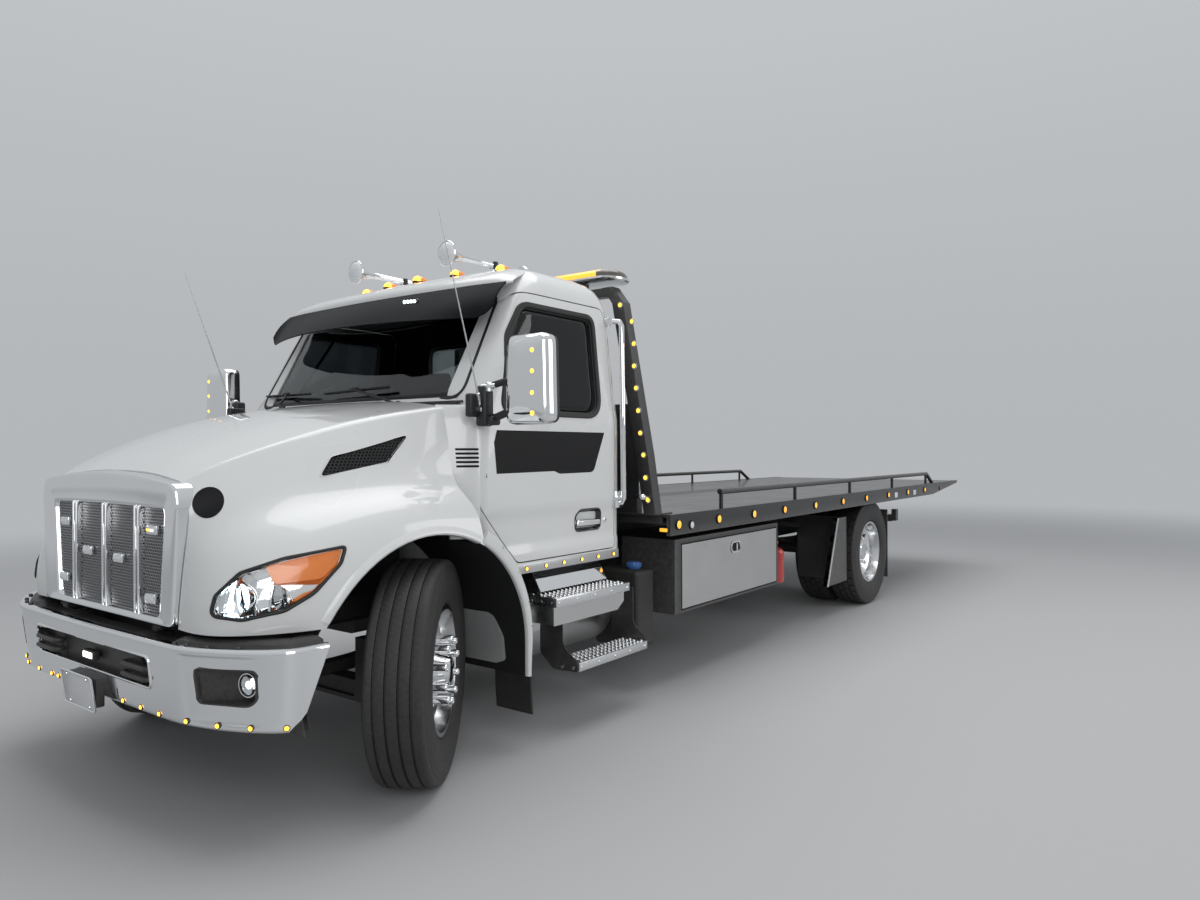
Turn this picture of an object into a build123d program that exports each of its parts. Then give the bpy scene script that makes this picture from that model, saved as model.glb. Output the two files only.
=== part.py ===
# Rollback tow truck: a conventional cab on a two-axle chassis with a tilting, sliding car-carrier bed.
# Frame of the model: +X is the truck's left, -Y its front, +Z up; the origin is on the ground at the middle.
from build123d import *
from math import atan2, cos, degrees, hypot, pi, radians, sin
import os

os.makedirs("parts", exist_ok=True)

# Driving dimensions, in millimetres. Stations along the truck are measured back from the front axle.
LENGTH = 9910
FRONT_OVERHANG = 950
WHEELBASE = 5750
GAP = 6
RUN = 0.3
PIN_RUN = 0.05
SPINDLE_RUN = 0.4


def at(y):
    """Turns a station behind the front axle into the model's Y."""
    return y + FRONT_OVERHANG - LENGTH / 2


TAIL_Y = LENGTH - FRONT_OVERHANG

# Wheels and axles
TYRE_R = 515
TYRE_W = 279
BEAD_R = 286
RIM_FLANGE_R = 299
RIM_HALF = 105
FRONT_TRACK = 1046
KINGPIN_X = 901
STEER_REST = 36
FORK_HALF = 100
DUAL_GAP = 51
DUAL_PITCH = TYRE_W + DUAL_GAP
OVER_DUALS_HALF = 1232.5
REAR_TRACK = OVER_DUALS_HALF - (DUAL_PITCH + TYRE_W) / 2
HUB_R = 95
BOLT_CIRCLE_R = 142.9
BOLT_COUNT = 10
SPINDLE_R = 38
TUBE_NUT_R = 17
TUBE_NUT_L = 95

# Chassis frame
RAIL_TOP = 930
RAIL_DEEP = 268
RAIL_OUT = 432
RAIL_FLANGE = 80
RAIL_T = 9
RAIL_FRONT = -760
RAIL_END = 6990

# Leaf springs
SPRING_X = RAIL_OUT + 42
SPRING_W = 70
SPRING_EYE_Z = RAIL_TOP - RAIL_DEEP - 60
REAR_EYE_Z = RAIL_TOP - RAIL_DEEP + 6

# Cab
CAB_HALF = 1070
CAB_FRONT = 372
CAB_BACK = 1648
CAB_FLOOR = 905
TOE_Y = 600
TOE_Z = 1180
BELT_Z = 1700
ROOF_SIDE_X = 985
ROOF_SIDE_Z = 2400
ROOF_Z = 2600
CAB_WALL = 55
WINDOW_T = 6
COWL_Z = 1765
SCREEN_TOP_Y = 745
SCREEN_TOP_Z = 2410
DOOR_FRONT = 448
DOOR_REAR = 1572
DOOR_BOTTOM = 950
DOOR_GAP = 12
DOOR_TOP = 2395

# Hood
HOOD_FRONT = -855
HOOD_REAR = 358
HOOD_WALL = 14
HOOD_BOTTOM = 815
HOOD_HINGE_Y = -840
HOOD_HINGE_Z = 803
HOOD_PIN_R = 9
HOOD_EAR_X = RAIL_OUT + 38
ARCH_Y = 60
ARCH_Z = 555
ARCH_R = 600
GRILLE_HALF_TOP = 545
GRILLE_HALF_LOW = 500
GRILLE_TOP = 1300
GRILLE_LOW = 850
GRILLE_BAR_X = 308
SHELL_FRONT = -868
SHELL_BACK = -813
SHELL_HALF_TOP = 664
SHELL_HALF_LOW = 622
SHELL_LOW = 820

# Bumper
BUMPER_HALF = 1215
BUMPER_TOP = 783
BUMPER_LOW = 462
BUMPER_T = 10
BUMPER_RETURN = 42
SLOT_HALF = 560
SLOT_Z = (580, 710)
FOG_X = (850, 1092)
FOG_Z = (565, 702)
TOW_PIN_X = RAIL_OUT + 38
TOW_PIN_Y = -860
TOW_PIN_R = 18

# Bed
BED_HALF = 1268
BED_FRONT = 1895
BED_TOP = 1130
BED_RAIL_LOW = BED_TOP - 132
DECK_PLATE_END = 2440
BED_KINK = 7816
FLOOR_T = 10
CROSS_DEEP = 50
SLIDE_TRAVEL = 3000
TILT_MAX = 12
HINGE_Y = 7060
HINGE_Z = 850
TILT_FRONT = 2150
SILL_X = RAIL_OUT - 92
RAIL_IN = BED_HALF - 70


def box(x0, x1, y0, y1, z0, z1):
    """A block between two corners, with y as stations behind the front axle."""
    centre = ((x0 + x1) / 2, (at(y0) + at(y1)) / 2, (z0 + z1) / 2)
    return Pos(*centre) * Box(abs(x1 - x0), abs(y1 - y0), abs(z1 - z0))


def rod_x(x0, x1, y, z, r):
    """A round bar along X."""
    return Pos((x0 + x1) / 2, at(y), z) * Rot(0, 90, 0) * Cylinder(r, abs(x1 - x0))


def rod_y(x, y0, y1, z, r):
    """A round bar along Y."""
    return Pos(x, (at(y0) + at(y1)) / 2, z) * Rot(90, 0, 0) * Cylinder(r, abs(y1 - y0))


def rod_z(x, y, z0, z1, r):
    """A round bar along Z."""
    return Pos(x, at(y), (z0 + z1) / 2) * Cylinder(r, abs(z1 - z0))


def bar(a, b, r):
    """A round bar between two points given as (x, station, z)."""
    start = Vector(a[0], at(a[1]), a[2])
    run = Vector(b[0], at(b[1]), b[2]) - start
    return extrude(Plane(start, z_dir=run) * Circle(r), run.length)


def side_prism(points, x0, x1):
    """A prism across the truck from an outline of (station, z) points."""
    outline = Polyline(*[(0, at(y), z) for y, z in points], close=True)
    face = make_face(outline.edges())
    return Pos(x0, 0, 0) * extrude(face, x1 - x0, dir=(1, 0, 0))


def front_prism(points, y0, y1):
    """A prism along the truck from an outline of (x, z) points."""
    outline = Polyline(*[(x, at(y0), z) for x, z in points], close=True)
    face = make_face(outline.edges())
    return extrude(face, y1 - y0, dir=(0, 1, 0))


def mirrored(shape):
    """The same piece on the truck's other side."""
    return mirror(shape, about=Plane.YZ)


def both(shape):
    """A piece and its twin on the other side, as two solids."""
    return Compound(children=[*solids_of(shape), *solids_of(mirrored(shape))])


def solids_of(shape):
    """The solids of a shape, each by itself."""
    return list(shape.solids())


def spun(points):
    """A solid turned about the X axis from an outline of (axial, radius) points."""
    outline = Polyline(*[(x, r, 0) for x, r in points], close=True)
    return revolve(make_face(outline.edges()), Axis.X)


def save(node, shape):
    """Writes one node's STEP file."""
    solids = solids_of(shape)
    whole = solids[0] if len(solids) == 1 else Compound(children=solids)
    export_step(whole, f"parts/{node}.step")


# Wheels


def tyre(grooves):
    """A tyre about the X axis, with its circumferential grooves."""
    half = TYRE_W / 2
    shoulder = half - 22
    outline = [(-RIM_HALF + RUN, BEAD_R), (-RIM_HALF + RUN, RIM_FLANGE_R + 1), (-half + 8, BEAD_R + 32),
               (-half, BEAD_R + 110), (-half + 8, TYRE_R - 45), (-shoulder, TYRE_R - 8)]
    for groove in grooves:
        outline += [(groove - 6, TYRE_R), (groove - 4, TYRE_R - 14), (groove + 4, TYRE_R - 14), (groove + 6, TYRE_R)]
    outline += [(shoulder, TYRE_R - 8), (half - 8, TYRE_R - 45), (half, BEAD_R + 110), (half - 8, BEAD_R + 32),
                (RIM_HALF - RUN, RIM_FLANGE_R + 1), (RIM_HALF - RUN, BEAD_R)]
    return spun(outline)


def rim(disc_x, bulge):
    """A disc wheel about X: its barrel, the disc at disc_x that bulges towards +X, and the hand holes."""
    half = RIM_HALF
    seat = BEAD_R - RUN
    barrel = spun([(-half - 12, RIM_FLANGE_R), (-half, RIM_FLANGE_R), (-half, seat), (-50, BEAD_R - 8),
                   (50, BEAD_R - 8), (half, seat), (half, RIM_FLANGE_R), (half + 12, RIM_FLANGE_R),
                   (half + 12, BEAD_R - 6), (50, BEAD_R - 22), (-50, BEAD_R - 22), (-half - 12, BEAD_R - 6)])
    disc = spun([(disc_x, HUB_R), (disc_x, BOLT_CIRCLE_R + 35), (disc_x - bulge, BEAD_R - 14),
                 (disc_x - bulge - 14, BEAD_R - 14), (disc_x - 14, BOLT_CIRCLE_R + 28), (disc_x - 14, HUB_R)])
    hole_r = 222
    for k in range(BOLT_COUNT):
        turn = Rot(360 / BOLT_COUNT * (k + 0.5), 0, 0)
        disc -= turn * Pos(disc_x - bulge / 2, 0, hole_r) * Rot(0, 90, 0) * Cylinder(24, 160)
    return barrel + disc


def ring_of(piece, radius):
    """Copies of a piece on the bolt circle about X."""
    return [Rot(360 / BOLT_COUNT * k, 0, 0) * Pos(0, 0, radius) * piece for k in range(BOLT_COUNT)]


def front_wheel():
    """The steer wheel's rim with its hub and the ten long tube nut covers, outboard towards +X."""
    disc_x = 60
    wheel = rim(disc_x, 70)
    hub = spun([(-60, SPINDLE_R + SPINDLE_RUN), (-60, HUB_R), (disc_x - 10, HUB_R), (disc_x + 70, 62), (disc_x + 84, 30),
                (disc_x + 84, 0), (disc_x + 62, 0), (disc_x + 62, SPINDLE_R + SPINDLE_RUN)])
    wheel = wheel + hub
    nut = Pos(disc_x + TUBE_NUT_L / 2 - 6, 0, 0) * Rot(0, 90, 0) * Cylinder(TUBE_NUT_R, TUBE_NUT_L)
    for piece in ring_of(nut, BOLT_CIRCLE_R):
        wheel += piece
    return wheel


def rear_wheels():
    """The dual rims on one hub about X, outboard towards +X."""
    outer = Pos(DUAL_PITCH / 2, 0, 0) * rim(-40, -70)
    inner = Pos(-DUAL_PITCH / 2, 0, 0) * mirror(rim(-40, -70), about=Plane.YZ)
    hub = spun([(-150, SPINDLE_R + 12 + PIN_RUN), (-150, HUB_R + 30), (110, HUB_R + 30), (125, HUB_R), (210, 88),
                (222, 70), (222, 0), (200, 0), (200, SPINDLE_R + 12 + PIN_RUN)])
    wheel = outer + inner + hub
    wheel += Rot(0, 90, 0) * (Cylinder(BOLT_CIRCLE_R + 30, 284) - Cylinder(HUB_R - 2, 284))
    nut = Pos(DUAL_PITCH / 2 - 20, 0, 0) * Rot(0, 90, 0) * Cylinder(TUBE_NUT_R, 60)
    for piece in ring_of(nut, BOLT_CIRCLE_R):
        wheel += piece
    return wheel


def steered(side, shape):
    """Puts a piece built about the kingpin on its side of the front axle, turned to the steering angle at rest."""
    facing = shape if side > 0 else mirrored(shape)
    return Pos(side * KINGPIN_X, at(0), TYRE_R) * Rot(0, 0, STEER_REST) * facing


def build_wheels():
    """The steered front wheels with their knuckles, and the dual rear wheels."""
    offset = Pos(FRONT_TRACK - KINGPIN_X, 0, 0)
    steer_grooves = (-78, -27, 27, 78)
    drive_grooves = (-55, 0, 55)
    front_tyre = offset * tyre(steer_grooves)
    front_rim = offset * front_wheel()
    # The knuckle is a kingpin boss with the stub axle and the brake's backing plate
    knuckle = Cylinder(42, 2 * (FORK_HALF - RUN)) + Pos(54.75, 0, 0) * Rot(0, 90, 0) * Cylinder(60, 59.5)
    knuckle += Pos(120, 0, 0) * Rot(0, 90, 0) * Cylinder(SPINDLE_R, 200)
    knuckle += Pos(62, 0, 0) * Rot(0, 90, 0) * Cylinder(190, 12)
    knuckle += Pos(-10, 110, -60) * Box(60, 200, 34)
    duals = Compound(children=[Pos(x, 0, 0) * tyre(drive_grooves) for x in (-DUAL_PITCH / 2, DUAL_PITCH / 2)])
    rear_rim = rear_wheels()
    for side, name in ((1, "left"), (-1, "right")):
        save(f"front_tyre_{name}", steered(side, front_tyre))
        save(f"front_rim_{name}", steered(side, front_rim))
        save(f"knuckle_{name}", steered(side, knuckle))
        hub = Pos(side * REAR_TRACK, at(WHEELBASE), TYRE_R)
        turn = Rot(0, 0, 0 if side > 0 else 180)
        save(f"rear_tyres_{name}", hub * turn * duals)
        save(f"rear_rims_{name}", hub * turn * rear_rim)


# Chassis


def channel(x0, x1, y0, y1, web_out):
    """One frame rail, a C section open towards the truck's middle when web_out is true."""
    z0 = RAIL_TOP - RAIL_DEEP
    rail = box(x0, x1, y0, y1, z0, RAIL_TOP)
    inner = (x0 - 1, x1 - RAIL_T) if web_out else (x0 + RAIL_T, x1 + 1)
    return rail - box(*inner, y0 - 1, y1 + 1, z0 + RAIL_T, RAIL_TOP - RAIL_T)


def build_frame():
    """The ladder frame: two rails, cross members, spring hangers and the bed's rear hinge ears."""
    left = channel(RAIL_OUT - RAIL_FLANGE, RAIL_OUT, RAIL_FRONT, RAIL_END, True)
    frame = left + mirrored(left)
    z0 = RAIL_TOP - RAIL_DEEP
    for y, low in ((-640, z0 + RAIL_T), (2450, 812), (3600, 760), (WHEELBASE - 450, 760), (WHEELBASE + 550, 760), (RAIL_END - 90, 700)):
        cross = box(-RAIL_OUT + RAIL_T / 2, RAIL_OUT - RAIL_T / 2, y - 40, y + 40, low, RAIL_TOP - 40)
        cross -= box(-RAIL_OUT + 2 * RAIL_T, RAIL_OUT - 2 * RAIL_T, y - 30, y + 41, low + RAIL_T, RAIL_TOP - 50)
        frame += cross
    # Spring hangers stand on the outside of each rail, ahead of and behind both axles
    hangers = ((-640, SPRING_EYE_Z), (640, SPRING_EYE_Z), (WHEELBASE - 660, REAR_EYE_Z), (WHEELBASE + 660, REAR_EYE_Z))
    for y, eye_z in hangers:
        hanger = box(RAIL_OUT - 2, SPRING_X + SPRING_W / 2, y - 45, y + 45, eye_z + RUN, z0 + 130)
        frame += hanger + mirrored(hanger)
    ear = side_prism([(RAIL_END - 160, RAIL_TOP - 20), (RAIL_END - 160, z0), (RAIL_END, z0 + 20),
                      (HINGE_Y + 62, HINGE_Z - 50), (HINGE_Y + 62, HINGE_Z + 30), (HINGE_Y, RAIL_TOP - 20)],
                     RAIL_OUT - 24, RAIL_OUT)
    ear -= rod_x(RAIL_OUT - 30, RAIL_OUT + 6, HINGE_Y, HINGE_Z, 30 + PIN_RUN)
    frame += ear + mirrored(ear)
    # The hood's hinge pins stand on brackets at the rails' front ends
    hinge = box(RAIL_OUT - 10, HOOD_EAR_X - 5, HOOD_HINGE_Y - 8, RAIL_FRONT + 60, HOOD_HINGE_Z - 16, HOOD_HINGE_Z + 8)
    hinge += rod_x(HOOD_EAR_X - 20, HOOD_EAR_X + 22, HOOD_HINGE_Y, HOOD_HINGE_Z, HOOD_PIN_R)
    frame += hinge + mirrored(hinge)
    return frame


def leaf_spring(x, y_axle, z_seat, half_length, eye_z):
    """A leaf pack that arches from eye to eye, with four leaves that step back towards its ends."""
    pack = None
    for k in range(4):
        reach = half_length * (1 - 0.2 * k)
        top = z_seat + 60 - 15 * k
        rise = (eye_z - z_seat - 60) * (reach / half_length) ** 2
        upper = ThreePointArc((0, at(y_axle - reach), top + rise), (0, at(y_axle), top),
                              (0, at(y_axle + reach), top + rise))
        lower = ThreePointArc((0, at(y_axle - reach), top + rise - 17), (0, at(y_axle), top - 17),
                              (0, at(y_axle + reach), top + rise - 17))
        ends = [Line(upper @ 0, lower @ 0), Line(upper @ 1, lower @ 1)]
        leaf = Pos(x - SPRING_W / 2, 0, 0) * extrude(make_face([upper, lower, *ends]), SPRING_W, dir=(1, 0, 0))
        pack = leaf if pack is None else pack + leaf
    return pack


def build_axles():
    """The forged front beam and the rear drive axle, each with its leaf springs."""
    beam_z = TYRE_R - 120
    beam = side_prism([(-45, beam_z - 50), (45, beam_z - 50), (45, beam_z + 50), (-45, beam_z + 50)],
                      -KINGPIN_X + 130, KINGPIN_X - 130)
    beam -= both(box(-30, KINGPIN_X - 200, 25, 46, beam_z - 30, beam_z + 30))
    beam -= both(box(-30, KINGPIN_X - 200, -46, -25, beam_z - 30, beam_z + 30))
    fork = box(KINGPIN_X - 190, KINGPIN_X - 100, -45, 45, beam_z - 50, TYRE_R + 135)
    for z in (TYRE_R + FORK_HALF, TYRE_R - FORK_HALF - 35):
        arm = box(KINGPIN_X - 130, KINGPIN_X, -42, 42, z, z + 35) + rod_z(KINGPIN_X, 0, z, z + 35, 42)
        fork += arm
    front = beam + fork + mirrored(fork)
    for x in (SPRING_X, -SPRING_X):
        front += leaf_spring(x, 0, beam_z + 46, 640, SPRING_EYE_Z)
    rear_seat = TYRE_R + 62
    tube_half = REAR_TRACK - DUAL_PITCH / 2 - 60
    rear = rod_x(-tube_half, tube_half, WHEELBASE, TYRE_R, 66)
    rear += rod_x(-REAR_TRACK - 190, REAR_TRACK + 190, WHEELBASE, TYRE_R, SPINDLE_R + 12)
    rear += Pos(0, at(WHEELBASE), TYRE_R) * Sphere(205)
    rear += rod_y(0, WHEELBASE - 330, WHEELBASE, TYRE_R + 10, 105)
    for x in (SPRING_X, -SPRING_X):
        rear += leaf_spring(x, WHEELBASE, rear_seat, 660, REAR_EYE_Z)
        rear += box(x - SPRING_W / 2, x + SPRING_W / 2, WHEELBASE - 90, WHEELBASE + 90, TYRE_R + 30, rear_seat + 8)
    save("front_axle", front)
    save("rear_axle", rear)


def build_drivetrain():
    """The engine as one plain block, the radiator, the gearbox with its driveshaft, and the exhaust."""
    half = RAIL_OUT - 122
    engine = box(-half, half, -480, 330, 700, 1300)
    foot = box(half - 10, RAIL_OUT - 20, -160, -60, RAIL_TOP + RUN, RAIL_TOP + 40)
    save("engine", engine + foot + mirrored(foot))
    between = RAIL_OUT - RAIL_FLANGE - 12
    core = box(-430, 430, -765, -695, RAIL_TOP + 10, 1330) + box(-between, between, -765, -695, 780, RAIL_TOP + 11)
    core += box(-460, 460, -750, -710, RAIL_TOP + RUN, 1350)
    save("radiator", core)
    drive = box(-170, 170, 330 + RUN, 560, 640, 890) + rod_y(0, 555, 1250, 750, 130)
    drive += bar((0, 1240, 770), (0, 3300, 720), 52) + rod_y(0, 3240, 3360, 715, 75)
    drive += bar((0, 3300, 715), (0, WHEELBASE - 345, TYRE_R + 20), 52)
    drive += box(-RAIL_OUT + 12, RAIL_OUT - 12, 3270, 3330, 780, 830) + box(-40, 40, 3270, 3330, 715, 790)
    save("driveshaft", drive)
    muffler = rod_y(-610, 1900, 2750, 560, 125)
    pipe = bar((-610, 1720, 600), (-610, 1905, 560), 50) + rod_y(-610, 2745, 3720, 560, 50)
    pipe += bar((-610, 3700, 560), (-940, 3950, 520), 50)
    for y in (2050, 2550):
        pipe += box(-640, -RAIL_OUT - RUN, y, y + 30, 675, 715)
    save("exhaust", muffler + pipe)


def build_tanks():
    """The fuel tank behind the left steps, and the fluid and battery boxes behind it and on the right."""
    tank = rod_y(700, 820, 1730, 560, 240)
    for y in (930, 1560):
        tank += box(RAIL_OUT + RUN, 560, y, y + 60, 700, 760)
    save("fuel_tank", tank)
    fluid = fillet(box(760, 1100, 1775, 1975, 290, 780).edges(), 30) + rod_z(1010, 1870, 779, 820, 38)
    fluid += box(RAIL_OUT + RUN, 790, 1840, 1900, 690, 740)
    battery = fillet(box(-975, -560, 900, 1680, 330, 690).edges().filter_by(Axis.Y), 30)
    for y in (1000, 1500):
        battery += box(-600, -RAIL_OUT - RUN, y, y + 60, 665, 689)
    save("side_tanks", Compound(children=[*solids_of(fluid), *solids_of(battery)]))


def build_steps():
    """Two steps under each door: a boxed upper tread, a lower tread on end plates."""
    upper = box(990, 1200, 865, 1545, 590, 750) - box(1010, 1180, 885, 1525, 580, 735)
    lower = box(1085, 1255, 990, 1650, 345, 392) - box(1100, 1240, 1005, 1635, 340, 380)
    step = upper + lower
    for y in (1000, 1530):
        step += side_prism([(y, 600), (y + 14, 600), (y + 14 + 20, 350), (y + 20, 350)], 1000, 1180)
    for y in (960, 1520):
        step += box(RAIL_OUT + RUN, 1000, y - 20, y + 20, 806, 846) + box(990, 1004, y - 20, y + 20, 740, 846)
    save("cab_steps", both(step))


BUMPER_CORNERS = (
    # half width and station at the lower edge, at the upper edge, and the way inwards
    (0, -908, 0, -950, 0, 1),
    (740, -893, 780, -925, -0.2, 1),
    (1000, -815, 1045, -817, -0.6, 0.8),
    (1180, -680, 1203, -665, -0.95, 0.4),
    (1190, -500, BUMPER_HALF, -500, -1, 0),
)


def bumper_plan(z, inset):
    """The bumper's plan at a height, moved inwards by inset and closed along its back."""
    rise = (z - BUMPER_LOW) / (BUMPER_TOP - BUMPER_LOW)
    right = []
    for low_x, low_y, top_x, top_y, in_x, in_y in BUMPER_CORNERS:
        x = low_x + (top_x - low_x) * rise + in_x * inset
        y = low_y + (top_y - low_y) * rise + in_y * inset
        right.append((x, at(y), z))
    left = [(-x, y, height) for x, y, height in right]
    edges = [ThreePointArc(left[1], right[0], right[1])]
    for p in (right, left):
        edges += [ThreePointArc(p[1], p[2], p[3]), Line(p[3], p[4])]
    return make_face([*edges, Line(right[4], left[4])])


def bumper_form(inset, low, high):
    """The solid inside the bumper's face between two heights: its upper edge stands ahead of its lower one."""
    return loft([bumper_plan(low, inset), bumper_plan(high, inset)], ruled=True)


def face_cut(x, z, wide, tall, corner, y0, y1):
    """A bar with a rounded rectangular section that runs along the truck."""
    section = Pos(x, at(y1), z) * Rot(90, 0, 0) * RectangleRounded(wide, tall, corner)
    return extrude(section, y1 - y0, dir=(0, -1, 0))


def build_bumper():
    """The wrap-around bumper: a leaning shell with a top return, the wide slot and two fog lamp pockets."""
    outer = bumper_form(0, BUMPER_LOW, BUMPER_TOP)
    inner = bumper_form(BUMPER_T, BUMPER_LOW - 1, BUMPER_TOP - BUMPER_T)
    band = outer - inner - bumper_form(BUMPER_RETURN, BUMPER_LOW - 1, BUMPER_TOP + 1)
    slot_z = sum(SLOT_Z) / 2
    slot_tall = SLOT_Z[1] - SLOT_Z[0]
    band -= face_cut(0, slot_z, 2 * SLOT_HALF, slot_tall, 30, -1000, -800)
    lip = face_cut(0, slot_z, 2 * SLOT_HALF + 12, slot_tall + 12, 36, -1000, -885)
    lip -= face_cut(0, slot_z, 2 * SLOT_HALF, slot_tall, 30, -1001, -884)
    band += lip & outer
    # Each fog lamp stands at the outer end of a pocket that follows the bumper's corner
    fog_x = sum(FOG_X) / 2
    fog_z = sum(FOG_Z) / 2
    wide = FOG_X[1] - FOG_X[0]
    tall = FOG_Z[1] - FOG_Z[0]
    hole = face_cut(fog_x, fog_z, wide, tall, 26, -1000, -600)
    cup = face_cut(fog_x, fog_z, wide + 12, tall + 12, 32, -1000, -600)
    cup = (cup & outer) - bumper_form(70, BUMPER_LOW - 1, BUMPER_TOP + 1)
    cup -= hole - bumper_form(64, BUMPER_LOW - 1, BUMPER_TOP + 1)
    lamp = rod_y(FOG_X[1] - 44, -786, -735, fog_z + 6, 40)
    for side in (1, -1):
        band -= hole if side > 0 else mirrored(hole)
        band += cup + lamp if side > 0 else mirrored(cup + lamp)
    # The ends lean: they reach further back at the top than at the bottom
    lean = side_prism([(-690, BUMPER_LOW - 2), (-660, BUMPER_LOW + 26), (-632, BUMPER_LOW + 60), (-587, 639),
                       (-535, BUMPER_TOP + 2), (-490, BUMPER_TOP + 2), (-490, BUMPER_LOW - 2)], 1000, BUMPER_HALF + 10)
    band -= lean + mirrored(lean)
    # Two bars back the face above and below the slot, and the brackets carry them on the frame rails
    back_y = -897
    for low, high in ((SLOT_Z[1] + 8, BUMPER_TOP - BUMPER_T), (BUMPER_LOW + 38, SLOT_Z[0] - 8)):
        band += box(-RAIL_OUT, RAIL_OUT, -1000, back_y, low, high) & bumper_form(BUMPER_T - 1, BUMPER_LOW, BUMPER_TOP)
    bracket = box(RAIL_OUT - 102, RAIL_OUT, RAIL_FRONT - RUN, back_y - 1, 662, 775)
    bracket += box(RAIL_OUT - 102, RAIL_OUT, back_y + 100, back_y - 1, BUMPER_LOW + 38, 775)
    bracket += box(RAIL_OUT - 102, TOW_PIN_X + 40, RAIL_FRONT - 20, back_y - 8, 640, 662)
    bracket -= rod_z(TOW_PIN_X, TOW_PIN_Y, 600, 700, TOW_PIN_R)
    return band + bracket + mirrored(bracket)


# Cab


def cab_side_x(z):
    """Half the cab's width at a height: upright to the belt, then leaning in towards the roof."""
    lean = (CAB_HALF - ROOF_SIDE_X) / (ROOF_SIDE_Z - BELT_Z)
    return CAB_HALF - lean * max(0, z - BELT_Z)


def cab_side_outline(inset=0):
    """The cab seen from the side, moved inwards by inset."""
    i = inset
    points = [(TOE_Y + i * 0.5, CAB_FLOOR + i), (CAB_FRONT + i, TOE_Z + i * 0.4), (CAB_FRONT + i, COWL_Z - 25),
              (CAB_FRONT + 22 + i, COWL_Z),
              (SCREEN_TOP_Y + i * 1.1, SCREEN_TOP_Z - i * 0.2), (SCREEN_TOP_Y + 85 + i, SCREEN_TOP_Z + 105 - i),
              (SCREEN_TOP_Y + 200, ROOF_Z - 6 - i), (SCREEN_TOP_Y + 405, ROOF_Z - i),
              (CAB_BACK - 90, ROOF_Z - 10 - i), (CAB_BACK - i, ROOF_Z - 90 - i),
              (CAB_BACK - i, CAB_FLOOR + i)]
    return points


def cab_front_outline(inset=0):
    """The cab seen from the front, moved inwards by inset."""
    i = inset
    half = [(CAB_HALF - i, CAB_FLOOR - 5), (CAB_HALF - i, BELT_Z), (ROOF_SIDE_X - i, ROOF_SIDE_Z),
            (ROOF_SIDE_X - 40 - i, ROOF_Z - 110 - i * 0.6), (ROOF_SIDE_X - 130 - i * 0.5, ROOF_Z - 40 - i)]
    return half + [(0, ROOF_Z + 5 - i)] + [(-x, z) for x, z in reversed(half)]


def cab_solid(inset):
    """The cab's outer form, or the form a given thickness inside it."""
    return side_prism(cab_side_outline(inset), -CAB_HALF - 10, CAB_HALF + 10) & front_prism(
        cab_front_outline(inset), 200, CAB_BACK + 100)


DOOR_ZONE = (CAB_HALF - 270, CAB_HALF + 130)
SKIRT_OUT = CAB_HALF + 115
DOOR_PIN_X = CAB_HALF - 10
DOOR_PIN_Y = DOOR_FRONT + 12
DOOR_PIN_R = 5
DOOR_LUG_R = 8
DOOR_HINGES = ((1330, 1360), (1650, 1680))
HANDLE_Y = 1335
HANDLE_Z = 1120


def door_outline(grow=0):
    """The door's seam seen from the side, moved outwards by grow."""
    g = grow
    return [(DOOR_FRONT - g, 1240), (DOOR_FRONT + 255 - g, DOOR_BOTTOM - g), (DOOR_REAR + g, DOOR_BOTTOM - g),
            (DOOR_REAR + g, DOOR_TOP + g), (830 - g, DOOR_TOP + g), (690 - g, 2270), (DOOR_FRONT + 35 - g, 1880),
            (DOOR_FRONT - g, 1800)]


def door_slab(deeper=0):
    """The depth of the cab's side that the door fills, as a prism along the truck."""
    deep = CAB_WALL + 1 + deeper
    outside = CAB_HALF + 130
    points = [(CAB_HALF - deep, 900), (CAB_HALF - deep, BELT_Z), (cab_side_x(2450) - deep, 2450), (outside, 2450),
              (outside, 900)]
    return front_prism(points, 300, CAB_BACK + 50)


def door_window_outline(grow=0):
    """The window in the door, seen from the side."""
    g = grow
    return [(600 - g, 1740 - g), (1270 + g, 1740 - g), (1420 + g, 1860), (1450 + g, 2320 + g), (880 - g, 2320 + g),
            (720 - g, 2140)]


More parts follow.
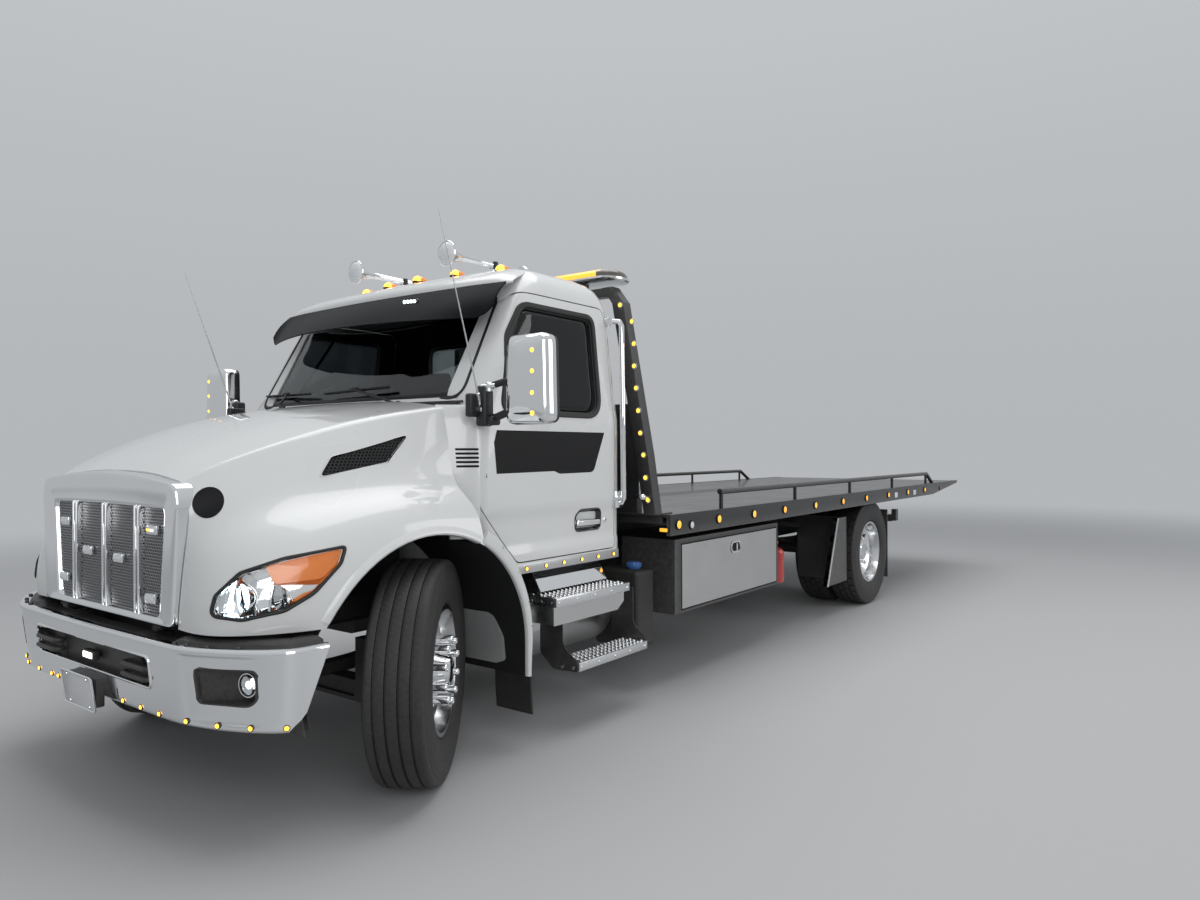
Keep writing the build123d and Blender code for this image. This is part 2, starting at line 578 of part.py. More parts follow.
def build_cab():
    """The hollow cab shell with its openings, the doors cut from the same form, and the glass."""
    outer = cab_solid(0)
    inner = cab_solid(CAB_WALL)
    shell = outer - inner
    shell -= box(-480, 480, CAB_FRONT, CAB_BACK + 1, 0, RAIL_TOP + 10)
    for y in (700, 1560):
        mount = box(RAIL_OUT - 70, RAIL_OUT, y - 35, y + 35, RAIL_TOP + RUN, RAIL_TOP + 15)
        shell += mount + mirrored(mount)
    screen = [(-850, 1815), (850, 1815), (830, 2370), (-830, 2370)]
    shell -= front_prism(screen, 250, 900)
    back_light = [(-620, 1800), (620, 1800), (620, 2280), (-620, 2280)]
    shell -= front_prism(back_light, CAB_BACK - 120, CAB_BACK + 50)
    doorway = side_prism(door_outline(DOOR_GAP), *DOOR_ZONE) & door_slab(8)
    shell -= doorway + mirrored(doorway)
    # Two lugs on each side reach into notches in the door's front edge, and their pins turn in the door
    for z0, z1 in DOOR_HINGES:
        lug = box(DOOR_PIN_X - DOOR_LUG_R, DOOR_PIN_X + DOOR_LUG_R, DOOR_FRONT - 20, DOOR_PIN_Y, z0, z1)
        lug += rod_z(DOOR_PIN_X, DOOR_PIN_Y, z0, z1, DOOR_LUG_R)
        lug += rod_z(DOOR_PIN_X, DOOR_PIN_Y, z0 - 25, z1 + 25, DOOR_PIN_R)
        shell += lug + mirrored(lug)
    save("cab_shell", shell)
    glass_outer = cab_solid(12)
    glass_inner = cab_solid(12 + WINDOW_T)
    pane = glass_outer - glass_inner
    windshield = pane & front_prism(screen, 250, 900)
    rear = pane & front_prism(back_light, CAB_BACK - 120, CAB_BACK + 50)
    save("cab_glass", Compound(children=[*solids_of(windshield), *solids_of(rear)]))
    skin = outer - cab_solid(CAB_WALL - 5)
    door = skin & side_prism(door_outline(), *DOOR_ZONE) & door_slab()
    door -= side_prism(door_window_outline(), *DOOR_ZONE)
    notch = DOOR_LUG_R + 2
    for z0, z1 in DOOR_HINGES:
        door -= box(DOOR_PIN_X - notch, CAB_HALF + 1, DOOR_FRONT - 1, DOOR_PIN_Y + notch, z0 - 2, z1 + 2)
        door -= rod_z(DOOR_PIN_X, DOOR_PIN_Y, z0 - 27, z1 + 27, DOOR_PIN_R + PIN_RUN)
    # The lever bridges a pocket pressed into the door's skin
    pocket = box(CAB_HALF - 20, CAB_HALF + 1, HANDLE_Y - 65, HANDLE_Y + 65, HANDLE_Z - 36, HANDLE_Z + 36)
    door -= fillet(pocket.edges().filter_by(Axis.X), 22)
    door += box(CAB_HALF - 14, CAB_HALF - 4, HANDLE_Y - 66, HANDLE_Y + 66, HANDLE_Z + 4, HANDLE_Z + 20)
    door_glass = pane & side_prism(door_window_outline(), *DOOR_ZONE)
    save("door_left", door)
    save("door_right", mirrored(door))
    save("door_glass_left", door_glass)
    save("door_glass_right", mirrored(door_glass))
    skirt = side_prism([(ARCH_Y + (ARCH_R + t) * cos(radians(a)), ARCH_Z + (ARCH_R + t) * sin(radians(a)))
                        for t, turn in ((0, range(0, 61, 12)), (75, range(60, -1, -12))) for a in turn],
                       CAB_HALF + RUN, SKIRT_OUT)
    skirt += box(CAB_HALF + RUN, SKIRT_OUT, ARCH_Y + ARCH_R, ARCH_Y + ARCH_R + 75, 380, ARCH_Z)
    skirt -= box(CAB_HALF - 70, SKIRT_OUT + 15, 0, HOOD_REAR + GAP, 300, 1400)
    flap = box(930, SKIRT_OUT - 5, ARCH_Y + ARCH_R + 20, ARCH_Y + ARCH_R + 32, 190, 400)
    flap += box(930, 1045, ARCH_Y + ARCH_R + 20, ARCH_Y + ARCH_R + 32, 399, 905)
    save("cowl_skirts", both(skirt + flap))


def arc_band(z, centre_y, end_y, half, thick):
    """A thin band bowed forwards in plan, as one face."""
    outer = ThreePointArc((-half, at(end_y), z), (0, at(centre_y), z), (half, at(end_y), z))
    inner = ThreePointArc((-half, at(end_y + thick), z), (0, at(centre_y + thick), z), (half, at(end_y + thick), z))
    return make_face([outer, inner, Line(outer @ 0, inner @ 0), Line(outer @ 1, inner @ 1)])


def roof_at(x, y):
    """The height of the cab's roof at a place on it."""
    across = ROOF_Z + 5 - (45 * abs(x) / (ROOF_SIDE_X - 130))
    along = ROOF_Z - 6 + 6 * (y - SCREEN_TOP_Y - 200) / 205
    return min(across, along, ROOF_Z)


def build_roof():
    """The smoked visor with its stays, the five marker lamps, the two air horns."""
    visor = loft([arc_band(2225, 345, 600, 1000, 10), arc_band(2430, 640, 720, 985, 10)])
    for x in (-700, 0, 700):
        visor += box(x - 12, x + 12, 614 if x == 0 else 662, SCREEN_TOP_Y - 6.5, 2400, 2414)
    save("sun_visor", visor)
    lamps = []
    for x, y in ((-620, 1080), (-310, 1010), (0, 985), (310, 1010), (620, 1080)):
        low = roof_at(max(0, abs(x) - 29), y + 60) + RUN
        lamp = loft([Pos(x, at(y), low) * RectangleRounded(58, 120, 20),
                     Pos(x, at(y) + 12, low + 48) * RectangleRounded(34, 70, 14)])
        lamps.append(lamp)
    save("roof_lamps", Compound(children=lamps))
    horns = []
    for x, y in ((-420, 850), (420, 850)):
        bell = Pos(x, at(y), 2680) * Rot(-90, 0, 0) * Cone(72, 22, 160, align=(Align.CENTER, Align.CENTER, Align.MIN))
        tube = rod_y(x, y + 159, y + 620, 2680, 19) + rod_y(x, y + 600, y + 680, 2680, 42)
        foot = box(x - 20, x + 20, y + 330, y + 390, roof_at(abs(x) - 20, y + 390) + RUN, 2670)
        horns += solids_of(bell + tube + foot)
    save("air_horns", Compound(children=horns))


def build_mirrors():
    """The mirror heads on their arms, the whip antennas, and the grab tubes behind the doors."""
    x0 = CAB_HALF + 135
    x1 = x0 + 275
    head = fillet(box(x0, x1, 415, 515, 1665, 2095).edges(), 28)
    # The flat glass and the small convex one below it sit in recesses on the side that faces the driver
    for z0, z1 in ((1840, 2072), (1690, 1820)):
        recess = fillet(box(x0 + 22, x1 - 22, 506, 516, z0, z1).edges().filter_by(Axis.Y), 24)
        head -= recess
    arms = bar((CAB_HALF + 15, 428, 1690), (x0 + 10, 445, 1730), 13)
    arms += bar((CAB_HALF + 15, 420, 1820), (x0 + 10, 440, 1990), 13)
    bracket = box(CAB_HALF + RUN, CAB_HALF + 26, 385, 438, 1660, 1850)
    save("mirrors", both(head + arms + bracket))
    foot_x = CAB_HALF + 38.4
    whip = bar((foot_x + 1.6, 400, 1745), (foot_x + 41.6, 90, 2640), 4) + rod_z(foot_x, 400, 1725, 1760, 12)
    save("antennas", both(whip))
    grab_low = (CAB_HALF + 42, 1612, 1240)
    grab_top = (cab_side_x(2320) + 73, 1612, 2320)
    grab = bar(grab_low, grab_top, 16)
    for z in (1250, 1760, 2300):
        x = grab_low[0] + (grab_top[0] - grab_low[0]) * (z - grab_low[2]) / (grab_top[2] - grab_low[2])
        grab += bar((cab_side_x(z) + 2.6, 1612, z), (x, 1612, z), 14)
    save("grab_handles", both(grab))


def build_inside():
    """The dashboard with the steering wheel on its column, and the two seats."""
    front = CAB_FRONT + CAB_WALL + RUN
    dash = side_prism([(front, 1300), (800, 1330), (840, 1480), (760, 1640), (front, 1700)], -1000, 1000)
    column = bar((430, 700, 1480), (430, 905, 1600), 32)
    wheel = Pos(430, at(915), 1606) * Rot(60, 0, 0) * (Torus(220, 15) + Cylinder(40, 30) + Box(430, 34, 14))
    save("dashboard", dash + column + wheel)
    seats = []
    for x in (430, -430):
        base = box(x - 200, x + 200, 1000, 1400, CAB_FLOOR + CAB_WALL + 0.3, 1220)
        cushion = fillet(box(x - 255, x + 255, 960, 1440, 1210, 1330).edges(), 40)
        back = fillet(side_prism([(1400, 1290), (1530, 1290), (1580, 2060), (1480, 2080)], x - 240, x + 240).edges(), 35)
        seats += solids_of(base + cushion + back)
    save("seats", Compound(children=seats))


# Hood

HOOD_SECTIONS = (
    # station, crown z, crease x and z, flank x and z, valley x and z, crest x and z, lip x and z
    (HOOD_FRONT, 1446, 596, 1412, 664, 1322, 676, 1215, 720, 1140, 790, 1010),
    (-800, 1466, 618, 1434, 676, 1335, 690, 1227, 762, 1155, 877, 995),
    (-720, 1510, 662, 1471, 710, 1375, 755, 1260, 872, 1200, 993, 1010),
    (-600, 1568, 702, 1523, 762, 1418, 824, 1294, 934, 1237, 1075, 1030),
    (-450, 1630, 755, 1580, 824, 1462, 886, 1321, 994, 1275, 1117, 1060),
    (-250, 1698, 817, 1646, 893, 1514, 945, 1348, 1047, 1315, 1160, 1090),
    (0, 1756, 881, 1705, 950, 1557, 988, 1369, 1084, 1335, 1181, 1120),
    (HOOD_REAR, 1805, 950, 1762, 1003, 1600, 1026, 1388, 1100, 1318, 1186, 1110),
)


def hood_face(row, inset):
    """One cross section of the hood, moved inwards by inset and open to the ground side."""
    y, crown, crease_x, crease_z, flank_x, flank_z, valley_x, valley_z, crest_x, crest_z, lip_x, lip_z = row
    i = inset
    low = HOOD_BOTTOM - (20 if i else 0)
    right = [(lip_x - i, low), (lip_x - i, lip_z - i * 0.5), (crest_x - i * 0.7, crest_z - i * 0.7),
             (valley_x - i * 0.8, valley_z - i * 0.6), (flank_x - i, flank_z - i * 0.3), (crease_x - i, crease_z - i),
             (0, crown - i)]
    p = [(x, at(y), z) for x, z in right]
    q = [(-x, at(y), z) for x, z in right]
    edges = [Line(p[0], p[1]), ThreePointArc(p[1], p[2], p[3]), ThreePointArc(p[3], p[4], p[5]),
             ThreePointArc(p[5], p[6], q[5]), ThreePointArc(q[5], q[4], q[3]), ThreePointArc(q[3], q[2], q[1]),
             Line(q[1], q[0]), Line(q[0], p[0])]
    return make_face(edges)


def shell_face(y):
    """The outline of the grille's shell: upright sides that spread upwards, round corners and a crowned top."""
    half = [(SHELL_HALF_LOW, SHELL_LOW), (SHELL_HALF_TOP, 1320), (SHELL_HALF_TOP - 19, 1392), (590, 1418), (0, 1450)]
    p = [(x, at(y), z) for x, z in half]
    q = [(-x, at(y), z) for x, z in half]
    return make_face([Line(q[0], p[0]), Line(p[0], p[1]), ThreePointArc(p[1], p[2], p[3]), ThreePointArc(p[3], p[4], q[3]),
                      ThreePointArc(q[3], q[2], q[1]), Line(q[1], q[0])])


def build_grille():
    """The grille: a bright shell round a trapezoid opening, its screen, and three grooved upright bars."""
    deep = SHELL_BACK - RUN - SHELL_FRONT
    shell = extrude(shell_face(SHELL_FRONT), deep, dir=(0, 1, 0))
    shell = chamfer(shell.faces().sort_by(Axis.Y)[0].edges(), 14)
    opening = [(-GRILLE_HALF_LOW, GRILLE_LOW), (GRILLE_HALF_LOW, GRILLE_LOW), (GRILLE_HALF_TOP, GRILLE_TOP),
               (-GRILLE_HALF_TOP, GRILLE_TOP)]
    hole = front_prism(opening, SHELL_FRONT - 1, SHELL_BACK + 1)
    shell -= fillet(hole.edges().filter_by(Axis.Y), 35)
    shell += front_prism(opening, SHELL_FRONT + 26, SHELL_FRONT + 32)
    for x in (-GRILLE_BAR_X, 0, GRILLE_BAR_X):
        bar_z = (GRILLE_LOW - 4, GRILLE_TOP + 4)
        upright = box(x - 22, x + 22, SHELL_FRONT + 6, SHELL_FRONT + 28, *bar_z)
        upright -= box(x - 9, x + 9, SHELL_FRONT, SHELL_FRONT + 16, *bar_z)
        shell += upright
    return shell


LAMP_SIDE = ((-900, 900), (-580, 905), (-385, 1135), (-760, 1075), (-900, 1000))
LAMP_INNER_X = 760


def lamp_zone(gap):
    """The headlamp's outline seen from the side, as a prism, smaller all round by a gap."""
    away = ((0, 1), (-1, 1), (-2, -1), (0, -1), (0, -1))
    outline = [(y + dy * gap, z + dz * gap) for (y, z), (dy, dz) in zip(LAMP_SIDE, away)]
    return side_prism(outline, LAMP_INNER_X + gap, 1250)


def build_hood():
    """The one-piece tilting hood with its fenders, the grille on its front and the two headlamps."""
    outer = loft([hood_face(row, 0) for row in HOOD_SECTIONS], ruled=True)
    t = HOOD_WALL
    inner_rows = []
    for k, row in enumerate(HOOD_SECTIONS):
        shift = t if k == 0 else (2 if k == len(HOOD_SECTIONS) - 1 else 0)
        inner_rows.append((row[0] + shift, *row[1:]))
    inner = loft([hood_face(row, t) for row in inner_rows], ruled=True)
    hood = outer - inner
    # The shell of the grille closes the middle of the nose, and a cross rail under it carries the hinge ears
    hood -= box(-SHELL_HALF_TOP - 8, SHELL_HALF_TOP + 8, HOOD_FRONT - 5, SHELL_BACK, HOOD_BOTTOM - 5, 1500)
    hood += box(-900, 900, SHELL_BACK, SHELL_BACK + 20, HOOD_BOTTOM, HOOD_BOTTOM + 35) & outer
    arch = rod_x(640, 1300, ARCH_Y, ARCH_Z, ARCH_R)
    hood -= arch + mirrored(arch)
    lens_zone = lamp_zone(0)
    hood -= lens_zone + mirrored(lens_zone)
    ear = box(HOOD_EAR_X, HOOD_EAR_X + 15, HOOD_HINGE_Y - 14, SHELL_BACK + 20, HOOD_HINGE_Z - 12, SHELL_LOW - RUN)
    ear += box(HOOD_EAR_X, HOOD_EAR_X + 15, SHELL_BACK, SHELL_BACK + 20, SHELL_LOW - 10, HOOD_BOTTOM + 25)
    ear -= rod_x(HOOD_EAR_X - 5, HOOD_EAR_X + 20, HOOD_HINGE_Y, HOOD_HINGE_Z, HOOD_PIN_R + PIN_RUN)
    hood += ear + mirrored(ear)
    save("hood", hood)
    lens_outer = loft([hood_face(row, 2) for row in HOOD_SECTIONS], ruled=True)
    lamp_rows = [(row[0] + (60 if k == 0 else 0), *row[1:]) for k, row in enumerate(HOOD_SECTIONS)]
    lamp = (lens_outer & lamp_zone(0.5)) - loft([hood_face(row, 60) for row in lamp_rows], ruled=True)
    save("headlamps", both(lamp))
    save("grille", build_grille())


# Bed


def build_tilt_frame():
    """The tilting subframe under the bed, with its wear pads, cross members, hinge pin and underlift hanger."""
    low = RAIL_TOP + RUN
    top = BED_TOP - FLOOR_T - CROSS_DEEP - 30
    rail = box(RAIL_OUT - 62, RAIL_OUT, TILT_FRONT, HINGE_Y + 90, low, top)
    rail -= box(RAIL_OUT - 63, RAIL_OUT - 8, TILT_FRONT - 1, HINGE_Y - 200, low + 8, top - 8)
    frame = rail + mirrored(rail)
    for y in (TILT_FRONT + 60, 3300, 4600, 5900, HINGE_Y):
        frame += box(-RAIL_OUT + 4, RAIL_OUT - 4, y - 30, y + 30, low, low + 22)
    pin = rod_x(-RAIL_OUT + 26, RAIL_OUT - 26, HINGE_Y, HINGE_Z, 42)
    pin += rod_x(-RAIL_OUT, RAIL_OUT, HINGE_Y, HINGE_Z, 30)
    frame += pin
    for side in (1, -1):
        frame += box(side * (RAIL_OUT - 62), side * (RAIL_OUT - 26), HINGE_Y - 40, HINGE_Y + 90, HINGE_Z - 30, low + 10)
    # A cross member and two pairs of ears take the lift cylinders' eyes
    y = LIFT_EYE_Y - 140
    frame += box(-RAIL_OUT + 4, RAIL_OUT - 4, y - 22, y + 22, low, low + 22)
    for x in (LIFT_X, -LIFT_X):
        for x0 in (x - 56, x + 42):
            frame += box(x0, x0 + 14, y - 20, LIFT_EYE_Y + 40, low, LIFT_EYE_Z + 45)
    return frame


BED_CROSS_PITCH = 305


def build_bed():
    """The sliding bed: floor with the winch's deck plate, cross members, sills and wear strips."""
    floor_low = BED_TOP - FLOOR_T
    deck = box(-RAIL_IN, RAIL_IN, BED_FRONT, TAIL_Y - 40, floor_low, BED_TOP - 2)
    deck += box(-RAIL_IN, RAIL_IN, BED_FRONT, DECK_PLATE_END, BED_TOP - 3, BED_TOP)
    count = int((BED_KINK - BED_FRONT) / BED_CROSS_PITCH)
    for k in range(count + 1):
        y = BED_FRONT + 40 + k * BED_CROSS_PITCH
        deck += box(-RAIL_IN, RAIL_IN, y - 25, y + 25, floor_low - CROSS_DEEP, floor_low + 1)
    sill = box(SILL_X - 35, SILL_X + 14, BED_FRONT + 10, BED_KINK, floor_low - CROSS_DEEP - 60, floor_low)
    pad = box(RAIL_OUT - 58, RAIL_OUT - 2, BED_FRONT + 10, BED_KINK, floor_low - CROSS_DEEP - 30 + RUN, floor_low)
    return deck + sill + mirrored(sill) + pad + mirrored(pad)


def build_side_rails():
    """The bed's side rails, each a channel with its low tube rail on posts, tapering at the tail."""
    floor_low = BED_TOP - FLOOR_T
    rail = side_prism([(BED_FRONT, BED_RAIL_LOW), (BED_KINK, BED_RAIL_LOW), (TAIL_Y, BED_TOP - 30), (TAIL_Y, BED_TOP),
                       (BED_FRONT, BED_TOP)], RAIL_IN + RUN, BED_HALF)
    rail -= side_prism([(BED_FRONT + 8, BED_RAIL_LOW + 8), (BED_KINK - 8, BED_RAIL_LOW + 8), (BED_KINK - 8, floor_low - 8),
                        (BED_FRONT + 8, floor_low - 8)], RAIL_IN - 1, BED_HALF - 8)
    rail -= box(RAIL_IN - 1, BED_HALF - 28, BED_FRONT - 1, TAIL_Y - 300, 0, floor_low - 8)
    x = BED_HALF - 46
    z = BED_TOP + 115
    tube = bar((x, 2620, z), (x, 7710, z), 20) + bar((x, 7710, z), (x, 7960, BED_TOP - 5), 20)
    for y in (2640, 3900, 5160, 6420, 7680):
        tube += rod_z(x, y, BED_TOP - 5, z, 14)
    return both(rail + tube)


def build_headboard():
    """The headboard: two leaning posts, rails between them and a mesh window frame."""
    board = None
    front, back = BED_FRONT - 75, BED_FRONT + 5
    foot_z = BED_TOP + 2
    for side in (1, -1):
        post = front_prism([(side * 1120, foot_z), (side * 1205, foot_z), (side * 1150, 1500), (side * 965, 2480),
                            (side * 880, 2590), (side * 800, 2590), (side * 880, 2480), (side * 1060, 1500)], front, back)
        board = post if board is None else board + post
    for z0, z1 in ((2530, 2590), (1780, 1830), (foot_z, BED_TOP + 100)):
        half = 830 if z0 > 2000 else 1060
        board += box(-half, half, front + 10, back - 10, z0, z1)
    board += box(-1060, 1060, front + 30, front + 38, BED_TOP + 90, 1790)
    for x in (-560, 0, 560):
        board += box(x - 25, x + 25, front + 12, back - 12, BED_TOP + 90, 2540)
    foot = box(-1205, 1205, front, back + 120, BED_TOP + RUN, BED_TOP + 8)
    return board + foot


def build_light_bar():
    """The amber light bar on two feet across the top of the headboard."""
    y = BED_FRONT - 35
    lens = fillet(box(-945, 945, y - 150, y + 150, 2622, 2700).edges().filter_by(Axis.Z), 90)
    feet = box(-620, -540, y - 60, y + 30, 2590, 2623) + box(540, 620, y - 60, y + 30, 2590, 2623)
    return lens + feet


WINCH_Y = 2180
WINCH_Z = BED_TOP + 160


def build_winch():
    """The winch: its two end stands with the motor and gearbox, and the drum wound with rope between them."""
    stand = box(-330, 330, WINCH_Y - 150, WINCH_Y + 150, BED_TOP, BED_TOP + 14)
    for x0, x1 in ((190, 330), (-330, -190)):
        stand += box(x0, x1, WINCH_Y - 110, WINCH_Y + 110, BED_TOP + 10, WINCH_Z + 110)
    stand += rod_x(330, 470, WINCH_Y, WINCH_Z, 75)
    stand -= rod_x(-240, 240, WINCH_Y, WINCH_Z, 30 + PIN_RUN)
    save("winch", stand)
    drum = rod_x(-235, 235, WINCH_Y, WINCH_Z, 30) + rod_x(-183, 183, WINCH_Y, WINCH_Z, 75)
    for x0, x1 in ((-183, -171), (171, 183)):
        drum += rod_x(x0, x1, WINCH_Y, WINCH_Z, 120)
    save("winch_drum", drum)


# Lift cylinders: the barrel's foot pin is on the chassis, the rod's eye at the subframe
LIFT_FOOT_Y = 4900
LIFT_FOOT_Z = 720
LIFT_EYE_Y = 3900
LIFT_EYE_Z = BED_TOP - 145
LIFT_X = RAIL_OUT - 232
LIFT_BARREL_R = 62
LIFT_ROD_R = 38


def lift_axis_point(along):
    """A point on the lift cylinder's axis, so far from its foot pin towards its eye."""
    span = hypot(LIFT_EYE_Y - LIFT_FOOT_Y, LIFT_EYE_Z - LIFT_FOOT_Z)
    k = along / span
    return (LIFT_FOOT_Y + (LIFT_EYE_Y - LIFT_FOOT_Y) * k, LIFT_FOOT_Z + (LIFT_EYE_Z - LIFT_FOOT_Z) * k)


def build_lift_cylinders():
    """The twin cylinders that tilt the bed."""
    span = hypot(LIFT_EYE_Y - LIFT_FOOT_Y, LIFT_EYE_Z - LIFT_FOOT_Z)
    foot = (LIFT_X, LIFT_FOOT_Y, LIFT_FOOT_Z)
    mouth = (LIFT_X, *lift_axis_point(span - 130))
    eye = (LIFT_X, *lift_axis_point(span - 34))
    inner_end = (LIFT_X, *lift_axis_point(150))
    barrel = bar(foot, mouth, LIFT_BARREL_R)
    barrel += rod_x(LIFT_X - 50, LIFT_X + 50, LIFT_FOOT_Y, LIFT_FOOT_Z, 70)
    barrel -= rod_x(LIFT_X - 75, LIFT_X + 75, LIFT_FOOT_Y, LIFT_FOOT_Z, 30 + PIN_RUN)
    barrel -= bar((LIFT_X, *lift_axis_point(140)), (LIFT_X, *lift_axis_point(span - 100)), LIFT_ROD_R + PIN_RUN)
    save("lift_barrels", both(barrel))
    rod = bar(inner_end, eye, LIFT_ROD_R) + rod_x(LIFT_X - 36, LIFT_X + 36, LIFT_EYE_Y, LIFT_EYE_Z, 52)
    save("lift_rods", both(rod))


def lift_foot_bracket():
    """The chassis cross tube and pins that carry the lift cylinders' feet."""
    tube = rod_x(-RAIL_OUT + 4, RAIL_OUT - 4, LIFT_FOOT_Y, LIFT_FOOT_Z, 30)
    for x0, x1 in ((LIFT_X + 68, RAIL_OUT - 5), (-RAIL_OUT + 5, -LIFT_X - 68)):
        tube += box(x0, x1, LIFT_FOOT_Y - 60, LIFT_FOOT_Y + 60, RAIL_TOP - RAIL_DEEP + 2, LIFT_FOOT_Z + 60)
    return tube


# Slide cylinder: barrel on the subframe, rod's end on the bed
SLIDE_Z = BED_TOP - 130
SLIDE_Y0 = 2300
SLIDE_ROD_R = 25
SLIDE_EYE_Y = BED_FRONT + 40 + 12 * BED_CROSS_PITCH


def slide_barrel():
    """The long cylinder barrel on the subframe's middle line."""
    barrel = rod_y(0, SLIDE_Y0, SLIDE_Y0 + 3200, SLIDE_Z, 42)
    for y in (SLIDE_Y0 + 60, 3300, 4600, 5440):
        barrel += box(-50, 50, y - 20, y + 20, RAIL_TOP + RUN + 20, SLIDE_Z)
    barrel += box(-RAIL_OUT + 4, RAIL_OUT - 4, 5400, 5460, RAIL_TOP + RUN, RAIL_TOP + 22)
    barrel += box(-RAIL_OUT + 4, RAIL_OUT - 4, SLIDE_Y0 + 20, SLIDE_Y0 + 80, RAIL_TOP + RUN, RAIL_TOP + 22)
    barrel -= rod_y(0, SLIDE_Y0 + 40, SLIDE_Y0 + 3201, SLIDE_Z, SLIDE_ROD_R + PIN_RUN)
    return barrel


def slide_rod():
    """The rod in the slide cylinder with the lug that fastens it under the bed."""
    rod = rod_y(0, SLIDE_Y0 + 60, SLIDE_EYE_Y, SLIDE_Z, SLIDE_ROD_R)
    lug_top = BED_TOP - FLOOR_T - CROSS_DEEP - RUN
    return rod + box(-60, 60, SLIDE_EYE_Y - 22, SLIDE_EYE_Y + 22, SLIDE_Z - 40, lug_top)


# Underlift
LIFT_PIVOT_Y = 7200
LIFT_PIVOT_Z = 640
BOOM_END_Y = 8250
CROSSBAR_Y = 8560


def build_underlift():
    """The stowed wheel lift: boom, the stinger that slides in it and the crossbar at its end."""
    boom = box(-90, 90, LIFT_PIVOT_Y - 60, BOOM_END_Y, LIFT_PIVOT_Z - 90, LIFT_PIVOT_Z + 70)
    boom -= box(-76, 76, LIFT_PIVOT_Y + 60, BOOM_END_Y + 1, LIFT_PIVOT_Z - 76, LIFT_PIVOT_Z + 56)
    boom -= rod_x(-100, 100, LIFT_PIVOT_Y, LIFT_PIVOT_Z, 28 + PIN_RUN)
    save("underlift_boom", boom)
    low = LIFT_PIVOT_Z - 76 + RUN
    stinger = box(-70, 70, LIFT_PIVOT_Y + 120, CROSSBAR_Y - 100, low, LIFT_PIVOT_Z + 50)
    stinger += box(-70, 70, CROSSBAR_Y - 105, CROSSBAR_Y + 60, low, LIFT_PIVOT_Z - 50)
    stinger += rod_z(0, CROSSBAR_Y, LIFT_PIVOT_Z - 60, LIFT_PIVOT_Z + 48, 25)
    save("underlift_stinger", stinger)
    cross = box(-560, 560, CROSSBAR_Y - 55, CROSSBAR_Y + 55, LIFT_PIVOT_Z - 50 + RUN, LIFT_PIVOT_Z + 40)
    cross -= rod_z(0, CROSSBAR_Y, 0, 1000, 25 + PIN_RUN)
    for side in (1, -1):
        cross += box(side * 560, side * 620, CROSSBAR_Y - 45, CROSSBAR_Y + 45, LIFT_PIVOT_Z - 40, LIFT_PIVOT_Z + 110)
    save("underlift_crossbar", cross)


def underlift_hanger():
    """The two plates under the subframe's rear that hold the underlift's pivot pin."""
    low = RAIL_TOP + RUN
    plates = rod_x(-190, 190, LIFT_PIVOT_Y, LIFT_PIVOT_Z, 28)
    for side in (1, -1):
        plates += side_prism([(HINGE_Y - 30, low + 15), (HINGE_Y + 90, low + 15), (LIFT_PIVOT_Y + 70, 700),
                              (LIFT_PIVOT_Y + 70, LIFT_PIVOT_Z - 70), (LIFT_PIVOT_Y - 70, LIFT_PIVOT_Z - 70),
                              (LIFT_PIVOT_Y - 70, 760)], side * 96, side * 126)
    plates += box(-190, -126, LIFT_PIVOT_Y - 40, LIFT_PIVOT_Y + 40, LIFT_PIVOT_Z - 40, LIFT_PIVOT_Z + 40)
    plates += box(126, 190, LIFT_PIVOT_Y - 40, LIFT_PIVOT_Y + 40, LIFT_PIVOT_Z - 40, LIFT_PIVOT_Z + 40)
    return plates


# Toolboxes and rear guards
TOOL_Y0 = 2150
TOOL_Y1 = 3584
TOOL_OUT = 1202
TOOL_LOW = 498
TOOL_TOP = 916
TOOL_DEEP = 420


def build_toolboxes():
    """A toolbox under each side of the bed with its drop-down door."""
    case = box(TOOL_OUT - TOOL_DEEP, TOOL_OUT - 4, TOOL_Y0 - 90, TOOL_Y1 + 30, TOOL_LOW - 25, TOOL_TOP + 40)
    case -= box(TOOL_OUT - TOOL_DEEP + 4, TOOL_OUT + 1, TOOL_Y0 + 25, TOOL_Y1 - 25, TOOL_LOW + 25, TOOL_TOP - 25)
    case -= box(TOOL_OUT - 35, TOOL_OUT + 1, TOOL_Y0 - 8, TOOL_Y1 + 8, TOOL_LOW - 8, TOOL_TOP + 8)
    for y in (TOOL_Y0 + 200, TOOL_Y1 - 200):
        case += box(RAIL_OUT, TOOL_OUT - TOOL_DEEP + 2, y - 40, y + 40, 700, 860)
    save("toolboxes", both(case))
    door = box(TOOL_OUT - 34.7, TOOL_OUT - 2, TOOL_Y0, TOOL_Y1, TOOL_LOW, TOOL_TOP)
    # The T handle turns in a round-cornered dish
    dish = box(TOOL_OUT - 12, TOOL_OUT, 2820, 2970, 795, 875)
    door -= fillet(dish.edges().filter_by(Axis.X), 24)
    door += rod_x(TOOL_OUT - 14, TOOL_OUT - 4, 2895, 835, 12) + box(TOOL_OUT - 8, TOOL_OUT - 3, 2845, 2945, 828, 842)
    save("toolbox_door_left", door)
    save("toolbox_door_right", mirrored(door))


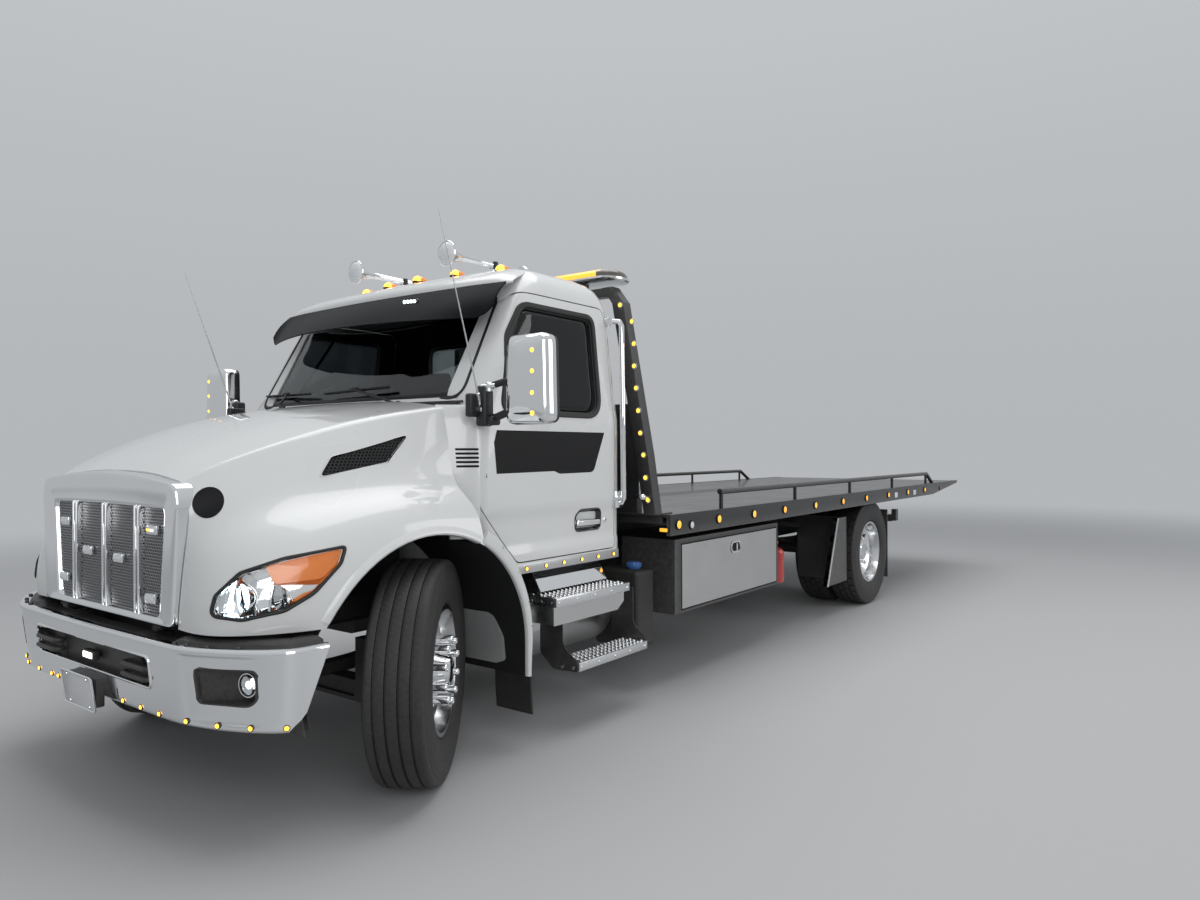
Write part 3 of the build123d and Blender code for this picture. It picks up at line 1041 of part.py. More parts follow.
def build_guards():
    """The quarter fenders ahead of the rear wheels and the mud flaps behind them, each on its bar from the frame."""
    front_edge = WHEELBASE - TYRE_R
    guard = side_prism([(front_edge - 560, 300), (front_edge - 60, 300), (front_edge - 80, 900), (front_edge - 300, 900)],
                       1180, 1186)
    guard += box(700, 1186, front_edge - 70, front_edge - 64, 300, 900)
    guard += box(RAIL_OUT, 720, front_edge - 90, front_edge - 60, 780, 820)
    rear_y = WHEELBASE + TYRE_R + 70
    flap = box(660, 1200, rear_y, rear_y + 8, 190, 900) + box(RAIL_OUT, 1200, rear_y - 20, rear_y, 840, 870)
    save("rear_guards", Compound(children=[*both(guard).solids(), *both(flap).solids()]))


def build_extinguisher():
    """The fire extinguisher behind the left toolbox, strapped to a bracket from the frame."""
    x, y, low, high, r = 1100, 3785, 460, 740, 68
    bottle = rod_z(x, y, low, high, r)
    bottle = fillet(bottle.edges().sort_by(Axis.Z)[-1:], 50)
    bottle += rod_z(x, y, high - 5, high + 34, 17) + box(x - 16, x + 16, y - 70, y + 24, high + 30, high + 46)
    arm = box(RAIL_OUT + RUN, x - r + 6, y - 20, y + 20, RAIL_TOP - RAIL_DEEP + 4, RAIL_TOP - RAIL_DEEP + 14)
    strap = rod_z(x, y, RAIL_TOP - RAIL_DEEP - 16, RAIL_TOP - RAIL_DEEP + 14, r + 4)
    strap += rod_z(x, y, low + 40, low + 64, r + 4)
    return bottle + arm + strap


def build_tail_lamps():
    """The lamp plates at the frame's rear corners."""
    y = RAIL_END - 120
    plate = box(560, 980, y, y + 10, 640, 780) + box(RAIL_OUT, 600, y - 30, y, 690, 730)
    for x in (640, 770, 900):
        plate += rod_y(x, y + 8, y + 32, 710, 52)
    save("tail_lamps", both(plate))


build_wheels()
save("frame_rails", build_frame() + lift_foot_bracket())
build_axles()
build_drivetrain()
build_tanks()
build_steps()
save("front_bumper", build_bumper())
build_cab()
build_roof()
build_mirrors()
build_inside()
build_hood()
save("tilt_frame", build_tilt_frame() + underlift_hanger() + slide_barrel())
save("bed", build_bed())
save("side_rails", build_side_rails())
save("slide_rod", slide_rod())
save("headboard", build_headboard())
save("light_bar", build_light_bar())
build_winch()
build_lift_cylinders()
build_underlift()
build_toolboxes()
build_guards()
save("fire_extinguisher", build_extinguisher())
build_tail_lamps()
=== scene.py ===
# %% [markdown]
# # A rollback tow truck
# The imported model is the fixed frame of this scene: every rigid part is already there at its real size, hung
# on the body that it moves with. This script gives the parts their finishes and adds the shells, lamps and
# small detail that the camera sees. Everything is in metres: +X is the truck's left, -Y its front, +Z up.

# %% Load the frame
from math import cos, pi, radians, sin, sqrt

import bmesh
import bpy
from mathutils import Matrix, Vector
from mathutils.bvhtree import BVHTree


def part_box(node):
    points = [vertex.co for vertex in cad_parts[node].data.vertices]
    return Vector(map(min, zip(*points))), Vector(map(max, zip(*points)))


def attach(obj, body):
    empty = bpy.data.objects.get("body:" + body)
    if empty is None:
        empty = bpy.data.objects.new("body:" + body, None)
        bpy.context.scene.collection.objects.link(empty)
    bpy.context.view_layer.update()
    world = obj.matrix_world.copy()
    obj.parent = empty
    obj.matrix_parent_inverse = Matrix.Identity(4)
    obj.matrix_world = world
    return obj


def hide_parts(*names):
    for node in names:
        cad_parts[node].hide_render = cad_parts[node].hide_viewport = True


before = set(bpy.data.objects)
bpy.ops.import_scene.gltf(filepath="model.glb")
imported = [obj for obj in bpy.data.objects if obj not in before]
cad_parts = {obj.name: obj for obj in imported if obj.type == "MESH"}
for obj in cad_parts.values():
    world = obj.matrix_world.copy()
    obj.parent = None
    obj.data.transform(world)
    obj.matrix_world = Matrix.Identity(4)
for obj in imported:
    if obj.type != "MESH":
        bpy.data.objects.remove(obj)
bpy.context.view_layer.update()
scene = bpy.context.scene

# %% [markdown]
# Places along a truck are measured from its front axle, so the script does the same. The axle node gives the
# line, and `at` turns such a place into the frame's own coordinates.

# %% Places on the truck
AXLE_LOW, AXLE_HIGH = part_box("front_axle")
AXLE_Y = (AXLE_LOW.y + AXLE_HIGH.y) / 2


def at(x, y, z):
    """A point whose y is measured rearwards from the front axle."""
    return Vector((x, AXLE_Y + y, z))


print("front axle at y =", round(AXLE_Y, 3))

# %% [markdown]
# Small parts are built in mesh code. Each helper below adds one kind of form to a bmesh, so that a piece with
# many like parts is still one mesh. Each takes a slot number, which is how one piece can show several
# finishes.

# %% Helpers that add forms to a bmesh


def full_turn(steps):
    """Even steps of angle, once round."""
    return [2 * pi * k / steps for k in range(steps)]


def basis(axis):
    """Two directions square to an axis and to each other."""
    axis = Vector(axis).normalized()
    side = Vector((0, 0, 1)) if abs(axis.z) < 0.9 else Vector((0, 1, 0))
    u = axis.cross(side).normalized()
    return u, axis.cross(u).normalized()


def bridge(bm, rings, closed=True, slot=0):
    """Quads between rings of points that have the same count."""
    rows = [[bm.verts.new(p) for p in ring] for ring in rings]
    count = len(rows[0])
    for a, b in zip(rows, rows[1:]):
        for k in range(count if closed else count - 1):
            j = (k + 1) % count
            face = bm.faces.new((a[k], a[j], b[j], b[k]))
            face.material_index = slot
    return rows


def cap(bm, row, slot=0, flip=False):
    """Closes a ring of vertices with one face."""
    face = bm.faces.new(list(reversed(row)) if flip else row)
    face.material_index = slot


def paint(verts, slot):
    """Gives every face that touches some vertices one finish slot."""
    for face in {f for v in verts for f in v.link_faces}:
        face.material_index = slot


def lathe(bm, profile, centre, axis, steps=32, slot=0, ends=True):
    """Turns (along, radius) points about an axis through centre."""
    u, v = basis(axis)
    axis = Vector(axis).normalized()
    rings = []
    for along, radius in profile:
        mid = Vector(centre) + axis * along
        rings.append([mid + (u * cos(t) + v * sin(t)) * max(radius, 1e-5) for t in full_turn(steps)])
    rows = bridge(bm, rings, slot=slot)
    if ends:
        cap(bm, rows[0], slot)
        cap(bm, rows[-1], slot, flip=True)
    return rows


def tube(bm, path, radius, steps=10, slot=0, closed=False):
    """A round bar along a list of points."""
    path = [Vector(p) for p in path]
    rings = []
    side = None
    for k, point in enumerate(path):
        ahead = path[(k + 1) % len(path)] if closed or k + 1 < len(path) else point
        behind = path[k - 1] if closed or k else point
        run = (ahead - behind).normalized()
        side = basis(run)[0] if side is None else (side - run * side.dot(run)).normalized()
        up = run.cross(side)
        rings.append([point + (side * cos(t) + up * sin(t)) * radius for t in full_turn(steps)])
    if closed:
        rings.append(rings[0])
    rows = bridge(bm, rings, slot=slot)
    if not closed:
        cap(bm, rows[0], slot)
        cap(bm, rows[-1], slot, flip=True)


def bevel(bm, edges, size, steps):
    """Rounds some edges."""
    bmesh.ops.bevel(bm, geom=edges, offset=size, segments=steps, profile=0.5, affect="EDGES",
                    clamp_overlap=True)


def block(bm, low, high, edge=0.004, slot=0, steps=2):
    """A box between two corners with rounded edges."""
    low, high = Vector(low), Vector(high)
    size = high - low
    before = set(bm.verts)
    stretch = Matrix.Diagonal((abs(size.x), abs(size.y), abs(size.z), 1))
    made = bmesh.ops.create_cube(bm, size=1, matrix=Matrix.Translation((low + high) / 2) @ stretch)
    if edge:
        edges = list({e for v in made["verts"] for e in v.link_edges})
        bevel(bm, edges, edge, steps)
    paint([v for v in bm.verts if v not in before], slot)


def prism(bm, outline, run, slot=0, edge=0.0):
    """An outline of points moved along a vector, with rounded edges if asked."""
    run = Vector(run)
    before = set(bm.verts)
    low = [bm.verts.new(p) for p in outline]
    high = [bm.verts.new(Vector(p) + run) for p in outline]
    faces = [bm.faces.new(list(reversed(low))), bm.faces.new(high)]
    for k in range(len(low)):
        j = (k + 1) % len(low)
        faces.append(bm.faces.new((low[k], low[j], high[j], high[k])))
    if edge:
        bevel(bm, list({e for f in faces[:2] for e in f.edges}), edge, 2)
    paint([v for v in bm.verts if v not in before], slot)


def rounded(points, radius, steps=6):
    """A flat outline with its corners turned into arcs; radius is one number or one for each corner."""
    radii = radius if isinstance(radius, (list, tuple)) else [radius] * len(points)
    out = []
    for k, (p, r) in enumerate(zip(points, radii)):
        p = Vector(p)
        a = Vector(points[k - 1]) - p
        b = Vector(points[(k + 1) % len(points)]) - p
        half = a.angle(b) / 2
        reach = min(r / max(0.05, sin(half) / cos(half)), a.length * 0.49, b.length * 0.49)
        if reach < 1e-4:
            out.append(p)
            continue
        start, end = p + a.normalized() * reach, p + b.normalized() * reach
        for j in range(steps + 1):
            t = j / steps
            out.append(start * (1 - t) ** 2 + p * 2 * t * (1 - t) + end * t ** 2)
    return out


def both_ways(half):
    """A row of points from the middle outwards, with its mirror image before it."""
    return [Vector((-p.x, p.y, p.z)) for p in reversed(half[1:])] + half


def mirror_all(bm):
    """Adds the mirror image of everything in the bmesh across the truck's middle plane."""
    made = bmesh.ops.duplicate(bm, geom=bm.verts[:] + bm.edges[:] + bm.faces[:])["geom"]
    verts = [g for g in made if isinstance(g, bmesh.types.BMVert)]
    faces = [g for g in made if isinstance(g, bmesh.types.BMFace)]
    for v in verts:
        v.co.x = -v.co.x
    bmesh.ops.reverse_faces(bm, faces=faces)


print("mesh helpers ready")

# %% [markdown]
# A finished bmesh becomes a piece: an object that rides on one body and carries its finishes. Edges sharper
# than a limit stay crisp and the rest shade smoothly, as pressed metal does.

# %% Helpers that turn a bmesh into a piece
SMOOTH_ANGLE = 34
SIDES = ((1, "left"), (-1, "right"))
finishes = {}


def piece(name, bm, body, slot, *looks, angle=SMOOTH_ANGLE, both=False):
    """Makes one piece of a bmesh with its finishes, and hangs it on a body."""
    if both:
        mirror_all(bm)
    bmesh.ops.recalc_face_normals(bm, faces=bm.faces[:])
    mesh = bpy.data.meshes.new(name)
    bm.to_mesh(mesh)
    bm.free()
    mesh.polygons.foreach_set("use_smooth", [True] * len(mesh.polygons))
    mesh.set_sharp_from_angle(angle=radians(angle))
    for look in looks:
        mesh.materials.append(finishes[look])
    obj = bpy.data.objects.new(name, mesh)
    scene.collection.objects.link(obj)
    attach(obj, body)
    return obj


def sides(maker, name, body, slot, *looks, **more):
    """Makes a piece for each side, where left and right ride on bodies of their own."""
    made = []
    for side, word in SIDES:
        bm = bmesh.new()
        maker(bm)
        if side < 0:
            for v in bm.verts:
                v.co.x = -v.co.x
            bmesh.ops.reverse_faces(bm, faces=bm.faces[:])
        made.append(piece(f"{name}_{word}", bm, body.format(word), slot, *looks, **more))
    return made


def pair(maker, name, body, slot, *looks, **more):
    """Makes one piece of a left half and its mirror image."""
    bm = bmesh.new()
    maker(bm)
    return piece(name, bm, body, slot, *looks, both=True, **more)


def applied(obj):
    """Fixes a piece's modifiers into its mesh."""
    bpy.context.view_layer.update()
    result = bpy.data.meshes.new_from_object(obj.evaluated_get(bpy.context.evaluated_depsgraph_get()))
    obj.modifiers.clear()
    obj.data = result


def walled(obj, thickness, **settings):
    """Gives a sheet its thickness, inwards unless the settings say otherwise."""
    wall = obj.modifiers.new("wall", "SOLIDIFY")
    wall.thickness = thickness
    for key, value in settings.items():
        setattr(wall, key, value)
    applied(obj)


def cut_away(obj, cutter_bm, operation="DIFFERENCE"):
    """Takes the closed forms in a bmesh out of a piece, or keeps only what is inside them for INTERSECT."""
    bmesh.ops.recalc_face_normals(cutter_bm, faces=cutter_bm.faces[:])
    mesh = bpy.data.meshes.new("cutter")
    cutter_bm.to_mesh(mesh)
    cutter_bm.free()
    cutter = bpy.data.objects.new("cutter", mesh)
    scene.collection.objects.link(cutter)
    tool = obj.modifiers.new("cut", "BOOLEAN")
    tool.object = cutter
    tool.operation = operation
    tool.solver = "EXACT"
    applied(obj)
    bpy.data.objects.remove(cutter)


def crisp(obj, angle=SMOOTH_ANGLE):
    """Sets smooth shading with crisp edges on a piece's final mesh."""
    obj.data.polygons.foreach_set("use_smooth", [True] * len(obj.data.polygons))
    obj.data.set_sharp_from_angle(angle=radians(angle))


def surface(obj):
    """A piece's surface as it is now, ready for rays."""
    return BVHTree.FromPolygons([v.co.copy() for v in obj.data.vertices],
                                [tuple(p.vertices) for p in obj.data.polygons])


def met(tree, place, direction, back, offset):
    """Where a ray from some way back of a place meets a surface, lifted off it by offset."""
    spot, normal, _, _ = tree.ray_cast(place - direction * back, direction)
    if spot is None:
        spot, normal, _, _ = tree.find_nearest(place)
    if normal.dot(direction) > 0:
        normal = -normal
    return spot + normal * offset


print("piece helpers ready")

# %% [markdown]
# ## Finishes
# What makes a truck look real is that no surface is even: paint has a faint ripple and picks up dust near the
# road, metal has a grain and smudges. Each of those effects is a node group with named sockets, built once
# and placed in every material that needs it with that material's own numbers. `new_group` makes the group and
# its sockets, and the other helpers here wire one kind of node in one line each.

# %% Make and wire a node group


def new_group(name, inputs, outputs):
    """A shader node group with its sockets, each input given as (name, kind, value)."""
    tree = bpy.data.node_groups.new(name, "ShaderNodeTree")
    for label, kind, value in inputs:
        socket = tree.interface.new_socket(label, in_out="INPUT", socket_type=f"NodeSocket{kind}")
        socket.default_value = value
    for label, kind in outputs:
        tree.interface.new_socket(label, in_out="OUTPUT", socket_type=f"NodeSocket{kind}")
    return tree, tree.nodes.new("NodeGroupInput"), tree.nodes.new("NodeGroupOutput")


def node(tree, kind, **settings):
    """A node with its settings."""
    made = tree.nodes.new(f"ShaderNode{kind}")
    for key, value in settings.items():
        setattr(made, key, value)
    return made


def feed(tree, socket, source):
    """Links another node's output to an input, or gives the input a value of its own."""
    if isinstance(source, bpy.types.NodeSocket):
        tree.links.new(source, socket)
    else:
        socket.default_value = source


def maths(tree, operation, a, b, use_clamp=False):
    """The result of a math node on two sockets or numbers."""
    made = node(tree, "Math", operation=operation, use_clamp=use_clamp)
    feed(tree, made.inputs[0], a)
    feed(tree, made.inputs[1], b)
    return made.outputs[0]


def blend(tree, share, first, second):
    """The colour between two colours; the mix node keeps its colour inputs at 6 and 7."""
    made = node(tree, "Mix", data_type="RGBA")
    feed(tree, made.inputs["Factor"], share)
    feed(tree, made.inputs[6], first)
    feed(tree, made.inputs[7], second)
    return made.outputs[2]


def noise_at(tree, source, scale, detail=3.0):
    """A noise texture at a place, with its scale and detail from sockets or numbers."""
    texture = node(tree, "TexNoise")
    feed(tree, texture.inputs["Vector"], source)
    feed(tree, texture.inputs["Scale"], scale)
    feed(tree, texture.inputs["Detail"], detail)
    return texture.outputs["Fac"]


print("group maker ready")

# %% [markdown]
# The first group varies a colour and a roughness in soft patches, as polish, rain and fingers leave them.

# %% Group: uneven surface
uneven, uneven_in, uneven_out = new_group(
    "Uneven surface",
    [("Color", "Color", (0.8, 0.8, 0.8, 1)), ("Scale", "Float", 3.0), ("Colour change", "Float", 0.05),
     ("Roughness", "Float", 0.3), ("Roughness change", "Float", 0.1)],
    [("Color", "Color"), ("Roughness", "Float")])
coords = node(uneven, "TexCoord")
patches = noise_at(uneven, coords.outputs["Object"], uneven_in.outputs["Scale"])
centred = maths(uneven, "SUBTRACT", patches, 0.5)
lift = maths(uneven, "ADD", maths(uneven, "MULTIPLY", centred, uneven_in.outputs["Colour change"]), 1.0)
bright = node(uneven, "VectorMath", operation="SCALE")
uneven.links.new(uneven_in.outputs["Color"], bright.inputs[0])
uneven.links.new(lift, bright.inputs["Scale"])
uneven.links.new(bright.outputs["Vector"], uneven_out.inputs["Color"])
change = maths(uneven, "MULTIPLY", centred, uneven_in.outputs["Roughness change"])
total = maths(uneven, "ADD", change, uneven_in.outputs["Roughness"], use_clamp=True)
uneven.links.new(total, uneven_out.inputs["Roughness"])
print("group:", uneven.name)

# %% [markdown]
# Road dust is thickest near the ground and comes in splashes. The group fades it out by height, breaks it up
# with two noises, and dulls the gloss where it lies.

# %% Group: road dust
DUST_STRENGTH = 4.0
DUST_ROUGHNESS = 0.85
BROAD_SCALE, FINE_SCALE = 2.5, 60.0
dust, dust_in, dust_out = new_group(
    "Road dust",
    [("Color", "Color", (0.8, 0.8, 0.8, 1)), ("Roughness", "Float", 0.3),
     ("Dust", "Color", (0.3, 0.28, 0.25, 1)), ("Amount", "Float", 0.3), ("Top", "Float", 1.2)],
    [("Color", "Color"), ("Roughness", "Float")])
coords = node(dust, "TexCoord")
split = node(dust, "SeparateXYZ")
dust.links.new(coords.outputs["Object"], split.inputs[0])
fade = node(dust, "MapRange")
fade.inputs["From Max"].default_value = 0.0
dust.links.new(dust_in.outputs["Top"], fade.inputs["From Min"])
dust.links.new(split.outputs["Z"], fade.inputs["Value"])
broad = noise_at(dust, coords.outputs["Object"], BROAD_SCALE)
fine = noise_at(dust, coords.outputs["Object"], FINE_SCALE)
speckled = maths(dust, "MULTIPLY", maths(dust, "MULTIPLY", broad, fine), fade.outputs["Result"])
stronger = maths(dust, "MULTIPLY", dust_in.outputs["Amount"], DUST_STRENGTH)
mask = maths(dust, "MULTIPLY", speckled, stronger, use_clamp=True)
dust.links.new(blend(dust, mask, dust_in.outputs["Color"], dust_in.outputs["Dust"]), dust_out.inputs["Color"])
duller = node(dust, "Mix")
duller.inputs["B"].default_value = DUST_ROUGHNESS
dust.links.new(mask, duller.inputs["Factor"])
dust.links.new(dust_in.outputs["Roughness"], duller.inputs["A"])
dust.links.new(duller.outputs[0], dust_out.inputs["Roughness"])
print("group:", dust.name)

# %% [markdown]
# Painted steel loses its paint on edges. Pointiness tells how convex a surface is, and noise breaks the bare
# line up.

# %% Group: edge wear
WEAR_FROM, WEAR_FULL = 0.52, 0.62
WEAR_SCALE = 35.0
wear, wear_in, wear_out = new_group(
    "Edge wear",
    [("Color", "Color", (0.02, 0.02, 0.02, 1)), ("Bare", "Color", (0.25, 0.24, 0.23, 1)),
     ("Amount", "Float", 0.5)],
    [("Color", "Color"), ("Mask", "Float")])
coords = node(wear, "TexCoord")
shape = node(wear, "NewGeometry")
edge = node(wear, "MapRange")
edge.inputs["From Min"].default_value = WEAR_FROM
edge.inputs["From Max"].default_value = WEAR_FULL
wear.links.new(shape.outputs["Pointiness"], edge.inputs["Value"])
broken = noise_at(wear, coords.outputs["Object"], WEAR_SCALE)
worn = maths(wear, "MULTIPLY", edge.outputs["Result"], broken)
mask = maths(wear, "MULTIPLY", worn, wear_in.outputs["Amount"], use_clamp=True)
wear.links.new(blend(wear, mask, wear_in.outputs["Color"], wear_in.outputs["Bare"]), wear_out.inputs["Color"])
wear.links.new(mask, wear_out.inputs["Mask"])
print("group:", wear.name)

# %% [markdown]
# One more group gives a height for bump: a noise that can be stretched, so it serves as the ripple in paint,
# the grain of moulded plastic, and the lines of brushed or turned metal.

# %% Group: grain
grain, grain_in, grain_out = new_group(
    "Grain",
    [("Scale", "Float", 400.0), ("Stretch", "Vector", (1, 1, 1)), ("Detail", "Float", 2.0)],
    [("Height", "Float")])
coords = node(grain, "TexCoord")
stretched = node(grain, "VectorMath", operation="MULTIPLY")
grain.links.new(coords.outputs["Object"], stretched.inputs[0])
grain.links.new(grain_in.outputs["Stretch"], stretched.inputs[1])
relief = noise_at(grain, stretched.outputs[0], grain_in.outputs["Scale"], grain_in.outputs["Detail"])
grain.links.new(relief, grain_out.inputs["Height"])
print("group:", grain.name)

# %% [markdown]
# A finish is one material made of those effects in a fixed order: colour, wear, unevenness, dust, then the
# bump. The numbers that are the same all over go straight on the shader's own sockets.

# %% Make a finish


def finish(name, colour, rough=0.4, metal=0.0, coat=0.0, patch=None, dusty=None, worn=None, bump=None,
           glow=0.0, clear=0.0, ior=1.5, shine=0.5):
    """A named material. patch: scale, colour change, roughness change. dusty: amount, top.
    worn: bare colour, amount. bump: scale, stretch, strength, depth in metres."""
    material = bpy.data.materials.new(name)
    material.use_nodes = True
    tree = material.node_tree
    shader = tree.nodes["Principled BSDF"]
    shader.inputs["Base Color"].default_value = (*colour, 1)
    shader.inputs["Roughness"].default_value = rough
    shader.inputs["Metallic"].default_value = metal
    shader.inputs["Coat Weight"].default_value = coat
    shader.inputs["Specular IOR Level"].default_value = shine
    shader.inputs["Coat Roughness"].default_value = 0.04
    shader.inputs["Transmission Weight"].default_value = clear
    shader.inputs["IOR"].default_value = ior
    colour_out = None
    rough_out = None

    def place(group, **values):
        made = tree.nodes.new("ShaderNodeGroup")
        made.node_tree = group
        if "Color" in made.inputs:
            made.inputs["Color"].default_value = (*colour, 1)
        for label, value in values.items():
            made.inputs[label.replace("_", " ")].default_value = value
        return made

    if worn:
        bare, amount = worn
        made = place(wear, Bare=(*bare, 1), Amount=amount)
        colour_out = made.outputs["Color"]
    if patch:
        scale, change, rough_change = patch
        made = place(uneven, Scale=scale, Colour_change=change, Roughness=rough,
                     Roughness_change=rough_change)
        if colour_out:
            tree.links.new(colour_out, made.inputs["Color"])
        colour_out, rough_out = made.outputs["Color"], made.outputs["Roughness"]
    if dusty:
        amount, top = dusty
        made = place(dust, Roughness=rough, Amount=amount, Top=top)
        if colour_out:
            tree.links.new(colour_out, made.inputs["Color"])
        if rough_out:
            tree.links.new(rough_out, made.inputs["Roughness"])
        colour_out, rough_out = made.outputs["Color"], made.outputs["Roughness"]
    if colour_out:
        tree.links.new(colour_out, shader.inputs["Base Color"])
    if rough_out:
        tree.links.new(rough_out, shader.inputs["Roughness"])
    if bump:
        scale, stretch, strength, depth = bump
        made = place(grain, Scale=scale, Stretch=stretch)
        relief = tree.nodes.new("ShaderNodeBump")
        relief.inputs["Strength"].default_value = strength
        relief.inputs["Distance"].default_value = depth
        tree.links.new(made.outputs["Height"], relief.inputs["Height"])
        tree.links.new(relief.outputs["Normal"], shader.inputs["Normal"])
    if glow:
        shader.inputs["Emission Color"].default_value = (*colour, 1)
        shader.inputs["Emission Strength"].default_value = glow
    finishes[name] = material
    return material


EVEN = (1, 1, 1)
finish("white paint", (0.74, 0.75, 0.745), 0.28, coat=0.9, patch=(1.5, 0.03, 0.06), dusty=(0.10, 1.3),
       bump=(9, EVEN, 0.05, 0.002))
finish("black steel", (0.013, 0.013, 0.014), 0.34, coat=0.2, patch=(5, 0.5, 0.2), dusty=(0.07, 1.15),
       worn=((0.16, 0.155, 0.15), 0.7), bump=(60, EVEN, 0.12, 0.001))
finish("chassis black", (0.010, 0.010, 0.010), 0.55, patch=(8, 0.5, 0.2), dusty=(0.14, 1.2),
       bump=(90, EVEN, 0.3, 0.0015))
finish("chrome", (0.86, 0.87, 0.88), 0.045, metal=1.0, patch=(6, 0.02, 0.05), bump=(3, EVEN, 0.05, 0.003))
finish("polished alloy", (0.82, 0.83, 0.84), 0.13, metal=1.0, patch=(25, 0.05, 0.1), dusty=(0.12, 0.9),
       bump=(300, (1, 3, 3), 0.05, 0.0004))
finish("brushed steel", (0.60, 0.60, 0.60), 0.30, metal=1.0, patch=(5, 0.12, 0.16), dusty=(0.25, 1.0),
       bump=(260, (1, 0.06, 1.6), 0.12, 0.0005))
finish("bright sheet", (0.76, 0.77, 0.78), 0.2, metal=1.0, patch=(9, 0.06, 0.12), dusty=(0.2, 1.0),
       bump=(120, (1, 0.2, 1), 0.06, 0.0006))
finish("cast metal", (0.20, 0.20, 0.21), 0.6, metal=0.6, patch=(12, 0.3, 0.2), dusty=(0.6, 1.3),
       bump=(120, EVEN, 0.4, 0.001))
finish("tyre rubber", (0.014, 0.014, 0.015), 0.58, patch=(7, 0.35, 0.15), dusty=(0.12, 1.1),
       bump=(260, EVEN, 0.2, 0.0006))
finish("seal rubber", (0.010, 0.010, 0.010), 0.5, patch=(20, 0.3, 0.1), bump=(300, EVEN, 0.15, 0.0004))
finish("black plastic", (0.016, 0.016, 0.017), 0.42, patch=(14, 0.3, 0.12), dusty=(0.25, 1.0),
       bump=(700, EVEN, 0.3, 0.0004))
finish("gloss black", (0.008, 0.008, 0.009), 0.09, coat=1.0, patch=(8, 0.2, 0.04),
       bump=(6, EVEN, 0.02, 0.001))
finish("smoked plastic", (0.003, 0.004, 0.006), 0.42, patch=(8, 0.2, 0.04), bump=(6, EVEN, 0.02, 0.001),
       shine=0.06)
finish("mirror glass", (0.80, 0.83, 0.83), 0.015, metal=1.0, patch=(5, 0.01, 0.01))
finish("flap rubber", (0.008, 0.008, 0.008), 0.6, patch=(9, 0.4, 0.15), dusty=(0.10, 0.7),
       bump=(140, EVEN, 0.2, 0.0008))
finish("guard grey", (0.30, 0.31, 0.32), 0.45, patch=(9, 0.15, 0.12), dusty=(0.5, 1.0),
       bump=(90, EVEN, 0.1, 0.0006))
finish("step sheet", (0.74, 0.75, 0.76), 0.26, metal=1.0, patch=(9, 0.08, 0.12), dusty=(0.07, 1.0),
       bump=(160, (1, 0.3, 1), 0.015, 0.0002))
finish("blue plastic", (0.06, 0.16, 0.42), 0.35, patch=(20, 0.1, 0.1), bump=(300, EVEN, 0.1, 0.0004))
# Painted shade: a near-black laid where real surfaces sit in deep shade, inside the hood, behind the grille,
# in the door seams, over the wheels and in the toolbox dishes.
finish("painted shade black", (0.004, 0.004, 0.004), 0.8, patch=(8, 0.3, 0.1), bump=(100, EVEN, 0.2, 0.001))
finish("window glass", (0.42, 0.46, 0.46), 0.01, clear=1.0, ior=1.45, patch=(4, 0.02, 0.01))
finish("dark glass", (0.045, 0.05, 0.055), 0.01, clear=1.0, ior=1.45, patch=(4, 0.02, 0.01))
finish("clear lens", (0.92, 0.94, 0.95), 0.02, clear=1.0, ior=1.45, patch=(30, 0.02, 0.02))
finish("frosted lens", (0.80, 0.82, 0.84), 0.25, coat=0.6, patch=(60, 0.05, 0.1),
       bump=(240, EVEN, 0.3, 0.001))
finish("screen steel", (0.42, 0.42, 0.43), 0.32, metal=1.0, patch=(12, 0.15, 0.12), dusty=(0.15, 1.4))
finish("amber lens", (0.86, 0.23, 0.015), 0.14, coat=0.8, patch=(40, 0.15, 0.05),
       bump=(180, EVEN, 0.2, 0.001), glow=0.25)
finish("red lens", (0.45, 0.01, 0.01), 0.14, coat=0.8, patch=(40, 0.15, 0.05), bump=(180, EVEN, 0.2, 0.001))
finish("amber light", (1.0, 0.44, 0.04), 0.3, patch=(60, 0.1, 0.05), glow=3.2)
finish("amber glow", (0.95, 0.42, 0.03), 0.16, coat=0.6, patch=(70, 0.5, 0.1), bump=(160, EVEN, 0.3, 0.001),
       glow=1.1)
finish("smoked lens", (0.10, 0.085, 0.07), 0.10, coat=0.8, patch=(30, 0.3, 0.05),
       bump=(120, (1, 0.1, 1), 0.2, 0.001))
finish("pale light", (0.75, 0.93, 1.0), 0.3, patch=(60, 0.1, 0.05), glow=3.5)
finish("white light", (1.0, 0.97, 0.9), 0.3, patch=(60, 0.1, 0.05), glow=2.2)
finish("seat cloth", (0.06, 0.06, 0.065), 0.9, patch=(20, 0.3, 0.1), bump=(900, EVEN, 0.5, 0.0008))
finish("trim cloth", (0.045, 0.045, 0.048), 0.85, patch=(12, 0.25, 0.1), bump=(700, EVEN, 0.3, 0.0005))
finish("red paint", (0.50, 0.012, 0.012), 0.25, coat=0.6, patch=(10, 0.15, 0.1), dusty=(0.3, 0.9))
finish("decal black", (0.006, 0.006, 0.007), 0.4, patch=(10, 0.2, 0.08), bump=(40, EVEN, 0.05, 0.0005),
       shine=0.18)
finish("wire rope", (0.30, 0.30, 0.30), 0.4, metal=0.9, patch=(60, 0.3, 0.2),
       bump=(500, (3, 1, 1), 0.6, 0.001))
finish("blank plate", (0.72, 0.73, 0.74), 0.35, coat=0.3, patch=(12, 0.05, 0.08), dusty=(0.3, 0.9))
print("finishes:", len(finishes))

# %% [markdown]
# ## Finishes for the CAD parts
# A CAD part whose form is right keeps its mesh and only gets a finish. The table lists them by finish, and
# what is replaced later by a finer shell is hidden there.

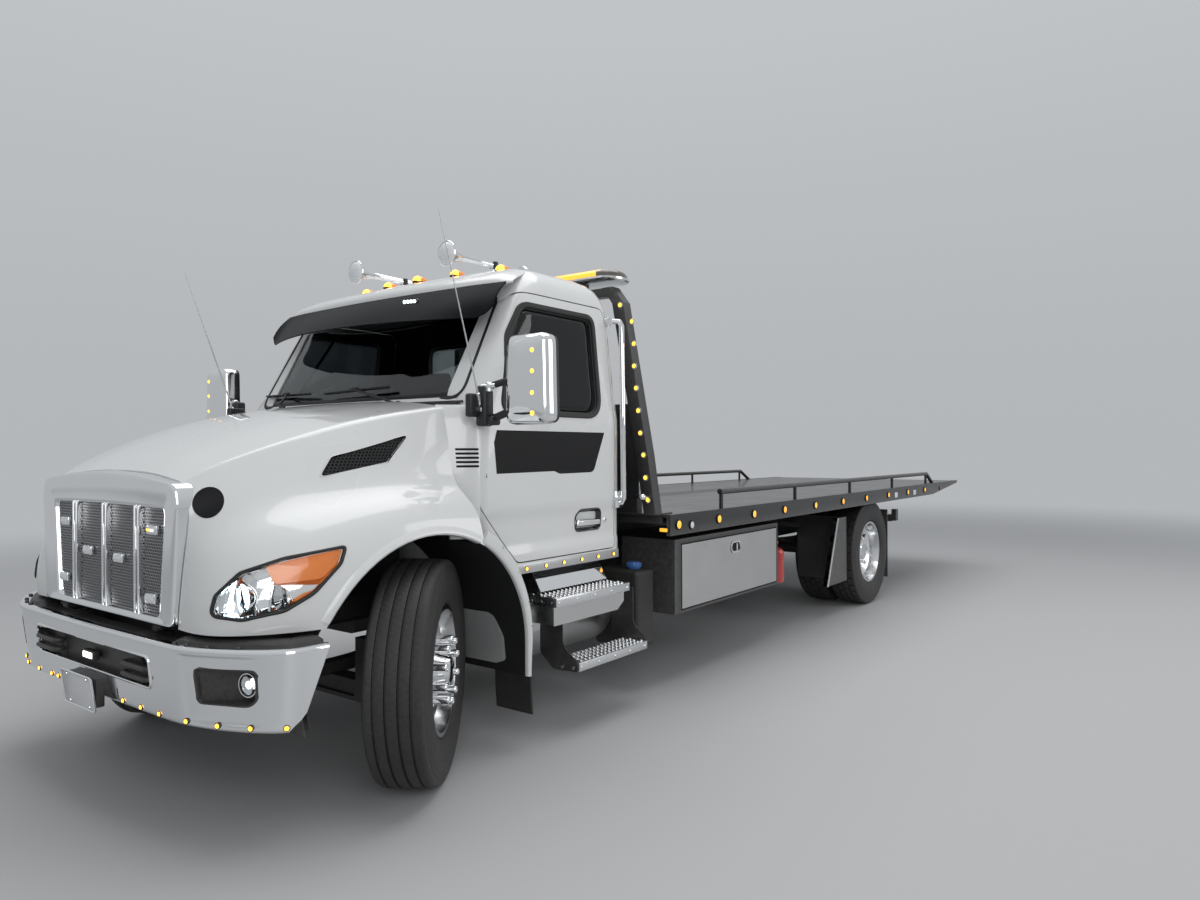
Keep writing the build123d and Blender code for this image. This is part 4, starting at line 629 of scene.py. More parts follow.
# %% Give the CAD parts their finishes
PARTS_BY_FINISH = {
    "white paint": ["cab_shell", "hood", "door_left", "door_right", "cowl_skirts"],
    "black steel": ["tilt_frame", "bed", "side_rails", "headboard", "winch", "underlift_boom",
                    "underlift_stinger", "underlift_crossbar", "toolboxes", "rear_guards"],
    "red paint": ["fire_extinguisher"],
    "chassis black": ["frame_rails", "front_axle", "rear_axle", "driveshaft", "knuckle_left", "knuckle_right",
                      "lift_barrels", "side_tanks"],
    "cast metal": ["engine", "radiator", "exhaust"],
    "chrome": ["front_bumper", "grille", "mirrors", "air_horns", "grab_handles", "lift_rods", "slide_rod"],
    "brushed steel": ["toolbox_door_left", "toolbox_door_right", "fuel_tank"],
    "bright sheet": ["cab_steps"],
    "polished alloy": ["front_rim_left", "front_rim_right", "rear_rims_left", "rear_rims_right"],
    "tyre rubber": ["front_tyre_left", "front_tyre_right", "rear_tyres_left", "rear_tyres_right"],
    "window glass": ["cab_glass"],
    "dark glass": ["door_glass_left", "door_glass_right"],
    "clear lens": ["headlamps"],
    "gloss black": ["sun_visor"],
    "black plastic": ["dashboard", "antennas", "tail_lamps"],
    "seat cloth": ["seats"],
    "amber lens": ["roof_lamps", "light_bar"],
    "wire rope": ["winch_drum"],
}
for look, nodes in PARTS_BY_FINISH.items():
    for name in nodes:
        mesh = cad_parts[name].data
        mesh.materials.clear()
        mesh.materials.append(finishes[look])
print("CAD parts finished:", sum(len(nodes) for nodes in PARTS_BY_FINISH.values()))

# %% [markdown]
# ## The hood
# The hood is one big moulding: a crowned top, a crease that runs from the grille to the windshield, a flank
# that dips, and a fender that swells over the wheel. A lofted solid can't hold all of that, so its skin is a
# cage of nine lines along the truck, met by seven stations, which a subdivision surface turns into one
# flowing sheet.

# %% The hood's lines
HOOD_LINES = {
    # line: (x, y, z) at seven stations from the grille back to the cab
    "hem": [(0.628, -0.842, 0.815), (0.795, -0.855, 0.815), (0.940, -0.790, 0.815), (1.075, -0.605, 0.815),
            (1.150, -0.330, 0.815), (1.180, 0.000, 0.815), (1.185, 0.352, 0.815)],
    "low": [(0.634, -0.842, 0.880), (0.800, -0.860, 0.880), (0.950, -0.800, 0.880), (1.085, -0.610, 0.890),
            (1.155, -0.330, 0.920), (1.183, 0.000, 0.920), (1.187, 0.352, 0.920)],
    "lamp": [(0.643, -0.836, 0.990), (0.800, -0.850, 0.985), (0.945, -0.790, 0.990), (1.075, -0.600, 1.010),
             (1.150, -0.320, 1.060), (1.180, 0.000, 1.080), (1.185, 0.352, 1.060)],
    "shoulder": [(0.652, -0.830, 1.090), (0.790, -0.825, 1.085), (0.920, -0.755, 1.105),
                 (1.040, -0.560, 1.165), (1.115, -0.280, 1.225), (1.150, 0.020, 1.250),
                 (1.155, 0.350, 1.220)],
    "crest": [(0.657, -0.824, 1.150), (0.760, -0.800, 1.155), (0.870, -0.720, 1.200), (0.970, -0.520, 1.262),
              (1.045, -0.240, 1.315), (1.080, 0.030, 1.335), (1.088, 0.325, 1.315)],
    "valley": [(0.663, -0.818, 1.220), (0.725, -0.760, 1.245), (0.800, -0.650, 1.285), (0.880, -0.460, 1.320),
               (0.955, -0.200, 1.355), (0.990, 0.050, 1.375), (1.010, 0.300, 1.385)],
    "flank": [(0.668, -0.812, 1.330), (0.695, -0.735, 1.370), (0.750, -0.610, 1.415), (0.822, -0.440, 1.465),
              (0.908, -0.190, 1.530), (0.958, 0.050, 1.565), (0.986, 0.298, 1.594)],
    "crease": [(0.595, -0.815, 1.415), (0.640, -0.735, 1.462), (0.685, -0.615, 1.515), (0.750, -0.450, 1.580),
               (0.832, -0.200, 1.662), (0.893, 0.050, 1.716), (0.942, 0.302, 1.756)],
    "brow": [(0.330, -0.800, 1.448), (0.355, -0.730, 1.495), (0.385, -0.610, 1.552), (0.430, -0.445, 1.620),
             (0.490, -0.200, 1.704), (0.540, 0.080, 1.762), (0.575, 0.345, 1.797)],
}
CROWN = [(0.0, -0.795, 1.458), (0.0, -0.728, 1.503), (0.0, -0.608, 1.562), (0.0, -0.443, 1.632),
         (0.0, -0.2, 1.716), (0.0, 0.08, 1.772), (0.0, 0.352, 1.807)]
HOOD_SKIN = 0.012
HOOD_LEVELS = 4
ARCH_CENTRE = (0.060, 0.555)
ARCH_R = 0.600
CREASES = {"crease": 0.55, "brow": 0.25}


def hood_cage():
    """The hood's control cage, from one hem over the crown to the other."""
    rows = [HOOD_LINES[name] for name in HOOD_LINES]
    across = rows + [CROWN] + [[(-x, y, z) for x, y, z in row] for row in reversed(rows)]
    bm = bmesh.new()
    grid = [[bm.verts.new(at(*p)) for p in row] for row in across]
    for a, b in zip(grid, grid[1:]):
        for k in range(len(a) - 1):
            bm.faces.new((a[k], a[k + 1], b[k + 1], b[k]))
    layer = bm.edges.layers.float.new("crease_edge")
    names = list(HOOD_LINES)
    for name, weight in CREASES.items():
        for index in (names.index(name), len(across) - 1 - names.index(name)):
            for k in range(len(CROWN) - 1):
                bm.edges.get((grid[index][k], grid[index][k + 1]))[layer] = weight
    return bm


hood = piece("hood_shell", hood_cage(), "hood", "white_paint", "white paint")
smoother = hood.modifiers.new("smooth", "SUBSURF")
smoother.levels = HOOD_LEVELS
smoother.boundary_smooth = "PRESERVE_CORNERS"
applied(hood)
hood_tree = surface(hood)
print("hood skin:", len(hood.data.polygons), "faces")

# %% [markdown]
# Whatever sits on the hood finds its surface by a ray, so trims and lamps follow the skin wherever it bends.
# `on_hood` shoots from outside along a given direction, in the truck's own coordinates.

# %% Find the hood's surface
LOOK_IN = Vector((-1, 0, 0))
HOOD_BACK_OFF = 0.5


def on_hood(x, y, z, direction=LOOK_IN, offset=0.0):
    """Where a ray from a place meets the hood's skin, lifted off it by offset."""
    return met(hood_tree, at(x, y, z), Vector(direction).normalized(), HOOD_BACK_OFF, offset)


print("nose of the hood at", [round(v, 3) for v in on_hood(0.9, -1.2, 1.0, (0, 1, 0))])

# %% [markdown]
# The openings are cut from the skin after it has its wall: the two wheel arches, the places of the headlamps,
# and the side vents. A headlamp wraps from the front round to the side, so its outline is drawn in a plane
# that faces the corner, and the cutter is that outline pushed along the corner's own direction. Inside, the
# hood is a near-black, painted shade for the dark under its skin.

# %% Wheel arches and headlamp openings
CORNER = Vector((-0.72, 0.69, 0.0)).normalized()
CORNER_ACROSS = Vector((0.69, 0.72, 0.0)).normalized()
LAMP_MIDDLE = Vector((1.02, -0.72, 0.99))
LAMP_CORNERS = [(-0.195, -0.095), (-0.175, -0.018), (-0.085, 0.068), (0.075, 0.118), (0.300, 0.150),
                (0.285, 0.085), (0.190, -0.025), (0.085, -0.085), (-0.070, -0.112)]
LAMP_RADII = [0.03, 0.04, 0.06, 0.2, 0.012, 0.05, 0.12, 0.10, 0.1]


def lamp_outline(grow=0.0):
    """The headlamp's outline as truck points in the plane that faces the corner."""
    middle = sum((Vector(p) for p in LAMP_CORNERS), Vector((0, 0))) / len(LAMP_CORNERS)
    points = []
    for p in rounded([(*c, 0) for c in LAMP_CORNERS], LAMP_RADII, 5):
        away = Vector((p.x - middle.x, p.y - middle.y))
        away = away * (1 + grow / away.length)
        points.append(LAMP_MIDDLE + CORNER_ACROSS * (middle.x + away.x) + Vector((0, 0, middle.y + away.y)))
    return points


VENT = [(-0.351, 1.423), (-0.284, 1.509), (0.085, 1.612), (-0.041, 1.486)]
VENT_RADII = [0.010, 0.030, 0.010, 0.020]


def side_outline(corners, radii, grow=0.0, steps=5):
    """A rounded outline of (station, z) corners, grown outwards."""
    middle = sum((Vector((0, y, z)) for y, z in corners), Vector()) / len(corners)
    line = rounded([(0, y, z) for y, z in corners], radii, steps)
    return [p + (p - middle) * (grow / (p - middle).length) for p in line]


# The hood's inside takes the near-black of painted shade, for the dark under the skin.
hood.data.materials.append(finishes["painted shade black"])
walled(hood, HOOD_SKIN, material_offset=1)
cutters = bmesh.new()
lathe(cutters, [(0.68, ARCH_R), (1.4, ARCH_R)], at(0, *ARCH_CENTRE), (1, 0, 0), 96)
shape = [at(*p) - CORNER * 0.45 for p in lamp_outline()]
prism(cutters, shape, CORNER * 0.75)
prism(cutters, [at(0.80, p.y, p.z) for p in side_outline(VENT, VENT_RADII)], (0.4, 0, 0))
mirror_all(cutters)
cut_away(hood, cutters)
crisp(hood, 30)
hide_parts("hood")
print("hood after cuts:", len(hood.data.polygons), "faces")

# %% [markdown]
# ## The bumper
# The bumper wraps round the nose, and its top edge stands ahead of its lower edge. Two curves in plan give
# those edges, and every point of the face lies between them, so lamps and trims can ask for their place on
# it.

# %% The bumper's plan
BUMPER_TOP = 0.783
BUMPER_LOW = 0.462
TOP_PLAN = [(0, -0.950), (0.27, -0.945), (0.53, -0.938), (0.78, -0.925), (0.93, -0.875), (1.07, -0.800),
            (1.155, -0.735), (1.205, -0.660), (1.215, -0.500)]
LOW_PLAN = [(0, -0.905), (0.27, -0.905), (0.53, -0.903), (0.70, -0.897), (0.84, -0.872), (0.99, -0.820),
            (1.11, -0.757), (1.18, -0.685), (1.19, -0.560)]
END_LINE = [(0.440, -0.700), (0.470, -0.692), (0.486, -0.678), (0.518, -0.634), (0.566, -0.616),
            (0.639, -0.587), (0.783, -0.535), (0.800, -0.530)]
BROW_X = 0.785
BROW_Z = 0.752


def curve_through(points, count):
    """Points at even steps of length along a smooth curve through the given ones."""
    points = [Vector(p) for p in points]
    ends = [points[0] * 2 - points[1], *points, points[-1] * 2 - points[-2]]
    dense = []
    for k in range(1, len(ends) - 2):
        a, b, c, d = ends[k - 1:k + 3]
        for j in range(24):
            t = j / 24
            dense.append(0.5 * (2 * b + (c - a) * t + (2 * a - 5 * b + 4 * c - d) * t ** 2
                                + (3 * b - a - 3 * c + d) * t ** 3))
    dense.append(points[-1])
    return even_steps(dense, count)


def even_steps(dense, count):
    """The same line cut into even steps."""
    lengths = [0.0]
    for a, b in zip(dense, dense[1:]):
        lengths.append(lengths[-1] + (b - a).length)
    out = []
    k = 0
    for j in range(count):
        want = lengths[-1] * j / (count - 1)
        while k < len(dense) - 2 and lengths[k + 1] < want:
            k += 1
        share = (want - lengths[k]) / max(1e-9, lengths[k + 1] - lengths[k])
        out.append(dense[k].lerp(dense[k + 1], share))
    return out


def between(table, value):
    """Reads a table of (value, result) pairs by straight lines."""
    for (a, x), (b, y) in zip(table, table[1:]):
        if value <= b:
            return x + (y - x) * max(0.0, (value - a) / (b - a))
    return table[-1][1]


def smooth_step(a, b, value):
    """0 before a, 1 after b, and a soft change between."""
    t = min(1.0, max(0.0, (value - a) / (b - a)))
    return t * t * (3 - 2 * t)


def bumper_row(z, count):
    """Half of the bumper's face at a height: points out to its end, with the outward directions."""
    rise = (z - BUMPER_LOW) / (BUMPER_TOP - BUMPER_LOW)
    plan = [Vector((*low, 0)).lerp(Vector((*top, 0)), rise) for low, top in zip(LOW_PLAN, TOP_PLAN)]
    line = curve_through(both_ways(plan), 1200)
    end = between(END_LINE, z)
    half = [p for p in line[600:] if p.y < end or p.x < 1.0]
    half = even_steps([Vector((0, line[600].y, 0)), *half], count)
    out = []
    for k, p in enumerate(half):
        run = half[min(k + 1, count - 1)] - half[max(k - 1, 0)]
        away = Vector((run.y, -run.x, 0)).normalized() if k else Vector((0, -1, 0))
        out.append((p, away))
    return out


def on_bumper(x, z, offset=0.0):
    """A place on the bumper's face in truck coordinates, and the outward direction there."""
    row = bumper_row(z, 200)
    p, away = min(row, key=lambda item: abs(item[0].x - abs(x)))
    if x < 0:
        p, away = Vector((-p.x, p.y, 0)), Vector((-away.x, away.y, 0))
    return Vector((p.x, p.y, z)) + away * offset, away


print("bumper's middle at", [round(v, 3) for v in on_bumper(0, 0.65)[0]])

# %% [markdown]
# The face is a grid of those rows. Rolled edges turn inwards at the top and bottom, and a shallow step under
# the brow gives the corners their pressed panel.

# %% Bumper face
BUMPER_COLUMNS = 130
BUMPER_EDGE = [(0.046, -0.004), (0.020, 0.0), (0.008, -0.002), (0.002, -0.009)]
PANEL_DEPTH = 0.007
BUMPER_WALL = 0.006
face_rows = [(inset, BUMPER_TOP + drop) for inset, drop in BUMPER_EDGE]
levels = [0.764, 0.757, 0.752, 0.748, 0.742, 0.730, 0.700, 0.665, 0.630, 0.595, 0.560, 0.530, 0.505, 0.490,
          0.478]
face_rows += [(0.0, z) for z in levels]
face_rows += [(inset, BUMPER_LOW - drop) for inset, drop in reversed(BUMPER_EDGE)]
bumper_bm = bmesh.new()
grid = []
for inset, z in face_rows:
    points = []
    for p, away in bumper_row(min(BUMPER_TOP, max(BUMPER_LOW, z)), BUMPER_COLUMNS):
        sunk = smooth_step(BROW_X - 0.012, BROW_X + 0.008, p.x)
        sunk *= smooth_step(BROW_Z + 0.006, BROW_Z - 0.006, z)
        sunk *= smooth_step(1.18, 1.02, p.x) * smooth_step(0.47, 0.50, z)
        points.append(at(p.x, p.y, z) - away * (inset + sunk * PANEL_DEPTH))
    grid.append(both_ways(points))
bridge(bumper_bm, grid, closed=False)
bumper = piece("bumper_shell", bumper_bm, "chassis", "chrome", "chrome", "painted shade black")
walled(bumper, BUMPER_WALL)
print("bumper face:", len(bumper.data.polygons), "faces")

# %% [markdown]
# The slot and the two fog lamp pockets are cut from it. A pocket's outline lies on the face, and its floor
# slopes in from its inner end to the lamp.

# %% Openings in the bumper
SLOT = [(-0.560, 0.580), (0.560, 0.580), (0.560, 0.710), (-0.560, 0.710)]
FOG = [(0.850, 0.565), (1.090, 0.565), (1.090, 0.702), (0.850, 0.702)]
FOG_RADII = [0.028, 0.055, 0.028, 0.028]


def face_outline(corners, radii, offset, side=1, grow=0.0):
    """A rounded outline of (x, z) corners laid on the bumper's face."""
    middle = sum((Vector((x, 0, z)) for x, z in corners), Vector()) / len(corners)
    out = []
    for p in rounded([(x, 0, z) for x, z in corners], radii, 6):
        away = p - middle
        p = middle + away * (1 + grow / away.length)
        spot, _ = on_bumper(p.x, p.z, offset)
        out.append(at(side * spot.x, spot.y, spot.z))
    return out


cutters = bmesh.new()
prism(cutters, [at(p.x, -1.05, p.z) for p in rounded([(x, 0, z) for x, z in SLOT], 0.030)], (0, 0.25, 0))
FOG_WAY = Vector((-0.47, 0.88, 0))
for side in (1, -1):
    way = Vector((side * FOG_WAY.x, FOG_WAY.y, 0))
    prism(cutters, [p - way * 0.1 for p in face_outline(FOG, FOG_RADII, 0.0, side)], way * 0.25)
cut_away(bumper, cutters)
crisp(bumper, 38)
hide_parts("front_bumper")
print("bumper after cuts:", len(bumper.data.polygons), "faces")

# %% Slot, pockets and fog lamps
trim_bm = bmesh.new()
lip = [at(p.x, on_bumper(p.x, p.z)[0].y, p.z) for p in rounded([(x, 0, z) for x, z in SLOT], 0.030)]
tube(trim_bm, lip, 0.0065, 8, closed=True)
piece("slot_lip", trim_bm, "chassis", "chrome", "chrome")
dark_bm = bmesh.new()
block(dark_bm, at(-0.64, -0.885, 0.50), at(0.64, -0.855, 0.770), 0.01)
block(dark_bm, at(-0.56, -0.925, 0.712), at(0.56, -0.86, 0.725), 0.004)
block(dark_bm, at(-0.56, -0.905, 0.562), at(0.56, -0.86, 0.577), 0.004)
for x in (-0.382, 0.382):
    block(dark_bm, at(x - 0.05, -0.90, 0.50), at(x + 0.05, -0.76, 0.775), 0.01)
TOW_LOOP = [(0.335, -0.90, 0.615), (0.335, -0.945, 0.615), (0.545, -0.945, 0.615), (0.545, -0.90, 0.615)]
for side in (1, -1):
    loop = [at(side * x, y, z) for x, y, z in rounded(TOW_LOOP, 0.03)[1:-1]]
    for rise in (0.0, 0.042):
        tube(dark_bm, [p + Vector((0, 0.012, rise)) for p in loop], 0.011, 10)
    block(dark_bm, at(side * 0.44 - 0.10, -0.915, 0.610), at(side * 0.44 + 0.10, -0.890, 0.662), 0.008)
piece("slot_inside", dark_bm, "chassis", "black_plastic", "black plastic")
lamp_bm = bmesh.new()
block(lamp_bm, at(-0.062, -0.925, 0.616), at(0.042, -0.895, 0.658), 0.006)
block(lamp_bm, at(-0.054, -0.929, 0.624), at(0.034, -0.922, 0.650), 0.003, slot=1)
piece("slot_lamp", lamp_bm, "chassis", "chrome", "black plastic", "white light")


def fog_pocket(bm):
    """A pocket's rim and sloping floor, and the fog lamp at its outer end."""
    flange = [face_outline(FOG, FOG_RADII, offset, grow=grow) for offset, grow in
              ((-0.012, 0.004), (-0.0015, 0.005), (-0.0015, -0.004), (-0.010, -0.007))]
    floor = []
    for p in face_outline(FOG, FOG_RADII, 0.0, grow=-0.012):
        share = (p.x - FOG[0][0]) / (FOG[1][0] - FOG[0][0])
        floor.append(p + FOG_WAY * (0.016 + 0.050 * smooth_step(0.1, 0.75, share)))
    rows = bridge(bm, flange + [floor])
    cap(bm, rows[-1])
    spot, _ = on_bumper(1.046, 0.640, -0.045)
    centre = at(*spot)
    facing = Vector((0.22, -0.97, 0))
    lathe(bm, [(-0.03, 0.050), (0.012, 0.050), (0.016, 0.047), (0.016, 0.043), (0.006, 0.041)], centre,
          facing, 32, 1)
    lathe(bm, [(0.004, 0.040), (0.004, 0.020), (0.007, 0.012)], centre, facing, 32, 3)
    lathe(bm, [(0.007, 0.0405), (0.014, 0.030), (0.017, 0.012), (0.018, 0.001)], centre, facing, 32, 2)


sides(fog_pocket, "fog_pocket", "chassis", "black_plastic", "black plastic", "chrome", "clear lens",
      "white light")
print("slot and pockets done")

# %% [markdown]
# A row of small amber lights follows the lower edge, and a blank plate hangs from a bracket beside the
# middle. The valance closes the gap behind the bumper's top. It stays low under the grille, which swings down
# when the hood tips forward.

# %% Lower lights, plate and valance
LOWER_LIGHTS = [0.295, 0.452, 0.603, 0.780, 0.930, 1.063, 1.172, -0.254, -0.371, -0.443, -0.603, -0.780,
                -0.930, -1.063, -1.172]
lights_bm = bmesh.new()
for x in LOWER_LIGHTS:
    spot, away = on_bumper(x, 0.484, 0.0)
    centre = at(*spot)
    lathe(lights_bm, [(-0.004, 0.013), (0.002, 0.013), (0.003, 0.010)], centre, away, 14, 1)
    lathe(lights_bm, [(0.002, 0.010), (0.006, 0.007), (0.0075, 0.002)], centre, away, 14, 0)
piece("lower_lights", lights_bm, "chassis", "amber_lens", "amber light", "black plastic")
PLATE = [(-0.180, 0.410), (0.125, 0.410), (0.125, 0.562), (-0.180, 0.562)]


def on_plate(x, y, z):
    """A place on the plate, which leans forwards; y is its station at the lower edge."""
    return at(x, y - 0.02 * (z - 0.41) / 0.15, z)


plate_bm = bmesh.new()
prism(plate_bm, rounded([on_plate(x, -0.946, z) for x, z in PLATE], 0.012), (0, 0.003, 0), 0, 0.001)
tube(plate_bm, rounded([on_plate(x, -0.949, z) for x, z in PLATE], 0.012), 0.004, 6, 1, closed=True)
for x in (-0.125, 0.070):
    for z in (0.425, 0.547):
        spot = on_plate(x, -0.948, z)
        lathe(plate_bm, [(0, 0.007), (0.003, 0.006), (0.004, 0.002)], spot, (0, -1, 0), 10, 1)
block(plate_bm, at(-0.17, -0.942, 0.425), at(0.115, -0.905, 0.55), 0.006, 2)
piece("plate", plate_bm, "chassis", "aluminium", "blank plate", "chrome", "black plastic")
VALANCE_LOW = 0.768
VALANCE_RAMP = (0.655, 0.705)
valance_bm = bmesh.new()
rows = []
for inset, z in ((0.040, 0.768), (0.052, 0.792), (0.085, 0.800), (0.140, 0.800)):
    half = []
    for p, away in bumper_row(0.78, 60):
        rise = smooth_step(*VALANCE_RAMP, p.x)
        half.append(at(p.x, p.y, VALANCE_LOW + (z - VALANCE_LOW) * rise) - away * inset)
    rows.append(both_ways(half))
bridge(valance_bm, rows, closed=False)
for x in (0.72, 0.80, 0.90, 1.02):
    for side in (1, -1):
        spot, away = on_bumper(side * x, 0.783, -0.030)
        lathe(valance_bm, [(-0.01, 0.010), (0.004, 0.010), (0.007, 0.006)], at(*spot), (0, 0, 1), 6)
piece("valance", valance_bm, "chassis", "black_plastic", "black plastic")
print("lower lights:", len(LOWER_LIGHTS))

# %% [markdown]
# ## The grille
# A thick bright shell stands round a screen of punched steel. Rings of points go from the shell's outer edge
# over its rounded face to the screen, and each ring is one outline moved between the outer and the inner
# shape.

# %% Grille shell
OUTER = [(-0.622, 0.820), (0.622, 0.820), (0.664, 1.330), (0.640, 1.405), (0.330, 1.440), (0.0, 1.452),
         (-0.330, 1.440), (-0.640, 1.405), (-0.664, 1.330)]
OUTER_RADII = [0.03, 0.03, 0.15, 0.05, 0.5, 0.5, 0.5, 0.05, 0.15]
INNER = [(-0.500, 0.850), (0.500, 0.850), (0.544, 1.270), (0.538, 1.300), (0.330, 1.302), (0.0, 1.304),
         (-0.330, 1.302), (-0.538, 1.300), (-0.544, 1.270)]
INNER_RADII = [0.035, 0.035, 0.02, 0.03, 0.3, 0.3, 0.3, 0.03, 0.02]
SHELL_RINGS = [
    # share of the way to the inner outline, station, growth
    (0.0, -0.790, 0.0), (0.0, -0.852, 0.0), (0.0, -0.862, -0.003), (0.0, -0.868, -0.010), (0.25, -0.869, 0.0),
    (0.60, -0.863, 0.0), (0.88, -0.858, 0.0), (0.96, -0.858, 0.0), (1.0, -0.853, 0.0), (1.0, -0.832, -0.004),
]
outer_line = rounded([(x, 0, z) for x, z in OUTER], OUTER_RADII, 6)
inner_line = rounded([(x, 0, z) for x, z in INNER], INNER_RADII, 6)
shell_middle = Vector((0, 0, 1.12))
shell_bm = bmesh.new()
rings = []
for share, y, grow in SHELL_RINGS:
    ring = []
    for a, b in zip(outer_line, inner_line):
        p = a.lerp(b, share)
        away = (p - shell_middle).normalized()
        ring.append(at(p.x + away.x * grow, y, p.z + away.z * grow))
    rings.append(ring)
bridge(shell_bm, rings)
shell = piece("grille_shell", shell_bm, "hood", "chrome", "chrome", angle=50)
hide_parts("grille")
print("shell rings:", len(SHELL_RINGS), "with", len(outer_line), "points each")

# %% [markdown]
# The screen is punched steel: staggered hexagonal holes, each cell a ring of faces round its hole with a
# short wall behind it. Cells outside the shell's opening are left away.

# %% Punched screen
CELL = 0.0150
HOLE = 0.78
HEXAGON = [radians(60 * k + 30) for k in range(6)]
SCREEN_Y = -0.838
SCREEN_BACK = -0.834


def opening_half(z):
    """Half the opening's width at a height."""
    return 0.500 + (0.548 - 0.500) * (z - 0.850) / 0.450


def punched(bm, left, right, low, high):
    """Hexagonal cells with holes between two widths given as functions of height."""
    row_step = CELL * 1.5 / sqrt(3)
    rows = int((high - low) / row_step)
    for row in range(rows + 1):
        z = low + row * row_step
        shift = CELL / 2 if row % 2 else 0.0
        count = int((right(z) - left(z)) / CELL) + 1
        for column in range(count):
            x = left(z) + CELL / 2 + column * CELL - shift
            if x > right(z):
                continue
            rings = []
            for r, y in ((CELL / sqrt(3), SCREEN_Y), (CELL * HOLE / 2, SCREEN_Y),
                         (CELL * HOLE / 2, SCREEN_BACK)):
                rings.append([at(x + cos(t) * r, y, z + sin(t) * r) for t in HEXAGON])
            bridge(bm, rings)


screen_bm = bmesh.new()
punched(screen_bm, lambda z: -opening_half(z) - 0.004, lambda z: opening_half(z) + 0.004, 0.846, 1.306)
piece("grille_screen", screen_bm, "hood", "aluminium", "screen steel")
# A near-black block just behind the screen is painted shade: it stands in for the dark behind the grille.
grille_shade_bm = bmesh.new()
block(grille_shade_bm, at(-0.57, -0.820, 0.83), at(0.57, -0.812, 1.33), 0.0)
piece("grille_back_shade", grille_shade_bm, "hood", "black_plastic", "painted shade black")
print("screen in place")

# %% Bars and small lamps on the grille
BAR_X = (-0.308, 0.0, 0.308)
bars_bm = bmesh.new()
for x in BAR_X:
    for edge_x in (x - 0.016, x + 0.016):
        block(bars_bm, at(edge_x - 0.006, -0.864, 0.846), at(edge_x + 0.006, -0.836, 1.306), 0.003)
    block(bars_bm, at(x - 0.015, -0.850, 0.846), at(x + 0.015, -0.838, 1.306), 0.001)
piece("grille_bars", bars_bm, "hood", "chrome", "chrome")
STROBES = [(-0.437, 1.205, 2), (-0.452, 0.938, 2), (-0.192, 1.081, 2), (0.118, 1.068, 2), (0.430, 1.208, 3),
           (0.412, 0.920, 2)]
strobes_bm = bmesh.new()
for x, z, lens in STROBES:
    block(strobes_bm, at(x - 0.042, -0.856, z - 0.021), at(x + 0.042, -0.838, z + 0.021), 0.006, 0)
    block(strobes_bm, at(x - 0.035, -0.861, z - 0.014), at(x + 0.035, -0.853, z + 0.014), 0.005, 1)
    for k in range(4):
        led_x = x - 0.024 + 0.016 * k
        look = lens if lens == 2 or k < 2 else 4
        lathe(strobes_bm, [(0, 0.0055), (0.002, 0.005), (0.003, 0.002)], at(led_x, -0.8605, z), (0, -1, 0),
              10, look)
piece("grille_lamps", strobes_bm, "hood", "chrome", "chrome", "frosted lens", "frosted lens", "amber light",
      "white light")
print("grille done")

# %% [markdown]
# ## Headlamps
# A headlamp has four layers from outside in: a black gasket along the outline, a clear cover that follows the
# hood's skin, the reflectors with their lights, and a bright bowl. All are placed by rays along the corner's
# direction.

# %% Headlamps
AMBER_SHARE = [(0.000, 0.100), (0.288, 0.140), (0.272, 0.090), (0.218, 0.030), (0.045, 0.022)]


def in_lamp(u, v, offset=0.0):
    """A place on the hood's skin given in the lamp's own plane, u along the corner and v upwards."""
    p = LAMP_MIDDLE + CORNER_ACROSS * u + Vector((0, 0, v))
    return on_hood(*p, CORNER, offset)


def lamp_patch(bm, corners, radii, offset, rings, slot, wall=0.0):
    """A patch parallel to the skin inside an outline in the lamp's plane, with a wall round it if asked."""
    line = [(p.x, p.y) for p in rounded([(*c, 0) for c in corners], radii, 5)]
    middle = Vector((sum(u for u, _ in line), sum(v for _, v in line))) / len(line)
    rows = []
    if wall:
        rows.append([in_lamp(u, v, offset) + CORNER * wall for u, v in line])
    for k in range(rings + 1):
        share = max(0.004, 1 - k / rings)
        spread = [middle + (Vector(c) - middle) * share for c in line]
        rows.append([in_lamp(*c, offset) for c in spread])
    made = bridge(bm, rows, slot=slot)
    cap(bm, made[-1], slot)


def headlamp(bm):
    """The left headlamp."""
    rim = [on_hood(*p, CORNER, 0.001) for p in lamp_outline()]
    tube(bm, rim, 0.0075, 8, 0, closed=True)
    bright = [on_hood(*p, CORNER, -0.004) for p in lamp_outline(-0.011)]
    tube(bm, bright, 0.0035, 6, 1, closed=True)
    deep = []
    for share, sink in ((1.0, -0.002), (0.985, 0.022), (0.93, 0.045), (0.70, 0.060), (0.35, 0.066),
                        (0.01, 0.066)):
        ring = [LAMP_MIDDLE + (p - LAMP_MIDDLE) * share for p in lamp_outline(-0.006)]
        deep.append([on_hood(*p, CORNER, 0.0) + CORNER * sink for p in ring])
    made = bridge(bm, deep, slot=1)
    cap(bm, made[-1], 1)
    lamp_patch(bm, AMBER_SHARE, [0.02, 0.01, 0.03, 0.05, 0.03], -0.012, 5, 2, wall=0.008)
    for (u, v), radius, facing in (((-0.045, -0.025), 0.056, (-0.12, -1, 0)),
                                   ((0.090, -0.030), 0.050, (0.18, -1, 0))):
        centre = in_lamp(u, v, -0.052)
        lathe(bm, [(0.034, radius), (0.030, radius - 0.004), (0.008, radius * 0.72), (-0.006, radius * 0.4),
                   (-0.010, 0.012)], centre, facing, 32, 1)
        lathe(bm, [(-0.008, 0.013), (0.014, 0.013), (0.020, 0.008)], centre, facing, 20, 3)
    for u0, u1, v0, v1 in ((-0.170, -0.148, -0.080, -0.005), (0.022, 0.032, -0.095, 0.020)):
        corners = [(u0, v0), (u1, v0), (u1 + 0.012, v1), (u0 + 0.012, v1)]
        lamp_patch(bm, corners, 0.004, -0.016, 3, 1, wall=0.035)
    strip = [(-0.140, -0.082), (-0.128, -0.082), (-0.100, 0.040), (-0.112, 0.036)]
    lamp_patch(bm, strip, 0.003, -0.020, 3, 4, wall=0.02)


